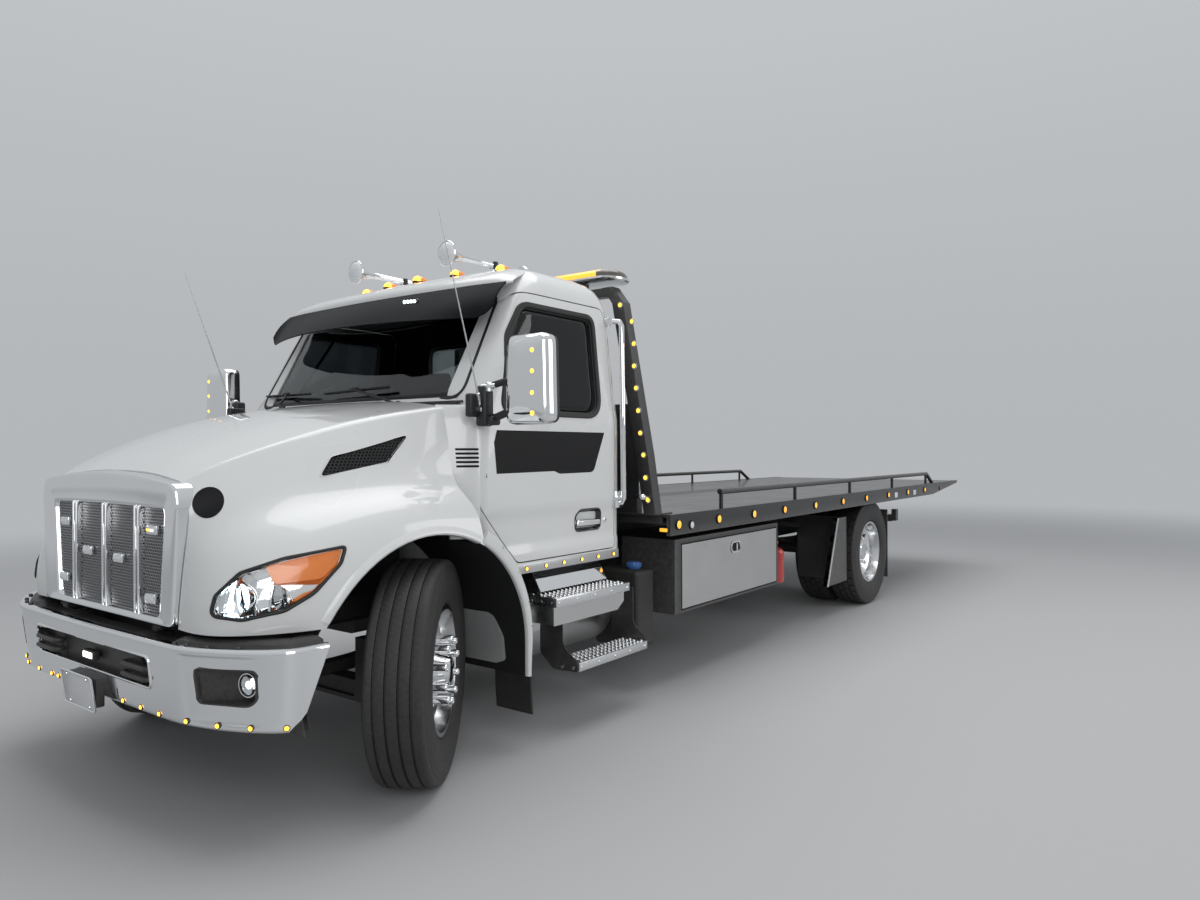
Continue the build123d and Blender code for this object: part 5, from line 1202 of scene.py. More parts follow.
def lamp_cover(bm):
    """The clear cover over the left headlamp."""
    lamp_patch(bm, LAMP_CORNERS, LAMP_RADII, 0.0035, 8, 0)


for lamp_obj in sides(headlamp, "headlamp", "hood", "glass", "seal rubber", "chrome", "amber lens",
                      "white light", "pale light"):
    crisp(lamp_obj, 40)
covers = sides(lamp_cover, "headlamp_cover", "hood", "glass", "clear lens")
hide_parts("headlamps")
print("headlamps done")

# %% [markdown]
# ## Trim on the hood
# Around each wheel opening the skin turns outwards in a rounded lip, and a black liner closes the opening
# behind it, so that nobody looks into the engine bay over the wheel. The liner widens inwards, to clear the
# tyre at full lock.

# %% Wheel openings: lips and liners
LINER_R = 0.612
LINER_WALL = 0.004
LIP_LOW_Z = 0.83
LIP_REAR_Y = 0.345
GUARD_R = 0.668
LINER_ROWS = [(0.0, 0.656), (0.25, 0.656), (0.5, 0.650), (0.75, 0.628), (0.9, 0.615), (1.0, LINER_R)]
LINER_TURN = [radians(-14 + 208 * k / 40) for k in range(41)]


def arch_point(turn, radius, x=None, offset=0.0):
    """A point round the wheel opening, on the hood's skin unless x is given."""
    y = ARCH_CENTRE[0] - radius * cos(turn)
    z = ARCH_CENTRE[1] + radius * sin(turn)
    if x is not None:
        return at(x, y, z)
    return on_hood(1.2, y, max(z, 0.826), LOOK_IN, offset)


def arch_lip(bm):
    """The rolled edge of the wheel opening."""
    turns = [t for t in LINER_TURN if ARCH_CENTRE[1] + ARCH_R * sin(t) > LIP_LOW_Z]
    turns = [t for t in turns if ARCH_CENTRE[0] - ARCH_R * cos(t) < LIP_REAR_Y]
    rows = []
    for radius, offset in ((0.640, -0.001), (0.628, 0.004), (0.614, 0.009), (0.604, 0.009), (0.598, 0.003),
                           (0.598, -0.020)):
        rows.append([arch_point(t, radius, offset=offset) for t in turns])
    bridge(bm, rows, closed=False)


def arch_liner(bm):
    """The black liner over the front wheel, and its front wall down to the bumper."""
    turns = [t for t in LINER_TURN if ARCH_CENTRE[0] - LINER_R * cos(t) < 0.350]
    rows = []
    for share, radius in LINER_ROWS:
        row = []
        for t in turns:
            outer = min(1.160, arch_point(t, LINER_R).x - 0.018)
            row.append(arch_point(t, radius, 0.560 + (outer - 0.560) * share))
        rows.append(row)
    bridge(bm, rows, closed=False)
    inner = [arch_point(t, LINER_ROWS[0][1], 0.560) for t in turns]
    inner_low = [Vector((p.x, p.y, max(0.80, p.z - 0.30))) for p in inner]
    bridge(bm, [inner, inner_low], closed=False)


sides(arch_lip, "arch_lip", "hood", "white_paint", "white paint")
for liner in sides(arch_liner, "arch_liner", "hood", "black_plastic", "black plastic"):
    walled(liner, LINER_WALL)
    crisp(liner)


def splash_guard(bm):
    """The fixed black panel behind the bumper's end, and the one beside the frame over the spring."""
    turns = [radians(-13 + 3 * k) for k in range(12)]
    rows = [[at(x, ARCH_CENTRE[0] - GUARD_R * cos(t), ARCH_CENTRE[1] + GUARD_R * sin(t)) for t in turns]
            for x in (0.520, 0.700, 0.900, 1.080, 1.120)]
    bridge(bm, rows, closed=False)
    wall = [[at(0.520, y, z) for y in (-0.62, -0.3, 0.0, 0.3, 0.62)] for z in (0.700, 0.810)]
    bridge(bm, wall, closed=False)


for guard in sides(splash_guard, "splash_guard", "chassis", "black_plastic", "black plastic"):
    walled(guard, LINER_WALL)
    crisp(guard)
print("wheel openings done")

# %% [markdown]
# The side vent is a slanting blade-shaped recess with a honeycomb screen, and its rim stands a little proud.
# In front of it sits a plain black roundel.

# %% Side vents and roundels
ROUNDEL_MIDDLE = Vector((0.762, -0.815, 1.327))


def on_flank(p, offset=0.0):
    """The skin beside a (station, z) place, looking across the truck."""
    return on_hood(1.2, p.y, p.z, LOOK_IN, offset)


def vent(bm):
    """The rim, the dark floor and the screen of the left vent."""
    rows = []
    for grow, offset in ((0.012, -0.001), (0.008, 0.004), (0.002, 0.005), (-0.002, 0.002), (-0.003, -0.016)):
        rows.append([on_flank(p, offset) for p in side_outline(VENT, VENT_RADII, grow)])
    bridge(bm, rows[:3], slot=0)
    bridge(bm, rows[2:], slot=1)
    middle = sum(rows[-1], Vector()) / len(rows[-1])
    floor = [middle + (p - middle) * 0.98 for p in rows[-1]]
    line = side_outline(VENT, VENT_RADII, -0.003)
    made = bridge(bm, [rows[-1], floor], slot=1)
    cap(bm, made[-1], 1)
    cell = 0.016
    for row in range(16):
        for column in range(36):
            y = -0.40 + column * cell + (cell / 2 if row % 2 else 0)
            z = 1.42 + row * cell * 0.866
            if not inside(line, y, z):
                continue
            edge, hole = ([on_flank(Vector((0, y + cos(t) * r * cell, z + sin(t) * r * cell)), -0.006)
                           for t in HEXAGON] for r in (0.577, 0.42))
            bridge(bm, [edge, hole, [p - Vector((0.006, 0, 0)) for p in hole]], slot=1)


def inside(line, y, z):
    """Whether a place lies inside a closed outline of (station, z) points."""
    hit = False
    for a, b in zip(line, line[1:] + line[:1]):
        if (a.z > z) != (b.z > z) and y < a.y + (b.y - a.y) * (z - a.z) / (b.z - a.z):
            hit = not hit
    return hit


def roundel(bm):
    """A plain black disc of film on the hood's front corner."""
    line = [CORNER_ACROSS * 0.059 * cos(t) + Vector((0, 0, 0.063 * sin(t))) for t in full_turn(48)]
    rows = []
    for share in (1.0, 0.8, 0.6, 0.4, 0.2, 0.002):
        rows.append([on_hood(*(ROUNDEL_MIDDLE + p * share), CORNER, 0.0012) for p in line])
    made = bridge(bm, rows)
    cap(bm, made[-1])


sides(vent, "side_vent", "hood", "black_plastic", "white paint", "black plastic")
sides(roundel, "roundel", "hood", "black_paint", "decal black")
print("vents and roundels done")

# %% [markdown]
# ## Wheels
# A tyre is a section turned about the axle, so it is a lathe form. What makes it read as rubber is the tread:
# ribs with fine notches on a steer tyre, staggered blocks on a drive tyre. Turning the same section with a
# few of its points moved at some steps cuts those notches without a single boolean.

# %% Where the wheels stand
TYRE_R = 0.515
KINGPIN_X = 0.901
KINGPIN_TO_WHEEL = 0.145
STEER_REST = radians(36)
REAR_TRACK = 0.928
WHEELBASE = 5.750
DUAL_PITCH = 0.330
BOLT_COUNT = 10
BOLT_CIRCLE = 0.1429


def wheel_place(side, front):
    """The middle of a wheel and the direction of its outer side."""
    if front:
        axis = Vector((cos(STEER_REST), sin(STEER_REST), 0)) * side
        return at(side * KINGPIN_X, 0, TYRE_R) + axis * KINGPIN_TO_WHEEL, axis
    return at(side * REAR_TRACK, WHEELBASE, TYRE_R), Vector((side, 0, 0))


print("front wheel middle:", [round(v, 3) for v in wheel_place(1, True)[0]])

# %% [markdown]
# The two treads share one maker. `SIDEWALL` goes from the bead to the shoulder, and each tread gives its
# grooves and a rule for how far a point on a rib sinks at each step of the turn.

# %% Tyres
SIDEWALL = [(-0.105, 0.2865), (-0.105, 0.300), (-0.113, 0.306), (-0.124, 0.315), (-0.127, 0.322),
            (-0.131, 0.330), (-0.136, 0.352), (-0.1385, 0.380), (-0.1395, 0.400), (-0.1385, 0.424),
            (-0.136, 0.444), (-0.1365, 0.447), (-0.1340, 0.452), (-0.131, 0.466), (-0.1315, 0.470),
            (-0.1285, 0.474), (-0.1265, 0.488), (-0.1265, 0.496), (-0.1225, 0.5035), (-0.116, 0.5085)]
CROWN_DROP = 0.0045
GROOVE_DEEP = 0.013


def tread_radius(along):
    """The tread's radius at a distance from its middle."""
    return TYRE_R - CROWN_DROP * (along / 0.116) ** 2


def tyre(bm, centre, axis, grooves, half_groove, turns, notch):
    """A tyre. notch(along, place, turn) says how far a rib point sinks at a turn from 0 to 1."""
    section = [(a, r, None) for a, r in SIDEWALL]
    edges = [-0.110]
    for groove in grooves:
        edges += [groove - half_groove, groove + half_groove]
    edges.append(0.110)
    for k in range(0, len(edges), 2):
        start, end = edges[k], edges[k + 1]
        section += [(start, tread_radius(start), "edge"), (start + 0.005, tread_radius(start), "rib"),
                    (end - 0.005, tread_radius(end), "rib"), (end, tread_radius(end), "edge")]
        if k + 2 < len(edges):
            low = TYRE_R - GROOVE_DEEP
            section += [(end + 0.002, low, None), (edges[k + 2] - 0.002, low, None)]
    section += [(-a, r, None) for a, r in reversed(SIDEWALL)]
    u, v = basis(axis)
    rings = []
    for along, radius, place in section:
        ring = []
        for turn in turns:
            sunk = notch(along, place, turn) if place else 0.0
            t = 2 * pi * turn
            ring.append(centre + axis * along + (u * cos(t) + v * sin(t)) * (radius - sunk))
        rings.append(ring)
    bridge(bm, rings)


STEER_COUNT = 330
STEER_STEPS = [k / STEER_COUNT for k in range(STEER_COUNT)]
DRIVE_PITCHES = 38
DRIVE_STEPS = [(k + part) / DRIVE_PITCHES for k in range(DRIVE_PITCHES)
               for part in (0.0, 0.03, 0.13, 0.16, 0.33, 0.5, 0.53, 0.63, 0.66, 0.83)]


def steer_notch(along, place, turn):
    """Fine notches along the edges of the ribs."""
    step = round(turn * STEER_COUNT)
    return 0.0045 if place == "edge" and abs(along) < 0.1 and step % 3 == 0 else 0.0


def drive_notch(along, place, turn):
    """Cross grooves that part the ribs into blocks, staggered from rib to rib."""
    rib = int((along + 0.110) / 0.055)
    part = (turn * DRIVE_PITCHES + (0.5 if rib % 2 else 0.0)) % 1.0
    return 0.011 if 0.02 < part < 0.14 else 0.0


for side, word in SIDES:
    centre, axis = wheel_place(side, True)
    bm = bmesh.new()
    tyre(bm, centre, axis, (-0.078, -0.027, 0.027, 0.078), 0.0055, STEER_STEPS, steer_notch)
    made = piece(f"steer_tyre_{word}", bm, f"front_wheel_{word}", "tyre", "tyre rubber")
    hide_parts(f"front_tyre_{word}")
    centre, axis = wheel_place(side, False)
    bm = bmesh.new()
    for shift in (-DUAL_PITCH / 2, DUAL_PITCH / 2):
        tyre(bm, centre + axis * shift, axis, (-0.055, 0.0, 0.055), 0.005, DRIVE_STEPS, drive_notch)
    made = piece(f"drive_tyres_{word}", bm, f"rear_wheels_{word}", "tyre", "tyre rubber")
    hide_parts(f"rear_tyres_{word}")
print("tyres: two steer, four drive")

# %% [markdown]
# The rims keep their CAD form, with its real hand holes. Over the front wheel's nuts stand tall chrome
# covers, each a tube with a flange and a dished end, and a chrome cap closes the hub.

# %% Nut covers, hub caps and valves
FRONT_DISC = 0.060
NUT_COVER = [(-0.004, 0.0245), (0.002, 0.0245), (0.006, 0.0205), (0.010, 0.0190), (0.088, 0.0190),
             (0.094, 0.0180), (0.097, 0.0155), (0.097, 0.0130), (0.093, 0.0110), (0.093, 0.0005)]
REAR_COVER = [(-0.010, 0.0215), (0.000, 0.0215), (0.004, 0.0185), (0.036, 0.0180), (0.041, 0.0150),
              (0.041, 0.0005)]
HUB_CAP = [(0.040, 0.1000), (0.055, 0.1000), (0.062, 0.0900), (0.100, 0.0740), (0.130, 0.0690),
           (0.147, 0.0600), (0.153, 0.0450), (0.153, 0.0005)]
REAR_CAP = [(0.120, 0.1020), (0.136, 0.0960), (0.180, 0.0920), (0.212, 0.0900), (0.224, 0.0780),
            (0.227, 0.0005)]


def round_bolts(bm, centre, axis, foot, profile, steps=20):
    """One turned form on each wheel bolt."""
    u, v = basis(axis)
    for k in range(BOLT_COUNT):
        t = 2 * pi * (k + 0.5) / BOLT_COUNT
        lathe(bm, profile, centre + axis * foot + (u * cos(t) + v * sin(t)) * BOLT_CIRCLE, axis, steps)


for side, word in SIDES:
    centre, axis = wheel_place(side, True)
    bm = bmesh.new()
    round_bolts(bm, centre, axis, FRONT_DISC + 0.001, NUT_COVER)
    lathe(bm, HUB_CAP, centre, axis, 48)
    piece(f"front_wheel_trim_{word}", bm, f"front_wheel_{word}", "chrome", "chrome")
    centre, axis = wheel_place(side, False)
    bm = bmesh.new()
    round_bolts(bm, centre, axis, DUAL_PITCH / 2 - 0.020 + 0.012, REAR_COVER)
    lathe(bm, REAR_CAP, centre, axis, 48)
    piece(f"rear_wheel_trim_{word}", bm, f"rear_wheels_{word}", "chrome", "chrome")
print("wheel trims:", 2 * BOLT_COUNT, "tall covers")

# %% [markdown]
# ## The cab
# A cab is pressed from large sheets whose corners all turn softly, so its skin is built from plans: one
# closed curve for each height, with the windshield's bow, round pillars and, higher up, the roof closing in.
# Windows and doors are then cut from the same wall, which is why a door's face always lines up with the cab
# round it.

# %% The cab's plans
CAB_FLOOR = 0.905
BOW = 0.060
CAB_COUNT = 96
CAB_PLANS = [
    # height, front, back, half width, front corner, back corner
    (0.905, 0.560, 1.648, 1.064, 0.060, 0.070),
    (0.925, 0.530, 1.648, 1.070, 0.060, 0.070),
    (1.010, 0.455, 1.648, 1.070, 0.060, 0.070),
    (1.022, 0.445, 1.648, 1.064, 0.060, 0.070),
    (1.100, 0.400, 1.648, 1.064, 0.060, 0.070),
    (1.196, 0.372, 1.648, 1.065, 0.060, 0.070),
    (1.208, 0.372, 1.648, 1.070, 0.060, 0.070),
    (1.450, 0.372, 1.648, 1.070, 0.070, 0.070),
    (1.600, 0.372, 1.648, 1.070, 0.090, 0.070),
    (1.690, 0.372, 1.648, 1.070, 0.110, 0.070),
    (1.720, 0.374, 1.648, 1.068, 0.120, 0.070),
    (1.765, 0.392, 1.648, 1.062, 0.130, 0.075),
    (1.880, 0.455, 1.648, 1.048, 0.140, 0.080),
    (2.000, 0.520, 1.648, 1.033, 0.145, 0.080),
    (2.130, 0.591, 1.648, 1.018, 0.150, 0.085),
    (2.270, 0.667, 1.648, 1.001, 0.155, 0.090),
    (2.370, 0.722, 1.648, 0.988, 0.160, 0.100),
    (2.420, 0.752, 1.647, 0.979, 0.170, 0.110),
    (2.465, 0.783, 1.643, 0.966, 0.180, 0.130),
    (2.505, 0.815, 1.634, 0.945, 0.190, 0.150),
    (2.537, 0.850, 1.618, 0.912, 0.200, 0.170),
    (2.560, 0.888, 1.594, 0.865, 0.210, 0.190),
    (2.576, 0.930, 1.560, 0.800, 0.220, 0.200),
    (2.587, 0.980, 1.515, 0.710, 0.220, 0.200),
    (2.594, 1.040, 1.455, 0.590, 0.200, 0.180),
    (2.599, 1.110, 1.385, 0.430, 0.130, 0.130),
    (2.601, 1.200, 1.290, 0.180, 0.040, 0.040),
]


def cab_plan(front, back, half, front_corner, back_corner):
    """Half of a plan, from the middle of the front round to the middle of the back."""
    bow = BOW * min(1.0, half / 0.9)
    line = [(0, front, 0), (half * 0.35, front + bow * 0.10, 0), (half * 0.68, front + bow * 0.42, 0),
            (half, front + bow, 0), (half, back, 0), (0, back, 0)]
    line = rounded(line, [0, half * 0.9, half * 0.9, front_corner, back_corner, 0], 10)
    return even_steps(line, CAB_COUNT)


def cab_rows():
    """The rings of the cab's skin, smoothed between the given heights."""
    rings = []
    for (z, *low), (z_next, *high) in zip(CAB_PLANS, CAB_PLANS[1:]):
        steps = max(1, round((z_next - z) / 0.045))
        for k in range(steps):
            share = k / steps
            values = [a + (b - a) * share for a, b in zip(low, high)]
            rings.append((z + (z_next - z) * share, cab_plan(*values)))
    rings.append((CAB_PLANS[-1][0], cab_plan(*CAB_PLANS[-1][1:])))
    out = []
    for z, half in rings:
        right = [Vector((-p.x, p.y, 0)) for p in reversed(half[1:-1])]
        out.append([at(p.x, p.y, z) for p in [*half, *right]])
    return out


bm = bmesh.new()
made = bridge(bm, cab_rows())
cap(bm, made[-1])
skin = piece("cab_skin", bm, "chassis", "white_paint", "white paint", "trim cloth", "seal rubber")
cab_tree = surface(skin)
print("cab skin:", len(skin.data.polygons), "faces")

# %% [markdown]
# As on the hood, rays find the cab's skin, so that seals, panes and film lie on it. `band` lays a strip round
# an outline: each row gives how far it stands outside the outline and how far off the skin.

# %% Find the cab's surface
FROM_LEFT = Vector((-1, 0, 0))
FROM_FRONT = Vector((0, 1, 0))
FROM_BACK = Vector((0, -1, 0))
CAB_BACK_OFF = 1.2


def on_cab(p, direction, offset=0.0):
    """Where a ray through a truck point meets the cab's skin, lifted off it by offset."""
    return met(cab_tree, at(*p), direction, CAB_BACK_OFF, offset)


def grown(line, grow):
    """A closed flat outline moved outwards by grow at every point."""
    out = []
    normal = (line[len(line) // 3] - line[0]).cross(line[2 * len(line) // 3] - line[0]).normalized()
    for k, p in enumerate(line):
        run = line[(k + 1) % len(line)] - line[k - 1]
        out.append(p + run.cross(normal).normalized() * grow)
    return out


def band(bm, line, direction, rows, slot=0):
    """A strip round an outline on the cab's skin; rows are (grow, offset)."""
    rings = [[on_cab(p, direction, offset) for p in grown(line, grow)] for grow, offset in rows]
    return bridge(bm, rings, slot=slot)


def film(bm, line, direction, offset, slot=0, rings=7):
    """A sheet that follows the cab's skin inside an outline."""
    middle = sum(line, Vector()) / len(line)
    rows = [[on_cab(middle + (p - middle) * max(0.003, 1 - k / rings), direction, offset) for p in line]
            for k in range(rings + 1)]
    made = bridge(bm, rows, slot=slot)
    cap(bm, made[-1], slot)


def side_line(corners, radii, steps=7):
    """A rounded outline on the cab's side, from (station, z) corners."""
    return rounded([(1.0, y, z) for y, z in corners], radii, steps)


def front_line(corners, radii, y, steps=7):
    """A rounded outline on the cab's front or back, from (x, z) corners."""
    return rounded([(x, y, z) for x, z in corners], radii, steps)


DOOR = side_line([(0.448, 1.240), (0.703, 0.950), (1.572, 0.950), (1.572, 2.395), (0.830, 2.395),
                  (0.690, 2.270), (0.483, 1.880), (0.448, 1.760)],
                 [0.10, 0.06, 0.03, 0.06, 0.10, 0.30, 0.20, 0.20])
DOOR_WINDOW = side_line([(0.610, 1.745), (1.430, 1.745), (1.446, 2.320), (0.840, 2.320), (0.720, 2.140)],
                        [0.05, 0.12, 0.05, 0.08, 0.20])
SCREEN = front_line([(-0.905, 1.812), (0.905, 1.812), (0.870, 2.385), (-0.870, 2.385)], 0.075, 0.5)
BACK_LIGHT = front_line([(-0.620, 1.800), (0.620, 1.800), (0.620, 2.280), (-0.620, 2.280)], 0.08, 1.64)
print("door outline:", len(DOOR), "points")

# %% [markdown]
# The wall gets its thickness first. The cab loses both doorways, the windshield and the back light; a door
# keeps only what lies inside its seam. The few millimetres between the two outlines are the real gap round a
# door.

# %% Cut the cab and its doors
CAB_WALL = 0.042
SEAM = 0.0065


def side_block(bm, line, x0, x1):
    """A prism across the truck over an outline on the cab's side."""
    prism(bm, [at(x0, p.y, p.z) for p in line], (x1 - x0, 0, 0))


def front_block(bm, line, y0, y1):
    """A prism along the truck over an outline on the cab's front or back."""
    prism(bm, [at(p.x, y0, p.z) for p in line], (0, y1 - y0, 0))


walled(skin, CAB_WALL, material_offset=1, material_offset_rim=1)
wall_mesh = skin.data.copy()
cutters = bmesh.new()
for way in (1, -1):
    side_block(cutters, grown(DOOR, SEAM), way * 0.80, way * 1.20)
cut_away(skin, cutters)
cutters = bmesh.new()
front_block(cutters, SCREEN, 0.20, 0.95)
front_block(cutters, BACK_LIGHT, 1.50, 1.80)
cut_away(skin, cutters)
crisp(skin, 40)
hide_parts("cab_shell")
doors = {}
for way, word in SIDES:
    door = bpy.data.objects.new(f"door_skin_{word}", wall_mesh.copy())
    scene.collection.objects.link(door)
    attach(door, f"door_{word}")
    keeper = bmesh.new()
    side_block(keeper, DOOR, way * 0.80, way * 1.20)
    cut_away(door, keeper, "INTERSECT")
    cutter = bmesh.new()
    side_block(cutter, DOOR_WINDOW, way * 0.80, way * 1.20)
    cut_away(door, cutter)
    crisp(door, 40)
    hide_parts(f"door_{word}")
    doors[word] = door
print("cab faces:", len(skin.data.polygons), "door faces:", len(doors["left"].data.polygons))

# %% [markdown]
# Glass and rubber come next. Each pane is a film on the skin, set in a little, with a raised black seal round
# it. The windshield also has the wide black border that hides its glue.

# %% Panes and seals
PANE = 0.005
SEAL_ROWS = [(0.026, -0.001), (0.024, 0.006), (0.018, 0.008), (0.004, 0.007), (-0.004, 0.002),
             (-0.006, -0.008), (-0.012, -0.012)]


def door_window(bm):
    """The seal round the left door's window, with the run of the glass inside it."""
    band(bm, DOOR_WINDOW, FROM_LEFT, SEAL_ROWS)


def door_pane(bm):
    """The left door's pane."""
    film(bm, grown(DOOR_WINDOW, -0.004), FROM_LEFT, -0.011)


sides(door_window, "door_seal", "door_{}", "black_plastic", "seal rubber")
for made, (_, word) in zip(sides(door_pane, "door_pane", "door_{}", "glass", "dark glass"), SIDES):
    walled(made, PANE)
    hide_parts(f"door_glass_{word}")
bm = bmesh.new()
band(bm, SCREEN, FROM_FRONT, [(0.012, -0.001), (0.011, 0.004), (0.006, 0.006), (-0.004, 0.004),
                              (-0.010, -0.006), (-0.034, -0.006)])
band(bm, BACK_LIGHT, FROM_BACK, [(0.024, -0.001), (0.022, 0.006), (0.006, 0.008), (-0.004, 0.002),
                                 (-0.010, -0.010)])
piece("cab_seals", bm, "chassis", "black_plastic", "seal rubber")
bm = bmesh.new()
film(bm, grown(SCREEN, -0.004), FROM_FRONT, -0.008, rings=10)
film(bm, grown(BACK_LIGHT, -0.004), FROM_BACK, -0.010)
panes = piece("cab_panes", bm, "chassis", "glass", "window glass")
walled(panes, PANE)
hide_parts("cab_glass")
# A near-black band deep in each door seam is painted shade: it stands in for the dark inside the gap round the
# door.
bm = bmesh.new()
rows = []
for inset in (0.0, 0.020):
    rows.append([on_cab(p, FROM_LEFT, -0.016 - inset) for p in grown(DOOR, SEAM + 0.003)])
bridge(bm, rows)
piece("door_gaps", bm, "chassis", "black_plastic", "painted shade black", both=True)
print("panes: windshield, back light and two doors")

# %% [markdown]
# Inside, the cab needs a floor and a toe board, or the ground would show through the windows' lower corners.

# %% Cab floor and cowl
bm = bmesh.new()
block(bm, at(-1.02, 0.62, CAB_FLOOR + 0.002), at(1.02, 1.60, CAB_FLOOR + 0.030), 0.004)
toe = [at(x, y, z) for x, y, z in ((-1.02, 0.62, 0.93), (1.02, 0.62, 0.93), (1.02, 0.44, 1.18),
                                   (-1.02, 0.44, 1.18))]
prism(bm, toe, (0, 0.015, 0.010))
block(bm, at(-1.02, 0.42, 1.18), at(1.02, 0.44, 1.70), 0.003)
piece("cab_floor", bm, "chassis", "black_plastic", "trim cloth")
COWL_STEPS = [k / 24 for k in range(25)]
bm = bmesh.new()
rows = []
for share, drop in ((0.0, 0.030), (0.02, 0.004), (0.5, 0.000), (0.98, 0.004), (1.0, 0.020)):
    row = []
    for s in COWL_STEPS:
        x = -0.93 + 1.86 * s
        front = at(x, 0.335, between([(0, 1.785), (0.58, 1.775), (0.93, 1.742)], abs(x)))
        back = on_cab(Vector((x, 0.5, 1.797)), FROM_FRONT, 0.003)
        row.append(front.lerp(back, share) - Vector((0, 0, drop)))
    rows.append(row)
bridge(bm, rows, closed=False)
piece("cowl_panel", bm, "chassis", "black_plastic", "black plastic")
print("cab floor and cowl panel laid")

# %% [markdown]
# Between the hood's rear edge and the door lies a panel that sweeps from one to the other. It is a small grid
# of its own, with the door seam behind it.

# %% Cowl sides
COWL_SIDE = [(0.925, 0.285, 1.764), (0.948, 0.287, 1.735), (0.972, 0.287, 1.640), (0.985, 0.287, 1.540),
             (0.998, 0.288, 1.420), (1.004, 0.292, 1.300), (1.004, 0.300, 1.180), (1.004, 0.310, 1.100)]
COWL_REAR_Y = 0.4405


def cowl_side(bm):
    """The left corner panel."""
    rows = []
    for x, y, z in COWL_SIDE:
        start = Vector((x - 0.02, y, z))
        bend = Vector((x + 0.020, 0.335, z))
        near = on_cab(Vector((1.0, COWL_REAR_Y + 0.02, z)), FROM_LEFT)
        end = Vector((near.x, COWL_REAR_Y, z))
        before_end = Vector((end.x + 0.002, 0.395, z))
        line = []
        for k in range(13):
            t = k / 12
            p = start * (1 - t) ** 3 + bend * 3 * t * (1 - t) ** 2 + before_end * 3 * t * t * (1 - t)
            line.append(at(*(p + end * t ** 3)))
        line.append(line[-1] - Vector((0.030, 0, 0)))
        rows.append(line)
    bridge(bm, rows, closed=False)


cowl = pair(cowl_side, "cowl_sides", "chassis", "white_paint", "white paint")
print("cowl sides:", len(COWL_SIDE), "rows")

# %% [markdown]
# ## What the cab carries
# The visor is one smoked sheet, bent to the windshield's bow. It is a grid between two arcs, given its
# thickness by a modifier. Above it the roof's white front edge reaches out like an eyebrow and runs back into
# the roof.

# %% Visor and roof lip
DOWN = Vector((0, 0, -1))
VISOR_LOW = (0.345, 0.600, 1.000, 2.225)
VISOR_TOP = (0.640, 0.715, 0.985, 2.430)
VISOR_ROUND = 0.10


def visor_point(u, t):
    """A truck point of the visor, u across from -1 to 1 and t up from 0 to 1."""
    centre, end, half, z = [a + (b - a) * t for a, b in zip(VISOR_LOW, VISOR_TOP)]
    lift = max(0.0, (abs(u) - (1 - VISOR_ROUND)) / VISOR_ROUND) ** 2 * 0.060 * (1 - t)
    belly = 0.016 * sin(pi * t)
    return at(u * half, centre + (end - centre) * u * u - belly, z + lift)


bm = bmesh.new()
across = [k / 24 - 1 for k in range(49)]
bridge(bm, [[visor_point(u, t / 8) for u in across] for t in range(9)], closed=False)
visor = piece("visor", bm, "chassis", "smoked_visor", "smoked plastic")
walled(visor, 0.007, offset=0)
crisp(visor, 50)
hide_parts("sun_visor")
LIP_ROWS = [
    # share back to the roof, height above the straight line there
    (0.00, -0.016), (0.00, 0.004), (0.03, 0.022), (0.12, 0.034), (0.35, 0.034), (0.70, 0.016), (1.00, 0.001),
]
LIP_REACH = 1.012


def lip_line(u):
    """The roof lip's section at u across: its front edge and its seat on the roof."""
    front = at(u * 1.002, 0.622 + 0.105 * u * u, 2.430)
    seat = on_cab(Vector((u * 0.880, 0.860 + 0.120 * u * u, 2.60)), DOWN, 0.001)
    return front, seat


bm = bmesh.new()
rows = []
for share, rise in LIP_ROWS:
    row = []
    for u in across:
        front, seat = lip_line(u * LIP_REACH)
        fade = 1 - 0.75 * max(0.0, abs(u) - 0.9) / 0.1
        row.append(front.lerp(seat, share) + Vector((0, 0, rise * fade)))
    rows.append(row)
bridge(bm, rows, closed=False)
lip = piece("roof_lip", bm, "chassis", "white_paint", "white paint")
walled(lip, 0.008)
crisp(lip, 50)
print("visor and roof lip made")

# %% Flash lamp in the visor
FLASHER = (0.587, 0.420, 2.323)
bm = bmesh.new()
ahead_out = Vector((0.27, -0.96, -0.05)).normalized()
along_lamp = Vector((0.96, 0.27, 0.0)).normalized()
for k in range(4):
    mid = at(*FLASHER) + along_lamp * (k - 1.5) * 0.020 + ahead_out * 0.030
    lathe(bm, [(-0.004, 0.009), (0.002, 0.009), (0.005, 0.006), (0.006, 0.001)], mid, ahead_out, 12)
piece("visor_flasher", bm, "chassis", "glass", "pale light")
bm = bmesh.new()
base = [at(*FLASHER) + along_lamp * a + Vector((0, 0, b)) + ahead_out * 0.018
        for a, b in ((-0.050, -0.014), (0.050, -0.014), (0.050, 0.014), (-0.050, 0.014))]
prism(bm, rounded(base, 0.012, 4), ahead_out * 0.010, edge=0.002)
piece("visor_flasher_base", bm, "chassis", "black_plastic", "gloss black")
print("flasher:", FLASHER)

# %% [markdown]
# Five amber markers stand on the roof's front. Each is a teardrop on a black gasket, with its lit bulb
# showing through the round front end, so the lens changes finish there.

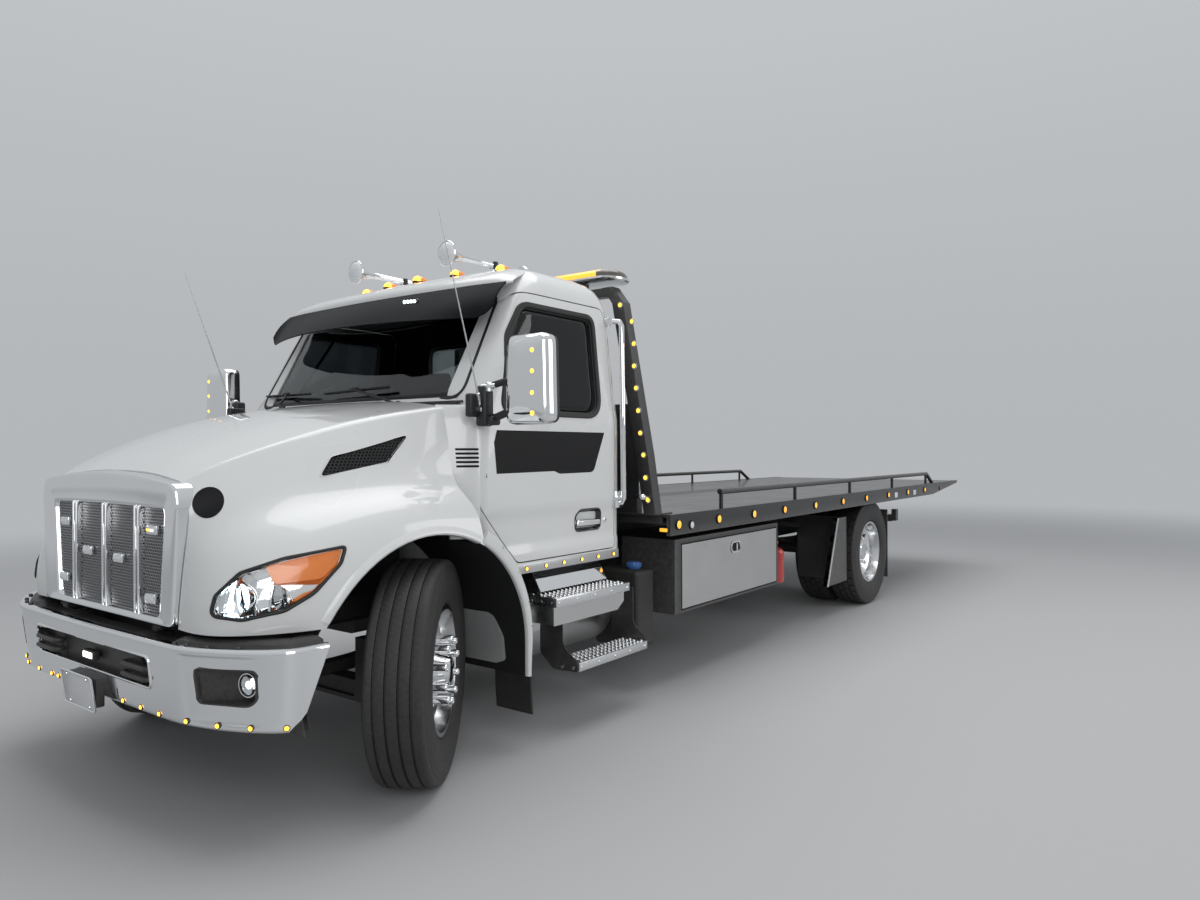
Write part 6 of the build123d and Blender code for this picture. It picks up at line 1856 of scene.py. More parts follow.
# %% Roof markers
MARKERS = [(0.620, 1.080), (-0.620, 1.080), (0.310, 1.010), (-0.310, 1.010), (0.0, 0.985)]
TEARDROP = [(-0.050, 0.004), (-0.047, 0.016), (-0.038, 0.026), (-0.022, 0.032), (0.0, 0.033), (0.028, 0.027),
            (0.060, 0.015), (0.074, 0.004)]
MARKER_LIT = 3
bm = bmesh.new()
for x, y in MARKERS:
    seat = on_cab(Vector((x, y, 2.60)), DOWN) + Vector((0, 0, 0.008))
    rows = lathe(bm, TEARDROP, seat, (0, 1, 0), 24, slot=0)
    paint([v for row in rows[:MARKER_LIT] for v in row], 1)
    foot = [seat + Vector((0.036 * cos(t), 0.012 + 0.070 * sin(t), -0.016)) for t in full_turn(24)]
    prism(bm, foot, (0, 0, 0.014), slot=2, edge=0.003)
markers = piece("roof_markers", bm, "chassis", "amber_lens", "amber lens", "amber light", "seal rubber")
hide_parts("roof_lamps")
print("roof markers:", len(MARKERS))

# %% [markdown]
# Each mirror head is a tall pressed shell. Its rings are one rounded outline, drawn in towards the front, so
# the chrome bends the whole yard into it. The rear side is recessed for the two glasses.

# %% Mirrors
HEAD = (1.252, 1.522, 1.660, 2.090)
HEAD_RINGS = [
    # station, inset, slot
    (0.392, 0.110, 0), (0.394, 0.085, 0), (0.398, 0.055, 0), (0.404, 0.030, 0), (0.413, 0.012, 0),
    (0.427, 0.003, 0), (0.450, 0.000, 0), (0.492, 0.002, 0), (0.500, 0.004, 1), (0.514, 0.005, 1),
    (0.517, 0.010, 1), (0.516, 0.016, 1), (0.506, 0.018, 1), (0.505, 0.060, 1),
]
MIRROR_ARMS = [
    # radius, then the points along the arm
    (0.019, (1.110, 0.430, 1.690), (1.180, 0.440, 1.700), (1.260, 0.452, 1.728), (1.320, 0.460, 1.760)),
    (0.017, (1.110, 0.425, 1.825), (1.160, 0.430, 1.855), (1.225, 0.440, 1.870), (1.290, 0.452, 1.880)),
]
MIRROR_AMBERS = [(1.444, z) for z in (2.005, 1.907, 1.806, 1.710)]


def head_ring(y, inset, steps=7):
    """The mirror head's rounded outline at a station, drawn in by an inset."""
    x0, x1, z0, z1 = HEAD
    lean = 0.010
    corners = [(x0 + inset, z0 + inset), (x1 - inset, z0 + inset), (x1 - inset - lean, z1 - inset),
               (x0 + inset + lean, z1 - inset)]
    return rounded([at(x, y, z) for x, z in corners], max(0.012, 0.050 - inset * 0.3), steps)


def mirror(bm):
    """The left mirror: its shell, glasses, arms and the black blocks of its bracket."""
    rings = [head_ring(y, inset) for y, inset, _ in HEAD_RINGS]
    rows = bridge(bm, rings)
    for row, (_, _, slot) in zip(rows, HEAD_RINGS):
        if slot:
            paint(row, slot)
    cap(bm, rows[0])
    cap(bm, rows[-1], 1, flip=True)
    for low, high in ((1.837, 2.065), (1.685, 1.821)):
        glass = [at(x, 0.506, z) for x, z in ((1.276, low), (1.498, low), (1.496, high), (1.278, high))]
        prism(bm, rounded(glass, 0.020, 4), (0, 0.004, 0), slot=2, edge=0.001)
    block(bm, at(1.066, 0.330, 1.700), at(1.108, 0.440, 1.815), 0.012, 1, 3)
    block(bm, at(1.082, 0.385, 1.655), at(1.150, 0.452, 1.855), 0.014, 1, 3)
    block(bm, at(1.070, 0.400, 1.660), at(1.180, 0.470, 1.705), 0.012, 1, 3)
    for radius, *path in MIRROR_ARMS:
        tube(bm, [at(*p) for p in path], radius, 14, 1)
    lathe(bm, [(-0.020, 0.019), (0.020, 0.019), (0.024, 0.014)], at(1.150, 0.415, 1.845), (0, 0, 1), 16, 3)
    tube(bm, [at(1.115, 0.400, 1.850), at(1.150, 0.405, 1.850), at(1.190, 0.418, 1.852)], 0.012, 12, 3)
    for x, z in MIRROR_AMBERS:
        lathe(bm, [(0.0, 0.0145), (0.005, 0.0145), (0.006, 0.0125)], at(x, 0.405, z), (0, -1, 0), 20, 3)
        lathe(bm, [(0.004, 0.012), (0.009, 0.011), (0.013, 0.007), (0.0145, 0.001)], at(x, 0.405, z),
              (0, -1, 0), 18, 4)


heads = pair(mirror, "door_mirrors", "chassis", "chrome", "chrome", "black plastic", "mirror glass",
             "polished alloy", "amber light")
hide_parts("mirrors")
print("mirror faces:", len(heads.data.polygons))

# %% [markdown]
# Whip antennas taper all the way up, and stand in a sprung foot. The tube along a path keeps one radius, so
# the whip is made of rings whose radius shrinks.

# %% Antennas and grab tubes
WHIP = (Vector((1.110, 0.400, 1.745)), Vector((1.150, 0.090, 2.640)))


def whip(bm):
    """The left antenna with its spring foot."""
    foot, tip = (at(*p) for p in WHIP)
    run = (tip - foot).normalized()
    length = (tip - foot).length
    lathe(bm, [(0.0, 0.012), (0.020, 0.014), (0.030, 0.010), (0.034, 0.012), (0.075, 0.011), (0.080, 0.007),
               (0.120, 0.0055), (0.125, 0.0042), (length * 0.5, 0.0032), (length, 0.0016)], foot, run, 12)
    for k in range(9):
        lathe(bm, [(0.036 + k * 0.0045, 0.0105), (0.038 + k * 0.0045, 0.0135), (0.040 + k * 0.0045, 0.0105)],
              foot, run, 12, 1, ends=False)
    block(bm, at(1.090, 0.380, 1.725), at(1.130, 0.420, 1.748), 0.004, 1)


whips = pair(whip, "whip_antennas", "chassis", "chrome", "brushed steel", "polished alloy")
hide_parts("antennas")
bm = bmesh.new()
GRAB_LOW, GRAB_HIGH = Vector((1.112, 1.612, 1.240)), Vector((1.100, 1.612, 2.290))
grip = [at(1.066, 1.612, 1.215), at(1.098, 1.612, 1.218), at(*GRAB_LOW), at(*GRAB_LOW.lerp(GRAB_HIGH, 0.5)),
        at(*GRAB_HIGH), at(1.085, 1.612, 2.318), at(1.040, 1.612, 2.325)]
tube(bm, grip, 0.0165, 18)
for z in (1.218, 2.325):
    lathe(bm, [(-0.004, 0.030), (0.006, 0.030), (0.010, 0.024)], at(1.068 if z < 2 else 0.995, 1.612, z),
          (1, 0, 0), 20)
block(bm, at(1.066, 1.560, 1.185), at(1.086, 1.640, 1.290), 0.006, 1)
block(bm, at(1.072, 1.585, 1.230), at(1.108, 1.640, 1.262), 0.006, 1)
tubes = piece("grab_tubes", bm, "chassis", "chrome", "chrome", "polished alloy", both=True)
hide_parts("grab_handles")
print("antennas and grab tubes made")

# %% [markdown]
# The door wears its handle in a black dish. A hole is cut in the skin first, so the dish really lies behind
# the panel and the chrome lever crosses it. The plain dark banner keeps the place of the painted lettering.

# %% Door handle
DISH = side_line([(1.200, 1.075), (1.430, 1.075), (1.438, 1.190), (1.250, 1.190), (1.200, 1.160)],
                 [0.030, 0.030, 0.035, 0.040, 0.040], 6)
for way, word in SIDES:
    cutter = bmesh.new()
    side_block(cutter, DISH, way * 1.040, way * 1.200)
    cut_away(doors[word], cutter)
    crisp(doors[word], 40)


def handle(bm):
    """The left door's handle."""
    band(bm, DISH, FROM_LEFT, [(0.009, -0.001), (0.008, 0.003), (0.004, 0.005), (-0.001, 0.003),
                               (-0.004, -0.020), (-0.016, -0.026)])
    film(bm, grown(DISH, -0.016), FROM_LEFT, -0.026, 0, 3)
    lever = side_line([(1.208, 1.096), (1.430, 1.096), (1.434, 1.130), (1.216, 1.138)], 0.014, 5)
    rows = [(0.0, -0.010), (0.001, -0.002), (-0.002, 0.005), (-0.006, 0.009), (-0.011, 0.010)]
    made = band(bm, lever, FROM_LEFT, rows, 1)
    cap(bm, made[0], 1)
    cap(bm, made[-1], 1)
    lock = on_cab(Vector((1.0, 1.478, 1.120)), FROM_LEFT)
    lathe(bm, [(-0.001, 0.014), (0.004, 0.014), (0.005, 0.011)], lock, (1, 0, 0), 20, 1)


sides(handle, "door_handle", "door_{}", "black_plastic", "gloss black", "chrome")
BANNER = side_line([(0.475, 1.400), (1.365, 1.408), (1.472, 1.640), (0.552, 1.640)],
                   [0.004, 0.050, 0.004, 0.004], 6)


def banner(bm):
    """The plain banner on the left door."""
    film(bm, BANNER, FROM_LEFT, 0.0008, 0, 5)


sides(banner, "door_banner", "door_{}", "black_paint", "decal black")
print("door trim made, dish outline:", len(DISH), "points")

# %% Wipers
WIPERS = [
    # pivot x, pivot z, blade's inner end (x, z), blade's outer end (x, z)
    (0.525, 1.792, (-0.206, 1.858), (0.356, 1.872)),
    (-0.542, 1.806, (-0.363, 1.866), (-0.880, 1.870)),
]
bm = bmesh.new()
for pivot_x, pivot_z, inner, outer in WIPERS:
    pivot = at(pivot_x, 0.372, pivot_z - 0.014)
    ends = [on_cab(Vector((x, 0.5, z)), FROM_FRONT, 0.016) for x, z in (inner, outer)]
    middle = ends[0].lerp(ends[1], 0.5)
    middle = on_cab(Vector((middle.x, 0.5, middle.z)), FROM_FRONT, 0.026)
    tube(bm, [pivot, pivot.lerp(middle, 0.25) + Vector((0, -0.020, 0.010)), pivot.lerp(middle, 0.75), middle],
         0.0075, 10)
    lathe(bm, [(-0.02, 0.020), (0.012, 0.020), (0.020, 0.012)], pivot, (0, -0.5, 0.8), 18)
    spots = [ends[0].lerp(ends[1], k / 10) for k in range(11)]
    rubber = [on_cab(Vector((p.x, 0.5, p.z)), FROM_FRONT, 0.010) for p in spots]
    tube(bm, rubber, 0.006, 8)
    tube(bm, [p + Vector((0, -0.012, 0.004)) for p in rubber], 0.0055, 8)
    half = Vector((0.030, 0.012, 0.010))
    block(bm, middle - half, middle + half, 0.006)
piece("wipers", bm, "chassis", "black_plastic", "black plastic")
print("wipers:", len(WIPERS))

# %% [markdown]
# ## Skirts, sill and steps
# Behind each front wheel a narrow white skirt carries the fender's line down to the mud flap. Its section is
# one ring of points, set out at every few degrees of the arch, and it narrows on the way down.

# %% Fender skirts
SKIRT_TOP_TURN = 62
SKIRT_FOOT = 0.380
FLAP_EDGE = ((0.930, 0.679), (1.180, 0.677), (1.183, 0.683), (1.180, 0.689), (0.930, 0.691))


def skirt_stations():
    """Along the skirt: station and height on its inner edge, the way outwards, and its width."""
    mid_y, mid_z = ARCH_CENTRE
    out = []
    for k in range(17):
        turn = radians(SKIRT_TOP_TURN * (1 - k / 16))
        out.append((mid_y + ARCH_R * cos(turn), mid_z + ARCH_R * sin(turn), cos(turn), sin(turn)))
    for k in range(1, 7):
        out.append((mid_y + ARCH_R, mid_z + (SKIRT_FOOT - mid_z) * k / 6, 1.0, 0.0))
    return [(*s, 0.076 - 0.042 * k / (len(out) - 1)) for k, s in enumerate(out)]


def skirt(bm):
    """The left skirt with the small bolts along its outer edge."""
    rings = []
    stations = skirt_stations()
    for y, z, out_y, out_z, wide in stations:
        profile = [(1.156, 0.006), (1.168, 0.002), (1.179, 0.005), (1.185, 0.012), (1.187, 0.020),
                   (1.184, wide - 0.012), (1.176, wide - 0.003), (1.160, wide), (1.150, wide - 0.004)]
        rings.append([at(x, y + out_y * d, z + out_z * d) for x, d in profile])
    rows = bridge(bm, rings)
    cap(bm, rows[0])
    cap(bm, rows[-1], flip=True)
    for k in (3, 7, 11, 14, 18):
        y, z, out_y, out_z, wide = stations[k]
        centre = at(1.183, y + out_y * (wide - 0.018), z + out_z * (wide - 0.018))
        lathe(bm, [(0.0, 0.0065), (0.003, 0.006), (0.005, 0.003), (0.0055, 0.0005)], centre, (1, 0, 0), 12, 1)


def wheel_well_shade_and_flap(bm):
    """The left wheel well's near-black sheets over the wheel, painted shade for the dark round the tyre, with
    the rubber flap and its bolts.
    """
    for outer, off in ((1.168, 0.008), (1.156, 0.016)):
        line = [(y + out_y * off, z + out_z * off) for y, z, out_y, out_z, _ in skirt_stations()]
        bridge(bm, [[at(x, y, z) for y, z in line] for x in (0.600, 0.830, outer)], closed=False)
    flap = []
    for k in range(9):
        z = 0.420 - k * 0.030
        bend = 0.012 * (k / 8) ** 2
        flap.append([at(x, y + bend, z) for x, y in FLAP_EDGE])
    made = bridge(bm, flap, slot=1)
    cap(bm, made[0], 1)
    cap(bm, made[-1], 1, flip=True)
    for x in (0.955, 1.010, 1.070, 1.130):
        lathe(bm, [(0, 0.009), (0.005, 0.009), (0.007, 0.005)], at(x, 0.677, 0.392), (0, -1, 0), 10, 2)


def skirt_panel(bm):
    """The left pale guard panel behind the wheel, pressed with a round corner."""
    outline = [at(x, 0.655, z) for x, z in ((0.700, 0.860), (0.835, 0.840), (0.835, 0.700), (0.940, 0.668),
                                            (1.005, 0.560), (1.020, 0.440), (0.960, 0.420), (0.700, 0.420))]
    prism(bm, rounded(outline, [0.01, 0.02, 0.05, 0.06, 0.08, 0.02, 0.02, 0.01], 5), (0, 0.014, 0),
          edge=0.004)


skirts = pair(skirt, "fender_skirts", "chassis", "white_paint", "white paint", "brushed steel")
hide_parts("cowl_skirts")
# The sheets over the wheels are painted shade: a near-black for the dark wheel well behind each skirt.
pair(wheel_well_shade_and_flap, "wheel_well_shades_and_flaps", "chassis", "black_plastic", "painted shade black", "flap rubber", "brushed steel")
pair(skirt_panel, "guard_panels", "chassis", "engine_grey", "guard grey")
print("skirt stations:", len(skirt_stations()))

# %% [markdown]
# The steps are folded from bright sheet. Their grip is punched: rows of small raised rings with open tops,
# made by one loop. Rivets run along the folded front and end faces.

# %% Punched treads
GRIP_R = 0.0105
GRIP_RISE = 0.0055
GRIP = [(-0.001, GRIP_R + 0.003), (GRIP_RISE * 0.5, GRIP_R), (GRIP_RISE, GRIP_R - 0.002),
        (GRIP_RISE, GRIP_R - 0.0045), (GRIP_RISE * 0.3, GRIP_R - 0.006)]
SHEET = 0.003


def tread(bm, x0, x1, y0, y1, top, lip):
    """A folded tread between two edges with its punched grip and rivets."""
    block(bm, at(x0, y0, top - SHEET), at(x1, y1, top), 0.0012)
    block(bm, at(x1 - SHEET, y0, top - lip), at(x1, y1, top - 0.001), 0.0012)
    for y in (y0, y1 - SHEET):
        block(bm, at(x0, y, top - lip), at(x1, y + SHEET, top - 0.001), 0.0012)
    block(bm, at(x0, y0, top - lip * 0.6), at(x0 + SHEET, y1, top - 0.001), 0.001)
    down = max(2, round((x1 - x0 - 0.03) / 0.036))
    along = round((y1 - y0 - 0.04) / 0.036)
    for i in range(down):
        for j in range(along):
            x = x0 + 0.024 + (x1 - x0 - 0.048) * i / (down - 1)
            y = y0 + 0.028 + (y1 - y0 - 0.056) * (j + (i % 2) * 0.5) / (along - 0.5)
            lathe(bm, GRIP, at(x, y, top), (0, 0, 1), 10)
    rivets = max(3, round((y1 - y0) / 0.16))
    for k in range(rivets + 1):
        y = y0 + 0.022 + (y1 - y0 - 0.044) * k / rivets
        lathe(bm, [(0.0, 0.0065), (0.002, 0.006), (0.0035, 0.003), (0.004, 0.0005)],
              at(x1, y, top - lip * 0.55), (1, 0, 0), 10, 1)
    for k in range(3):
        x = x0 + (x1 - x0) * (k + 0.5) / 3
        lathe(bm, [(0.0, 0.006), (0.002, 0.0055), (0.0035, 0.0005)], at(x, y0, top - lip * 0.55), (0, -1, 0),
              10, 1)


UPPER = (0.990, 1.200, 0.865, 1.545, 0.750, 0.048)
LOWER = (1.085, 1.255, 0.990, 1.650, 0.392, 0.047)


def steps(bm):
    """The left pair of steps on their black side plates."""
    tread(bm, *UPPER)
    tread(bm, *LOWER)
    riser = [at(1.162, y, z) for y, z in ((0.885, 0.703), (1.535, 0.703), (1.535, 0.640), (1.470, 0.596),
                                          (0.885, 0.596))]
    prism(bm, riser, (SHEET, 0, 0), 4)
    block(bm, at(1.000, 0.885, 0.600), at(1.162, 0.888, 0.703), 0.001, 4)
    for y in (0.975, 1.652):
        plate = [at(x, y, z) for x, z in ((0.990, 0.702), (1.150, 0.702), (1.150, 0.500), (1.175, 0.455),
                                          (1.255, 0.400), (1.255, 0.345), (1.085, 0.340), (0.990, 0.420))]
        prism(bm, rounded(plate, [0.0, 0.0, 0.05, 0.04, 0.01, 0.01, 0.06, 0.03], 5), (0, 0.006, 0), 2,
              edge=0.001)
        for x, z in ((1.225, 0.366), (1.150, 0.362)):
            lathe(bm, [(0, 0.010), (0.006, 0.010), (0.008, 0.006)], at(x, y, z), (0, -1, 0), 6, 1)
    plate = [at(x, 0.900, z) for x, z in ((0.996, 0.870), (1.000, 0.874), (1.062, 0.768), (1.058, 0.764))]
    prism(bm, plate, (0, 0.600, 0), 3)
    for y in (0.960, 1.500):
        block(bm, at(0.560, y, 0.700), at(0.990, y + 0.040, 0.742), 0.003, 2)


bright = pair(steps, "cab_treads", "chassis", "aluminium", "step sheet", "polished alloy", "black steel",
              "chrome", "brushed steel")
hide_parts("cab_steps")
print("step faces:", len(bright.data.polygons))

# %% [markdown]
# Under each door runs a stainless strip with six amber lamps. A lamp is always the same small form here, a
# rim and a dome, so one helper makes them all; the bed uses it again.

# %% Sill strip and its lamps


def lamp(bm, centre, axis, radius, rise=0.35, rim=0, dome=1, steps=20):
    """A round lamp: a rim flat on its seat and a dome in it."""
    lathe(bm, [(-0.002, radius), (radius * 0.22, radius), (radius * 0.28, radius * 0.94),
               (radius * 0.26, radius * 0.84)], centre, axis, steps, rim)
    lathe(bm, [(0.0, radius * 0.84), (radius * 0.24, radius * 0.82), (radius * rise, radius * 0.55),
               (radius * (rise + 0.07), radius * 0.02)], centre, axis, steps, dome)


SILL_LAMPS = [0.771, 0.929, 1.083, 1.246, 1.402, 1.556]
SILL_Z = 0.910


def sill(bm):
    """The left strip under the door."""
    strip = [at(1.0705, y, z) for y, z in ((0.700, 0.886), (1.610, 0.886), (1.610, 0.936), (0.690, 0.936))]
    prism(bm, strip, (0.0035, 0, 0), 0, edge=0.001)
    for y in SILL_LAMPS:
        lamp(bm, at(1.074, y, SILL_Z), (1, 0, 0), 0.0125, 0.5, 1, 2)


pair(sill, "sill_strips", "chassis", "aluminium", "brushed steel", "seal rubber", "amber light")
bm = bmesh.new()
lathe(bm, [(0.0, 0.041), (0.010, 0.044), (0.030, 0.044), (0.040, 0.038), (0.043, 0.020)],
      at(1.010, 1.870, 0.781), (0, 0, 1), 32)
half = Vector((0.003, 0.003, 0.012))
for t in full_turn(18):
    rib = at(1.010 + 0.044 * cos(t), 1.870 + 0.044 * sin(t), 0.803)
    block(bm, rib - half, rib + half, 0.001)
piece("fluid_cap", bm, "chassis", "black_plastic", "blue plastic")
print("sill lamps:", len(SILL_LAMPS))

# %% [markdown]
# ## The bed
# Along the bed's rails sit round amber lamps, unevenly spaced as they were fitted, and smaller ones climb
# both posts of the headboard. Their places are lists; the form of the lamp is the helper from the sill.

# %% Rail lamps
RAIL_X = 1.268
RAIL_AMBERS = [1.990, 2.518, 3.054, 3.591, 4.215, 4.855, 5.485, 6.154, 6.818, 7.468]
RAIL_LAMP_Z = 1.064
RAIL_REFLECTORS = [6.413, 7.076]


def rail_lamps(bm):
    """Lamps and reflectors on the left rail."""
    for y in RAIL_AMBERS:
        lamp(bm, at(RAIL_X, y, RAIL_LAMP_Z), (1, 0, 0), 0.033, 0.32, 0, 1, 28)
    lamp(bm, at(RAIL_X, 2.154, 1.050), (1, 0, 0), 0.030, 0.30, 0, 2, 28)
    lamp(bm, at(RAIL_X, 8.132, 1.058), (1, 0, 0), 0.026, 0.32, 0, 3, 24)
    for y in RAIL_REFLECTORS:
        block(bm, at(RAIL_X - 0.001, y - 0.045, 1.024), at(RAIL_X + 0.005, y + 0.045, 1.078), 0.003, 2)
    block(bm, at(1.190, 1.884, 1.018), at(1.262, 1.896, 1.052), 0.004, 0)
    block(bm, at(1.198, 1.879, 1.024), at(1.254, 1.886, 1.046), 0.004, 1)


pair(rail_lamps, "rail_lamps", "bed", "amber_lens", "seal rubber", "amber glow", "frosted lens", "red lens")
POST_LAMPS = [
    # x, z on the front face of the left post
    (0.944, 2.463), (1.035, 2.350), (1.050, 2.208), (1.051, 2.067), (1.066, 1.927), (1.082, 1.784),
    (1.097, 1.643), (1.120, 1.505), (1.134, 1.363), (1.152, 1.224),
]
POST_FACE = 1.820
bm = bmesh.new()
for x, z in POST_LAMPS:
    lamp(bm, at(x, POST_FACE, z), (0, -1, 0), 0.0165, 0.45, 0, 1)
    lathe(bm, [(-0.002, 0.020), (0.002, 0.020), (0.0025, 0.017)], at(x, POST_FACE, z), (0, -1, 0), 20, 2)
tube(bm, [at(1.150, 1.824, 1.245), at(1.150, 1.770, 1.245)], 0.007, 10, 2)
ball = [(0.022 * -cos(pi * k / 10), 0.022 * sin(pi * k / 10)) for k in range(11)]
lathe(bm, ball, at(1.150, 1.760, 1.245), (0, -1, 0), 20, 2)
piece("headboard_lamps", bm, "bed", "amber_lens", "seal rubber", "amber light", "chrome", both=True)
print("rail lamps:", len(RAIL_AMBERS), "post lamps:", len(POST_LAMPS))

# %% [markdown]
# The light bar has a bright base and a domed lens over lit and unlit modules. Its outline is
# one rounded plan drawn in towards the top, so the ends come out round from every side.

# %% Light bar
BAR_HALF = 0.945
BAR_Y = (1.710, 2.010)
BAR_RINGS = [
    # height, inset, slot: 0 base, 1 lens
    (2.624, 0.030, 0), (2.626, 0.010, 0), (2.634, 0.002, 0), (2.646, 0.000, 0), (2.648, 0.010, 1),
    (2.670, 0.012, 1), (2.684, 0.020, 1), (2.693, 0.036, 1), (2.698, 0.060, 1), (2.700, 0.100, 1),
]
LIT = (0.420, 0.830)
END_BOW = 0.11


def bar_ring(z, inset):
    """The light bar's outline at a height, with points spread along its length."""
    low, high = BAR_Y
    half = BAR_HALF - inset
    wide = (high - low) / 2 - inset
    mid = (low + high) / 2
    line = []
    for k in range(13):
        t = -pi / 2 + pi * k / 12
        line.append((half - END_BOW + END_BOW * max(0.0, cos(t)) ** 0.8, mid + wide * sin(t)))
    for k in range(1, 24):
        x = (half - END_BOW) * (1 - 2 * k / 24)
        line.append((x, mid + wide))
    far = [(-x, y) for x, y in reversed(line[:13])]
    near = [((half - END_BOW) * (-1 + 2 * k / 24), mid - wide) for k in range(1, 24)]
    return [at(x, y, z) for x, y in [*line, *far, *near]]


bm = bmesh.new()
rows = bridge(bm, [bar_ring(z, inset) for z, inset, _ in BAR_RINGS])
cap(bm, rows[0])
cap(bm, rows[-1], 1, flip=True)
for row, (_, _, slot) in zip(rows, BAR_RINGS):
    for face in {f for v in row for f in v.link_faces}:
        if slot:
            across_x = abs(face.calc_center_median().x)
            face.material_index = 2 if LIT[0] < across_x < LIT[1] else 1
for side in (1, -1):
    block(bm, at(side * 0.540, 1.800, 2.588), at(side * 0.620, 1.920, 2.626), 0.004, 3)
bar = piece("beacon_bar", bm, "bed", "amber_lens", "polished alloy", "smoked lens", "amber glow",
            "black steel")
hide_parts("light_bar")
print("light bar faces:", len(bar.data.polygons))

# %% [markdown]
# Toolbox doors open by a T handle that folds into a chrome dish. Dish and handle ride on the door.

# %% Toolbox handles
DOOR_FACE_X = 1.202
T_PLACE = (2.895, 0.835)
SQUARE = ((-1, -1), (1, -1), (1, 1), (-1, 1))
# The smaller plate on each dish is painted shade: a near-black on the flat chrome that stands in for the
# dish's dark hollow.
DISHES = [
    # how proud, half length, half height, corner radius, thickness, slot, edge radius
    (0.0, 0.072, 0.042, 0.040, 0.003, 0, 0.001),
    (0.003, 0.058, 0.030, 0.029, 0.0008, 1, 0.0),
]


def toolbox_handle(bm):
    """The left toolbox door's dish, its T handle and two rivets."""
    y, z = T_PLACE
    for proud, half_y, half_z, corner, thick, slot, edge in DISHES:
        dish = [at(DOOR_FACE_X + proud, y + a * half_y, z + b * half_z) for a, b in SQUARE]
        prism(bm, rounded(dish, corner, 8), (thick, 0, 0), slot, edge)
    tube(bm, [at(DOOR_FACE_X + 0.010, y, z - 0.026), at(DOOR_FACE_X + 0.010, y, z + 0.026)], 0.007, 12, 0)
    tube(bm, [at(DOOR_FACE_X + 0.003, y, z), at(DOOR_FACE_X + 0.012, y, z)], 0.008, 12, 0)
    for dy in (-0.064, 0.064):
        lathe(bm, [(0, 0.005), (0.0025, 0.004), (0.003, 0.0005)], at(DOOR_FACE_X + 0.003, y + dy, z),
              (1, 0, 0), 8, 2)


sides(toolbox_handle, "toolbox_latch", "toolbox_door_{}", "chrome", "chrome", "painted shade black", "brushed steel")

# %% Winch rope and tail lamps
WINCH_AT = at(0.0, 2.180, 1.290)
ROPE_R = 0.0055
ROPE_HALF = 0.165
bm = bmesh.new()
profile = [(-ROPE_HALF, 0.075)]
turns = round(ROPE_HALF / ROPE_R)
for k in range(turns):
    start = -ROPE_HALF + 2 * ROPE_R * k
    for t in (0.12, 0.3, 0.5, 0.7, 0.88):
        profile.append((start + 2 * ROPE_R * t, 0.080 + ROPE_R * sin(pi * t)))
profile.append((ROPE_HALF, 0.075))
lathe(bm, profile, WINCH_AT, (1, 0, 0), 40)
piece("winch_rope", bm, "winch_drum", "black_paint", "wire rope", angle=60)
TAIL_Y = 6.876
bm = bmesh.new()
for x, look in ((0.640, 1), (0.770, 1), (0.900, 2)):
    lamp(bm, at(x, TAIL_Y, 0.710), (0, 1, 0), 0.052, 0.28, 0, look, 36)
piece("tail_lenses", bm, "chassis", "red_lens", "seal rubber", "red lens", "frosted lens", both=True)
print("winch rope turns:", turns)

# %% [markdown]
# The horns have spun bells. A lathe profile gives the flare and its rolled rim, and a domed grey cover keeps
# the rain out of each bell.

# %% Horns
HORN_X = 0.420
BELL_Y = 0.815
HORN_Z = 2.680
BELL = [(0.002, 0.066), (-0.002, 0.072), (0.002, 0.0755), (0.008, 0.073), (0.020, 0.062), (0.040, 0.048),
        (0.070, 0.036), (0.110, 0.027), (0.170, 0.021), (0.300, 0.0185), (0.600, 0.0175), (0.640, 0.0175),
        (0.641, 0.040), (0.650, 0.043), (0.700, 0.043), (0.712, 0.036), (0.716, 0.010)]


def stand(bm, foot, half_x, half_y, top, edge, slot):
    """A block that stands on a place of the roof up to a height, in line with the horn."""
    block(bm, Vector((HORN_X - half_x, foot.y - half_y, foot.z)),
          Vector((HORN_X + half_x, foot.y + half_y, top)), edge, slot)


def horn(bm):
    """The left horn on its foot."""
    lathe(bm, BELL, at(HORN_X, BELL_Y, HORN_Z), (0, 1, 0), 40, 0)
    lathe(bm, [(0.004, 0.069), (-0.006, 0.062), (-0.014, 0.045), (-0.019, 0.022), (-0.020, 0.001)],
          at(HORN_X, BELL_Y, HORN_Z), (0, 1, 0), 40, 1)
    seat = on_cab(Vector((HORN_X, 1.210, 2.7)), DOWN, -0.002)
    stand(bm, seat, 0.030, 0.040, seat.z + 0.008, 0.003, 0)
    stand(bm, seat, 0.006, 0.016, HORN_Z - 0.012, 0.002, 0)
    block(bm, at(HORN_X - 0.026, 1.194, HORN_Z - 0.020), at(HORN_X + 0.026, 1.226, HORN_Z + 0.022), 0.008, 2)
    foot = on_cab(Vector((HORN_X, 1.490, 2.7)), DOWN, -0.002)
    stand(bm, foot, 0.012, 0.016, HORN_Z - 0.036, 0.002, 2)


horns = pair(horn, "roof_horns", "chassis", "chrome", "chrome", "frosted lens", "black plastic")
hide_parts("air_horns")
print("horns made")

# %% Rear quarter fender edges
QUARTER = [(4.675, 0.300), (4.935, 0.900)]
bm = bmesh.new()
(y0, z0), (y1, z1) = QUARTER
strip = [at(1.150, y0, z0), at(1.1905, y0, z0), at(1.1905, y0 + 0.036, z0), at(1.188, y0 + 0.036, z0),
         at(1.188, y0 - 0.001, z0), at(1.150, y0 - 0.001, z0)]
prism(bm, strip, Vector((0, y1 - y0, z1 - z0)), 0)
piece("quarter_edges", bm, "chassis", "chrome", "chrome", both=True)
print("quarter fender edges made")

# %% [markdown]
# ## Inside the cab
# Seats show through the windshield and the back light. A cushion is a crowned form whose sides pull in: the
# grid below gives every point a height that falls away towards the edges, and sewn channels press lines into
# it.

# %% Seat cushions
SEAT_X = 0.430
GRID = 28


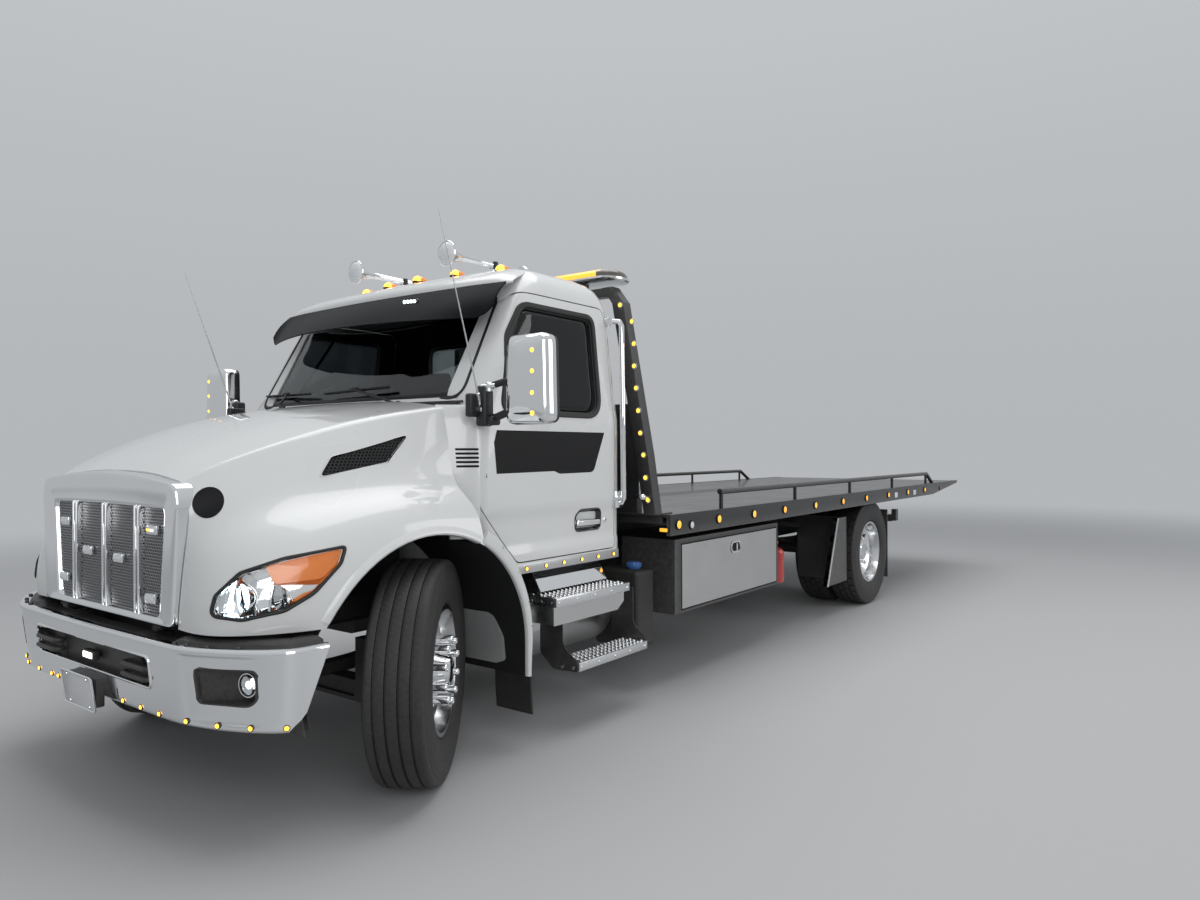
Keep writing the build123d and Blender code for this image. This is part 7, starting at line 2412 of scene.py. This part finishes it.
def cushion(bm, middle, across_run, along_run, up_run, crown, sink, channels, slot=0):
    """A padded slab: half sizes as vectors, its crown and underside, and the channels across it."""
    rings = []
    for side in (1, -1):
        sheet = []
        for j in range(GRID + 1):
            v = 2 * j / GRID - 1
            row = []
            for i in range(GRID + 1):
                u = 2 * i / GRID - 1
                flat_u = u * sqrt(1 - 0.16 * v * v)
                flat_v = v * sqrt(1 - 0.16 * u * u)
                edge = (max(0.0, 1 - abs(u) ** 5) * max(0.0, 1 - abs(v) ** 5)) ** 0.42
                seam = sum(0.10 * 2.718 ** -(((v - c) / 0.035) ** 2) for c in channels) if side > 0 else 0.0
                seam += 0.08 * 2.718 ** -(((abs(u) - 0.78) / 0.03) ** 2) if side > 0 else 0.0
                height = edge * (crown * (1 - 0.25 * (u * u + v * v) / 2 - seam) if side > 0 else -sink)
                row.append(bm.verts.new(middle + across_run * flat_u + along_run * flat_v + up_run * height))
            sheet.append(row)
        rings.append(sheet)
    for side, sheet in enumerate(rings):
        for j in range(GRID):
            for i in range(GRID):
                quad = (sheet[j][i], sheet[j][i + 1], sheet[j + 1][i + 1], sheet[j + 1][i])
                face = bm.faces.new(quad if side == 0 else tuple(reversed(quad)))
                face.material_index = slot
    bmesh.ops.remove_doubles(bm, verts=bm.verts[:], dist=0.0005)


pads = []
for side, word in SIDES:
    x = side * SEAT_X
    bm = bmesh.new()
    cushion(bm, at(x, 1.195, 1.262), Vector((0.252, 0, 0)), Vector((0, 0.236, 0)), Vector((0, 0, 1)), 0.070,
            0.045, (-0.35, 0.1, 0.5))
    pads.append(piece(f"seat_cushion_{word}", bm, "chassis", "seat_cloth", "seat cloth", angle=60))
    bm = bmesh.new()
    lean = Vector((0, 0.080, 0.770)).normalized()
    face = Vector((0, -lean.z, lean.y))
    cushion(bm, at(x, 1.475, 1.585), Vector((0.236, 0, 0)), lean * 0.300, face, 0.075, 0.045,
            (-0.45, 0.0, 0.45))
    cushion(bm, at(x, 1.512, 1.985), Vector((0.130, 0, 0)), lean * 0.098, face, 0.060, 0.035, ())
    pads.append(piece(f"seat_back_{word}", bm, "chassis", "seat_cloth", "seat cloth", angle=60))
for pad in pads:
    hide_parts("seats")
bm = bmesh.new()
block(bm, at(SEAT_X - 0.200, 1.000, 0.948), at(SEAT_X + 0.200, 1.400, 1.060), 0.010)
for k in range(6):
    half, low = 0.180 + k * 0.002, 1.060 + k * 0.024
    block(bm, at(SEAT_X - half, 1.020, low), at(SEAT_X + half, 1.380, low + 0.018), 0.008)
for way in (-0.06, 0.06):
    tube(bm, [at(SEAT_X + way, 1.535, 1.860), at(SEAT_X + way, 1.545, 1.960)], 0.008, 10, 1)
piece("seat_bases", bm, "chassis", "black_plastic", "black plastic", "chrome", both=True)
print("seat pads:", len(pads))

# %% Plain bars on the cowl
BARS = 5
BAR_Y0, BAR_Y1 = 0.330, 0.434
BAR_TOP, BAR_PITCH, BAR_TALL = 1.548, 0.021, 0.011
cowl_tree = surface(cowl)
bm = bmesh.new()
for k in range(BARS):
    top = BAR_TOP - k * BAR_PITCH
    rows = []
    for z in (top, top - BAR_TALL):
        row = []
        for j in range(9):
            start = at(1.3, BAR_Y0 + (BAR_Y1 - BAR_Y0) * j / 8, z)
            spot = cowl_tree.ray_cast(start, FROM_LEFT)[0]
            row.append(spot + Vector((0.0012, -0.0006, 0)))
        rows.append(row)
    bridge(bm, rows, closed=False)
piece("cowl_bars", bm, "chassis", "black_paint", "decal black", both=True)
print("bars on the cowl:", BARS)

# %% [markdown]
# ## Studio
# A plain pale floor and three large soft lamps. Further out the floor fades into the backdrop, so there is no
# edge between them. The backdrop is a little brighter overhead, and camera, mirrors and glass all see the
# same one.

# %% World
HORIZON = (0.46, 0.475, 0.49)
ZENITH = (0.58, 0.60, 0.62)
world = bpy.data.worlds.new("studio")
scene.world = world
world.use_nodes = True
tree = world.node_tree
tree.nodes.clear()


def any_ray(tree, *kinds):
    """1 for a ray of one of the kinds, 0 for the rest."""
    paths = tree.nodes.new("ShaderNodeLightPath")
    found = paths.outputs[f"Is {kinds[0]} Ray"]
    for kind in kinds[1:]:
        found = maths(tree, "MAXIMUM", found, paths.outputs[f"Is {kind} Ray"])
    return found


light = node(tree, "Background")
light.inputs["Color"].default_value = (0.93, 0.96, 1.0, 1)
light.inputs["Strength"].default_value = 0.42
way = node(tree, "TexCoord")
split = node(tree, "SeparateXYZ")
rise = node(tree, "MapRange", interpolation_type="SMOOTHSTEP")
rise.inputs["From Max"].default_value = 0.8
backdrop = node(tree, "Background")
pick = node(tree, "MixShader")
out = node(tree, "OutputWorld")
tree.links.new(way.outputs["Generated"], split.inputs[0])
tree.links.new(split.outputs["Z"], rise.inputs["Value"])
tree.links.new(blend(tree, rise.outputs["Result"], (*HORIZON, 1), (*ZENITH, 1)), backdrop.inputs["Color"])
tree.links.new(any_ray(tree, "Camera", "Glossy", "Transmission"), pick.inputs[0])
tree.links.new(light.outputs[0], pick.inputs[1])
tree.links.new(backdrop.outputs[0], pick.inputs[2])
tree.links.new(pick.outputs[0], out.inputs[0])
scene.view_settings.view_transform = "Standard"
print("world ready")

# %% Floor
FLOOR_HALF = 60.0
FADE_START = 6.0
FADE_END = 15.0
floor_bm = bmesh.new()
corners = [(-FLOOR_HALF, -FLOOR_HALF, 0), (FLOOR_HALF, -FLOOR_HALF, 0), (FLOOR_HALF, FLOOR_HALF, 0),
           (-FLOOR_HALF, FLOOR_HALF, 0)]
floor_bm.faces.new([floor_bm.verts.new(p) for p in corners])
floor_mesh = bpy.data.meshes.new("floor")
floor_bm.to_mesh(floor_mesh)
floor_bm.free()
floor_look = finish("studio floor", (0.48, 0.485, 0.49), 0.7, patch=(0.4, 0.02, 0.02))
tree = floor_look.node_tree
place = node(tree, "TexCoord")
flat = node(tree, "VectorMath", operation="MULTIPLY")
flat.inputs[1].default_value = (1, 0.75, 0)
reach = node(tree, "VectorMath", operation="LENGTH")
far = node(tree, "MapRange", interpolation_type="SMOOTHSTEP")
far.inputs["From Min"].default_value = FADE_START
far.inputs["From Max"].default_value = FADE_END
glow = node(tree, "Emission")
glow.inputs["Color"].default_value = (*HORIZON, 1)
mix = node(tree, "MixShader")
tree.links.new(place.outputs["Object"], flat.inputs[0])
tree.links.new(flat.outputs["Vector"], reach.inputs[0])
tree.links.new(reach.outputs["Value"], far.inputs["Value"])
shown = maths(tree, "MULTIPLY", far.outputs["Result"], any_ray(tree, "Camera", "Glossy", "Transmission"))
tree.links.new(shown, mix.inputs[0])
tree.links.new(tree.nodes["Principled BSDF"].outputs[0], mix.inputs[1])
tree.links.new(glow.outputs[0], mix.inputs[2])
tree.links.new(mix.outputs[0], tree.nodes["Material Output"].inputs["Surface"])
floor_mesh.materials.append(floor_look)
floor = bpy.data.objects.new("floor", floor_mesh)
scene.collection.objects.link(floor)
print("floor laid")

# %% Lamps


def soft_lamp(name, place, aim, size, power):
    """A square area lamp that faces a point."""
    data = bpy.data.lights.new(name, "AREA")
    data.shape = "SQUARE"
    data.size = size
    data.energy = power
    lamp = bpy.data.objects.new(name, data)
    lamp.location = place
    lamp.rotation_euler = (Vector(aim) - Vector(place)).to_track_quat("-Z", "Y").to_euler()
    scene.collection.objects.link(lamp)


soft_lamp("overhead", (0.0, -1.0, 9.0), (0, -0.5, 0.5), 9.0, 520)
soft_lamp("front left", (8.0, -9.0, 4.5), (0, -3.5, 1.2), 5.0, 190)
soft_lamp("side left", (9.5, 3.5, 4.0), (0, 0.5, 1.0), 5.0, 170)
print("lamps:", len(bpy.data.lights))

# %% [markdown]
# The camera stands about four metres off the front corner, at eye height,
# level, with a wide lens. Its place was worked out from the truck's own sizes.

# %% Camera
EYE = at(4.012, -2.522, 1.537)
YAW = 0.640
ROLL = -0.003
LENS = 24.94
camera_data = bpy.data.cameras.new("camera")
camera_data.sensor_width = 36.0
camera_data.lens = LENS
camera_data.clip_end = 200
camera = bpy.data.objects.new("camera", camera_data)
ahead = Vector((-sin(YAW), cos(YAW), 0))
right = Vector((cos(YAW), sin(YAW), 0))
up = right.cross(ahead)
tilted_right = right * cos(ROLL) + up * sin(ROLL)
tilted_up = up * cos(ROLL) - right * sin(ROLL)
turn = Matrix((tilted_right, tilted_up, -ahead)).transposed().to_4x4()
camera.matrix_world = Matrix.Translation(EYE) @ turn
scene.collection.objects.link(camera)
scene.camera = camera
print("camera at", [round(v, 3) for v in EYE])
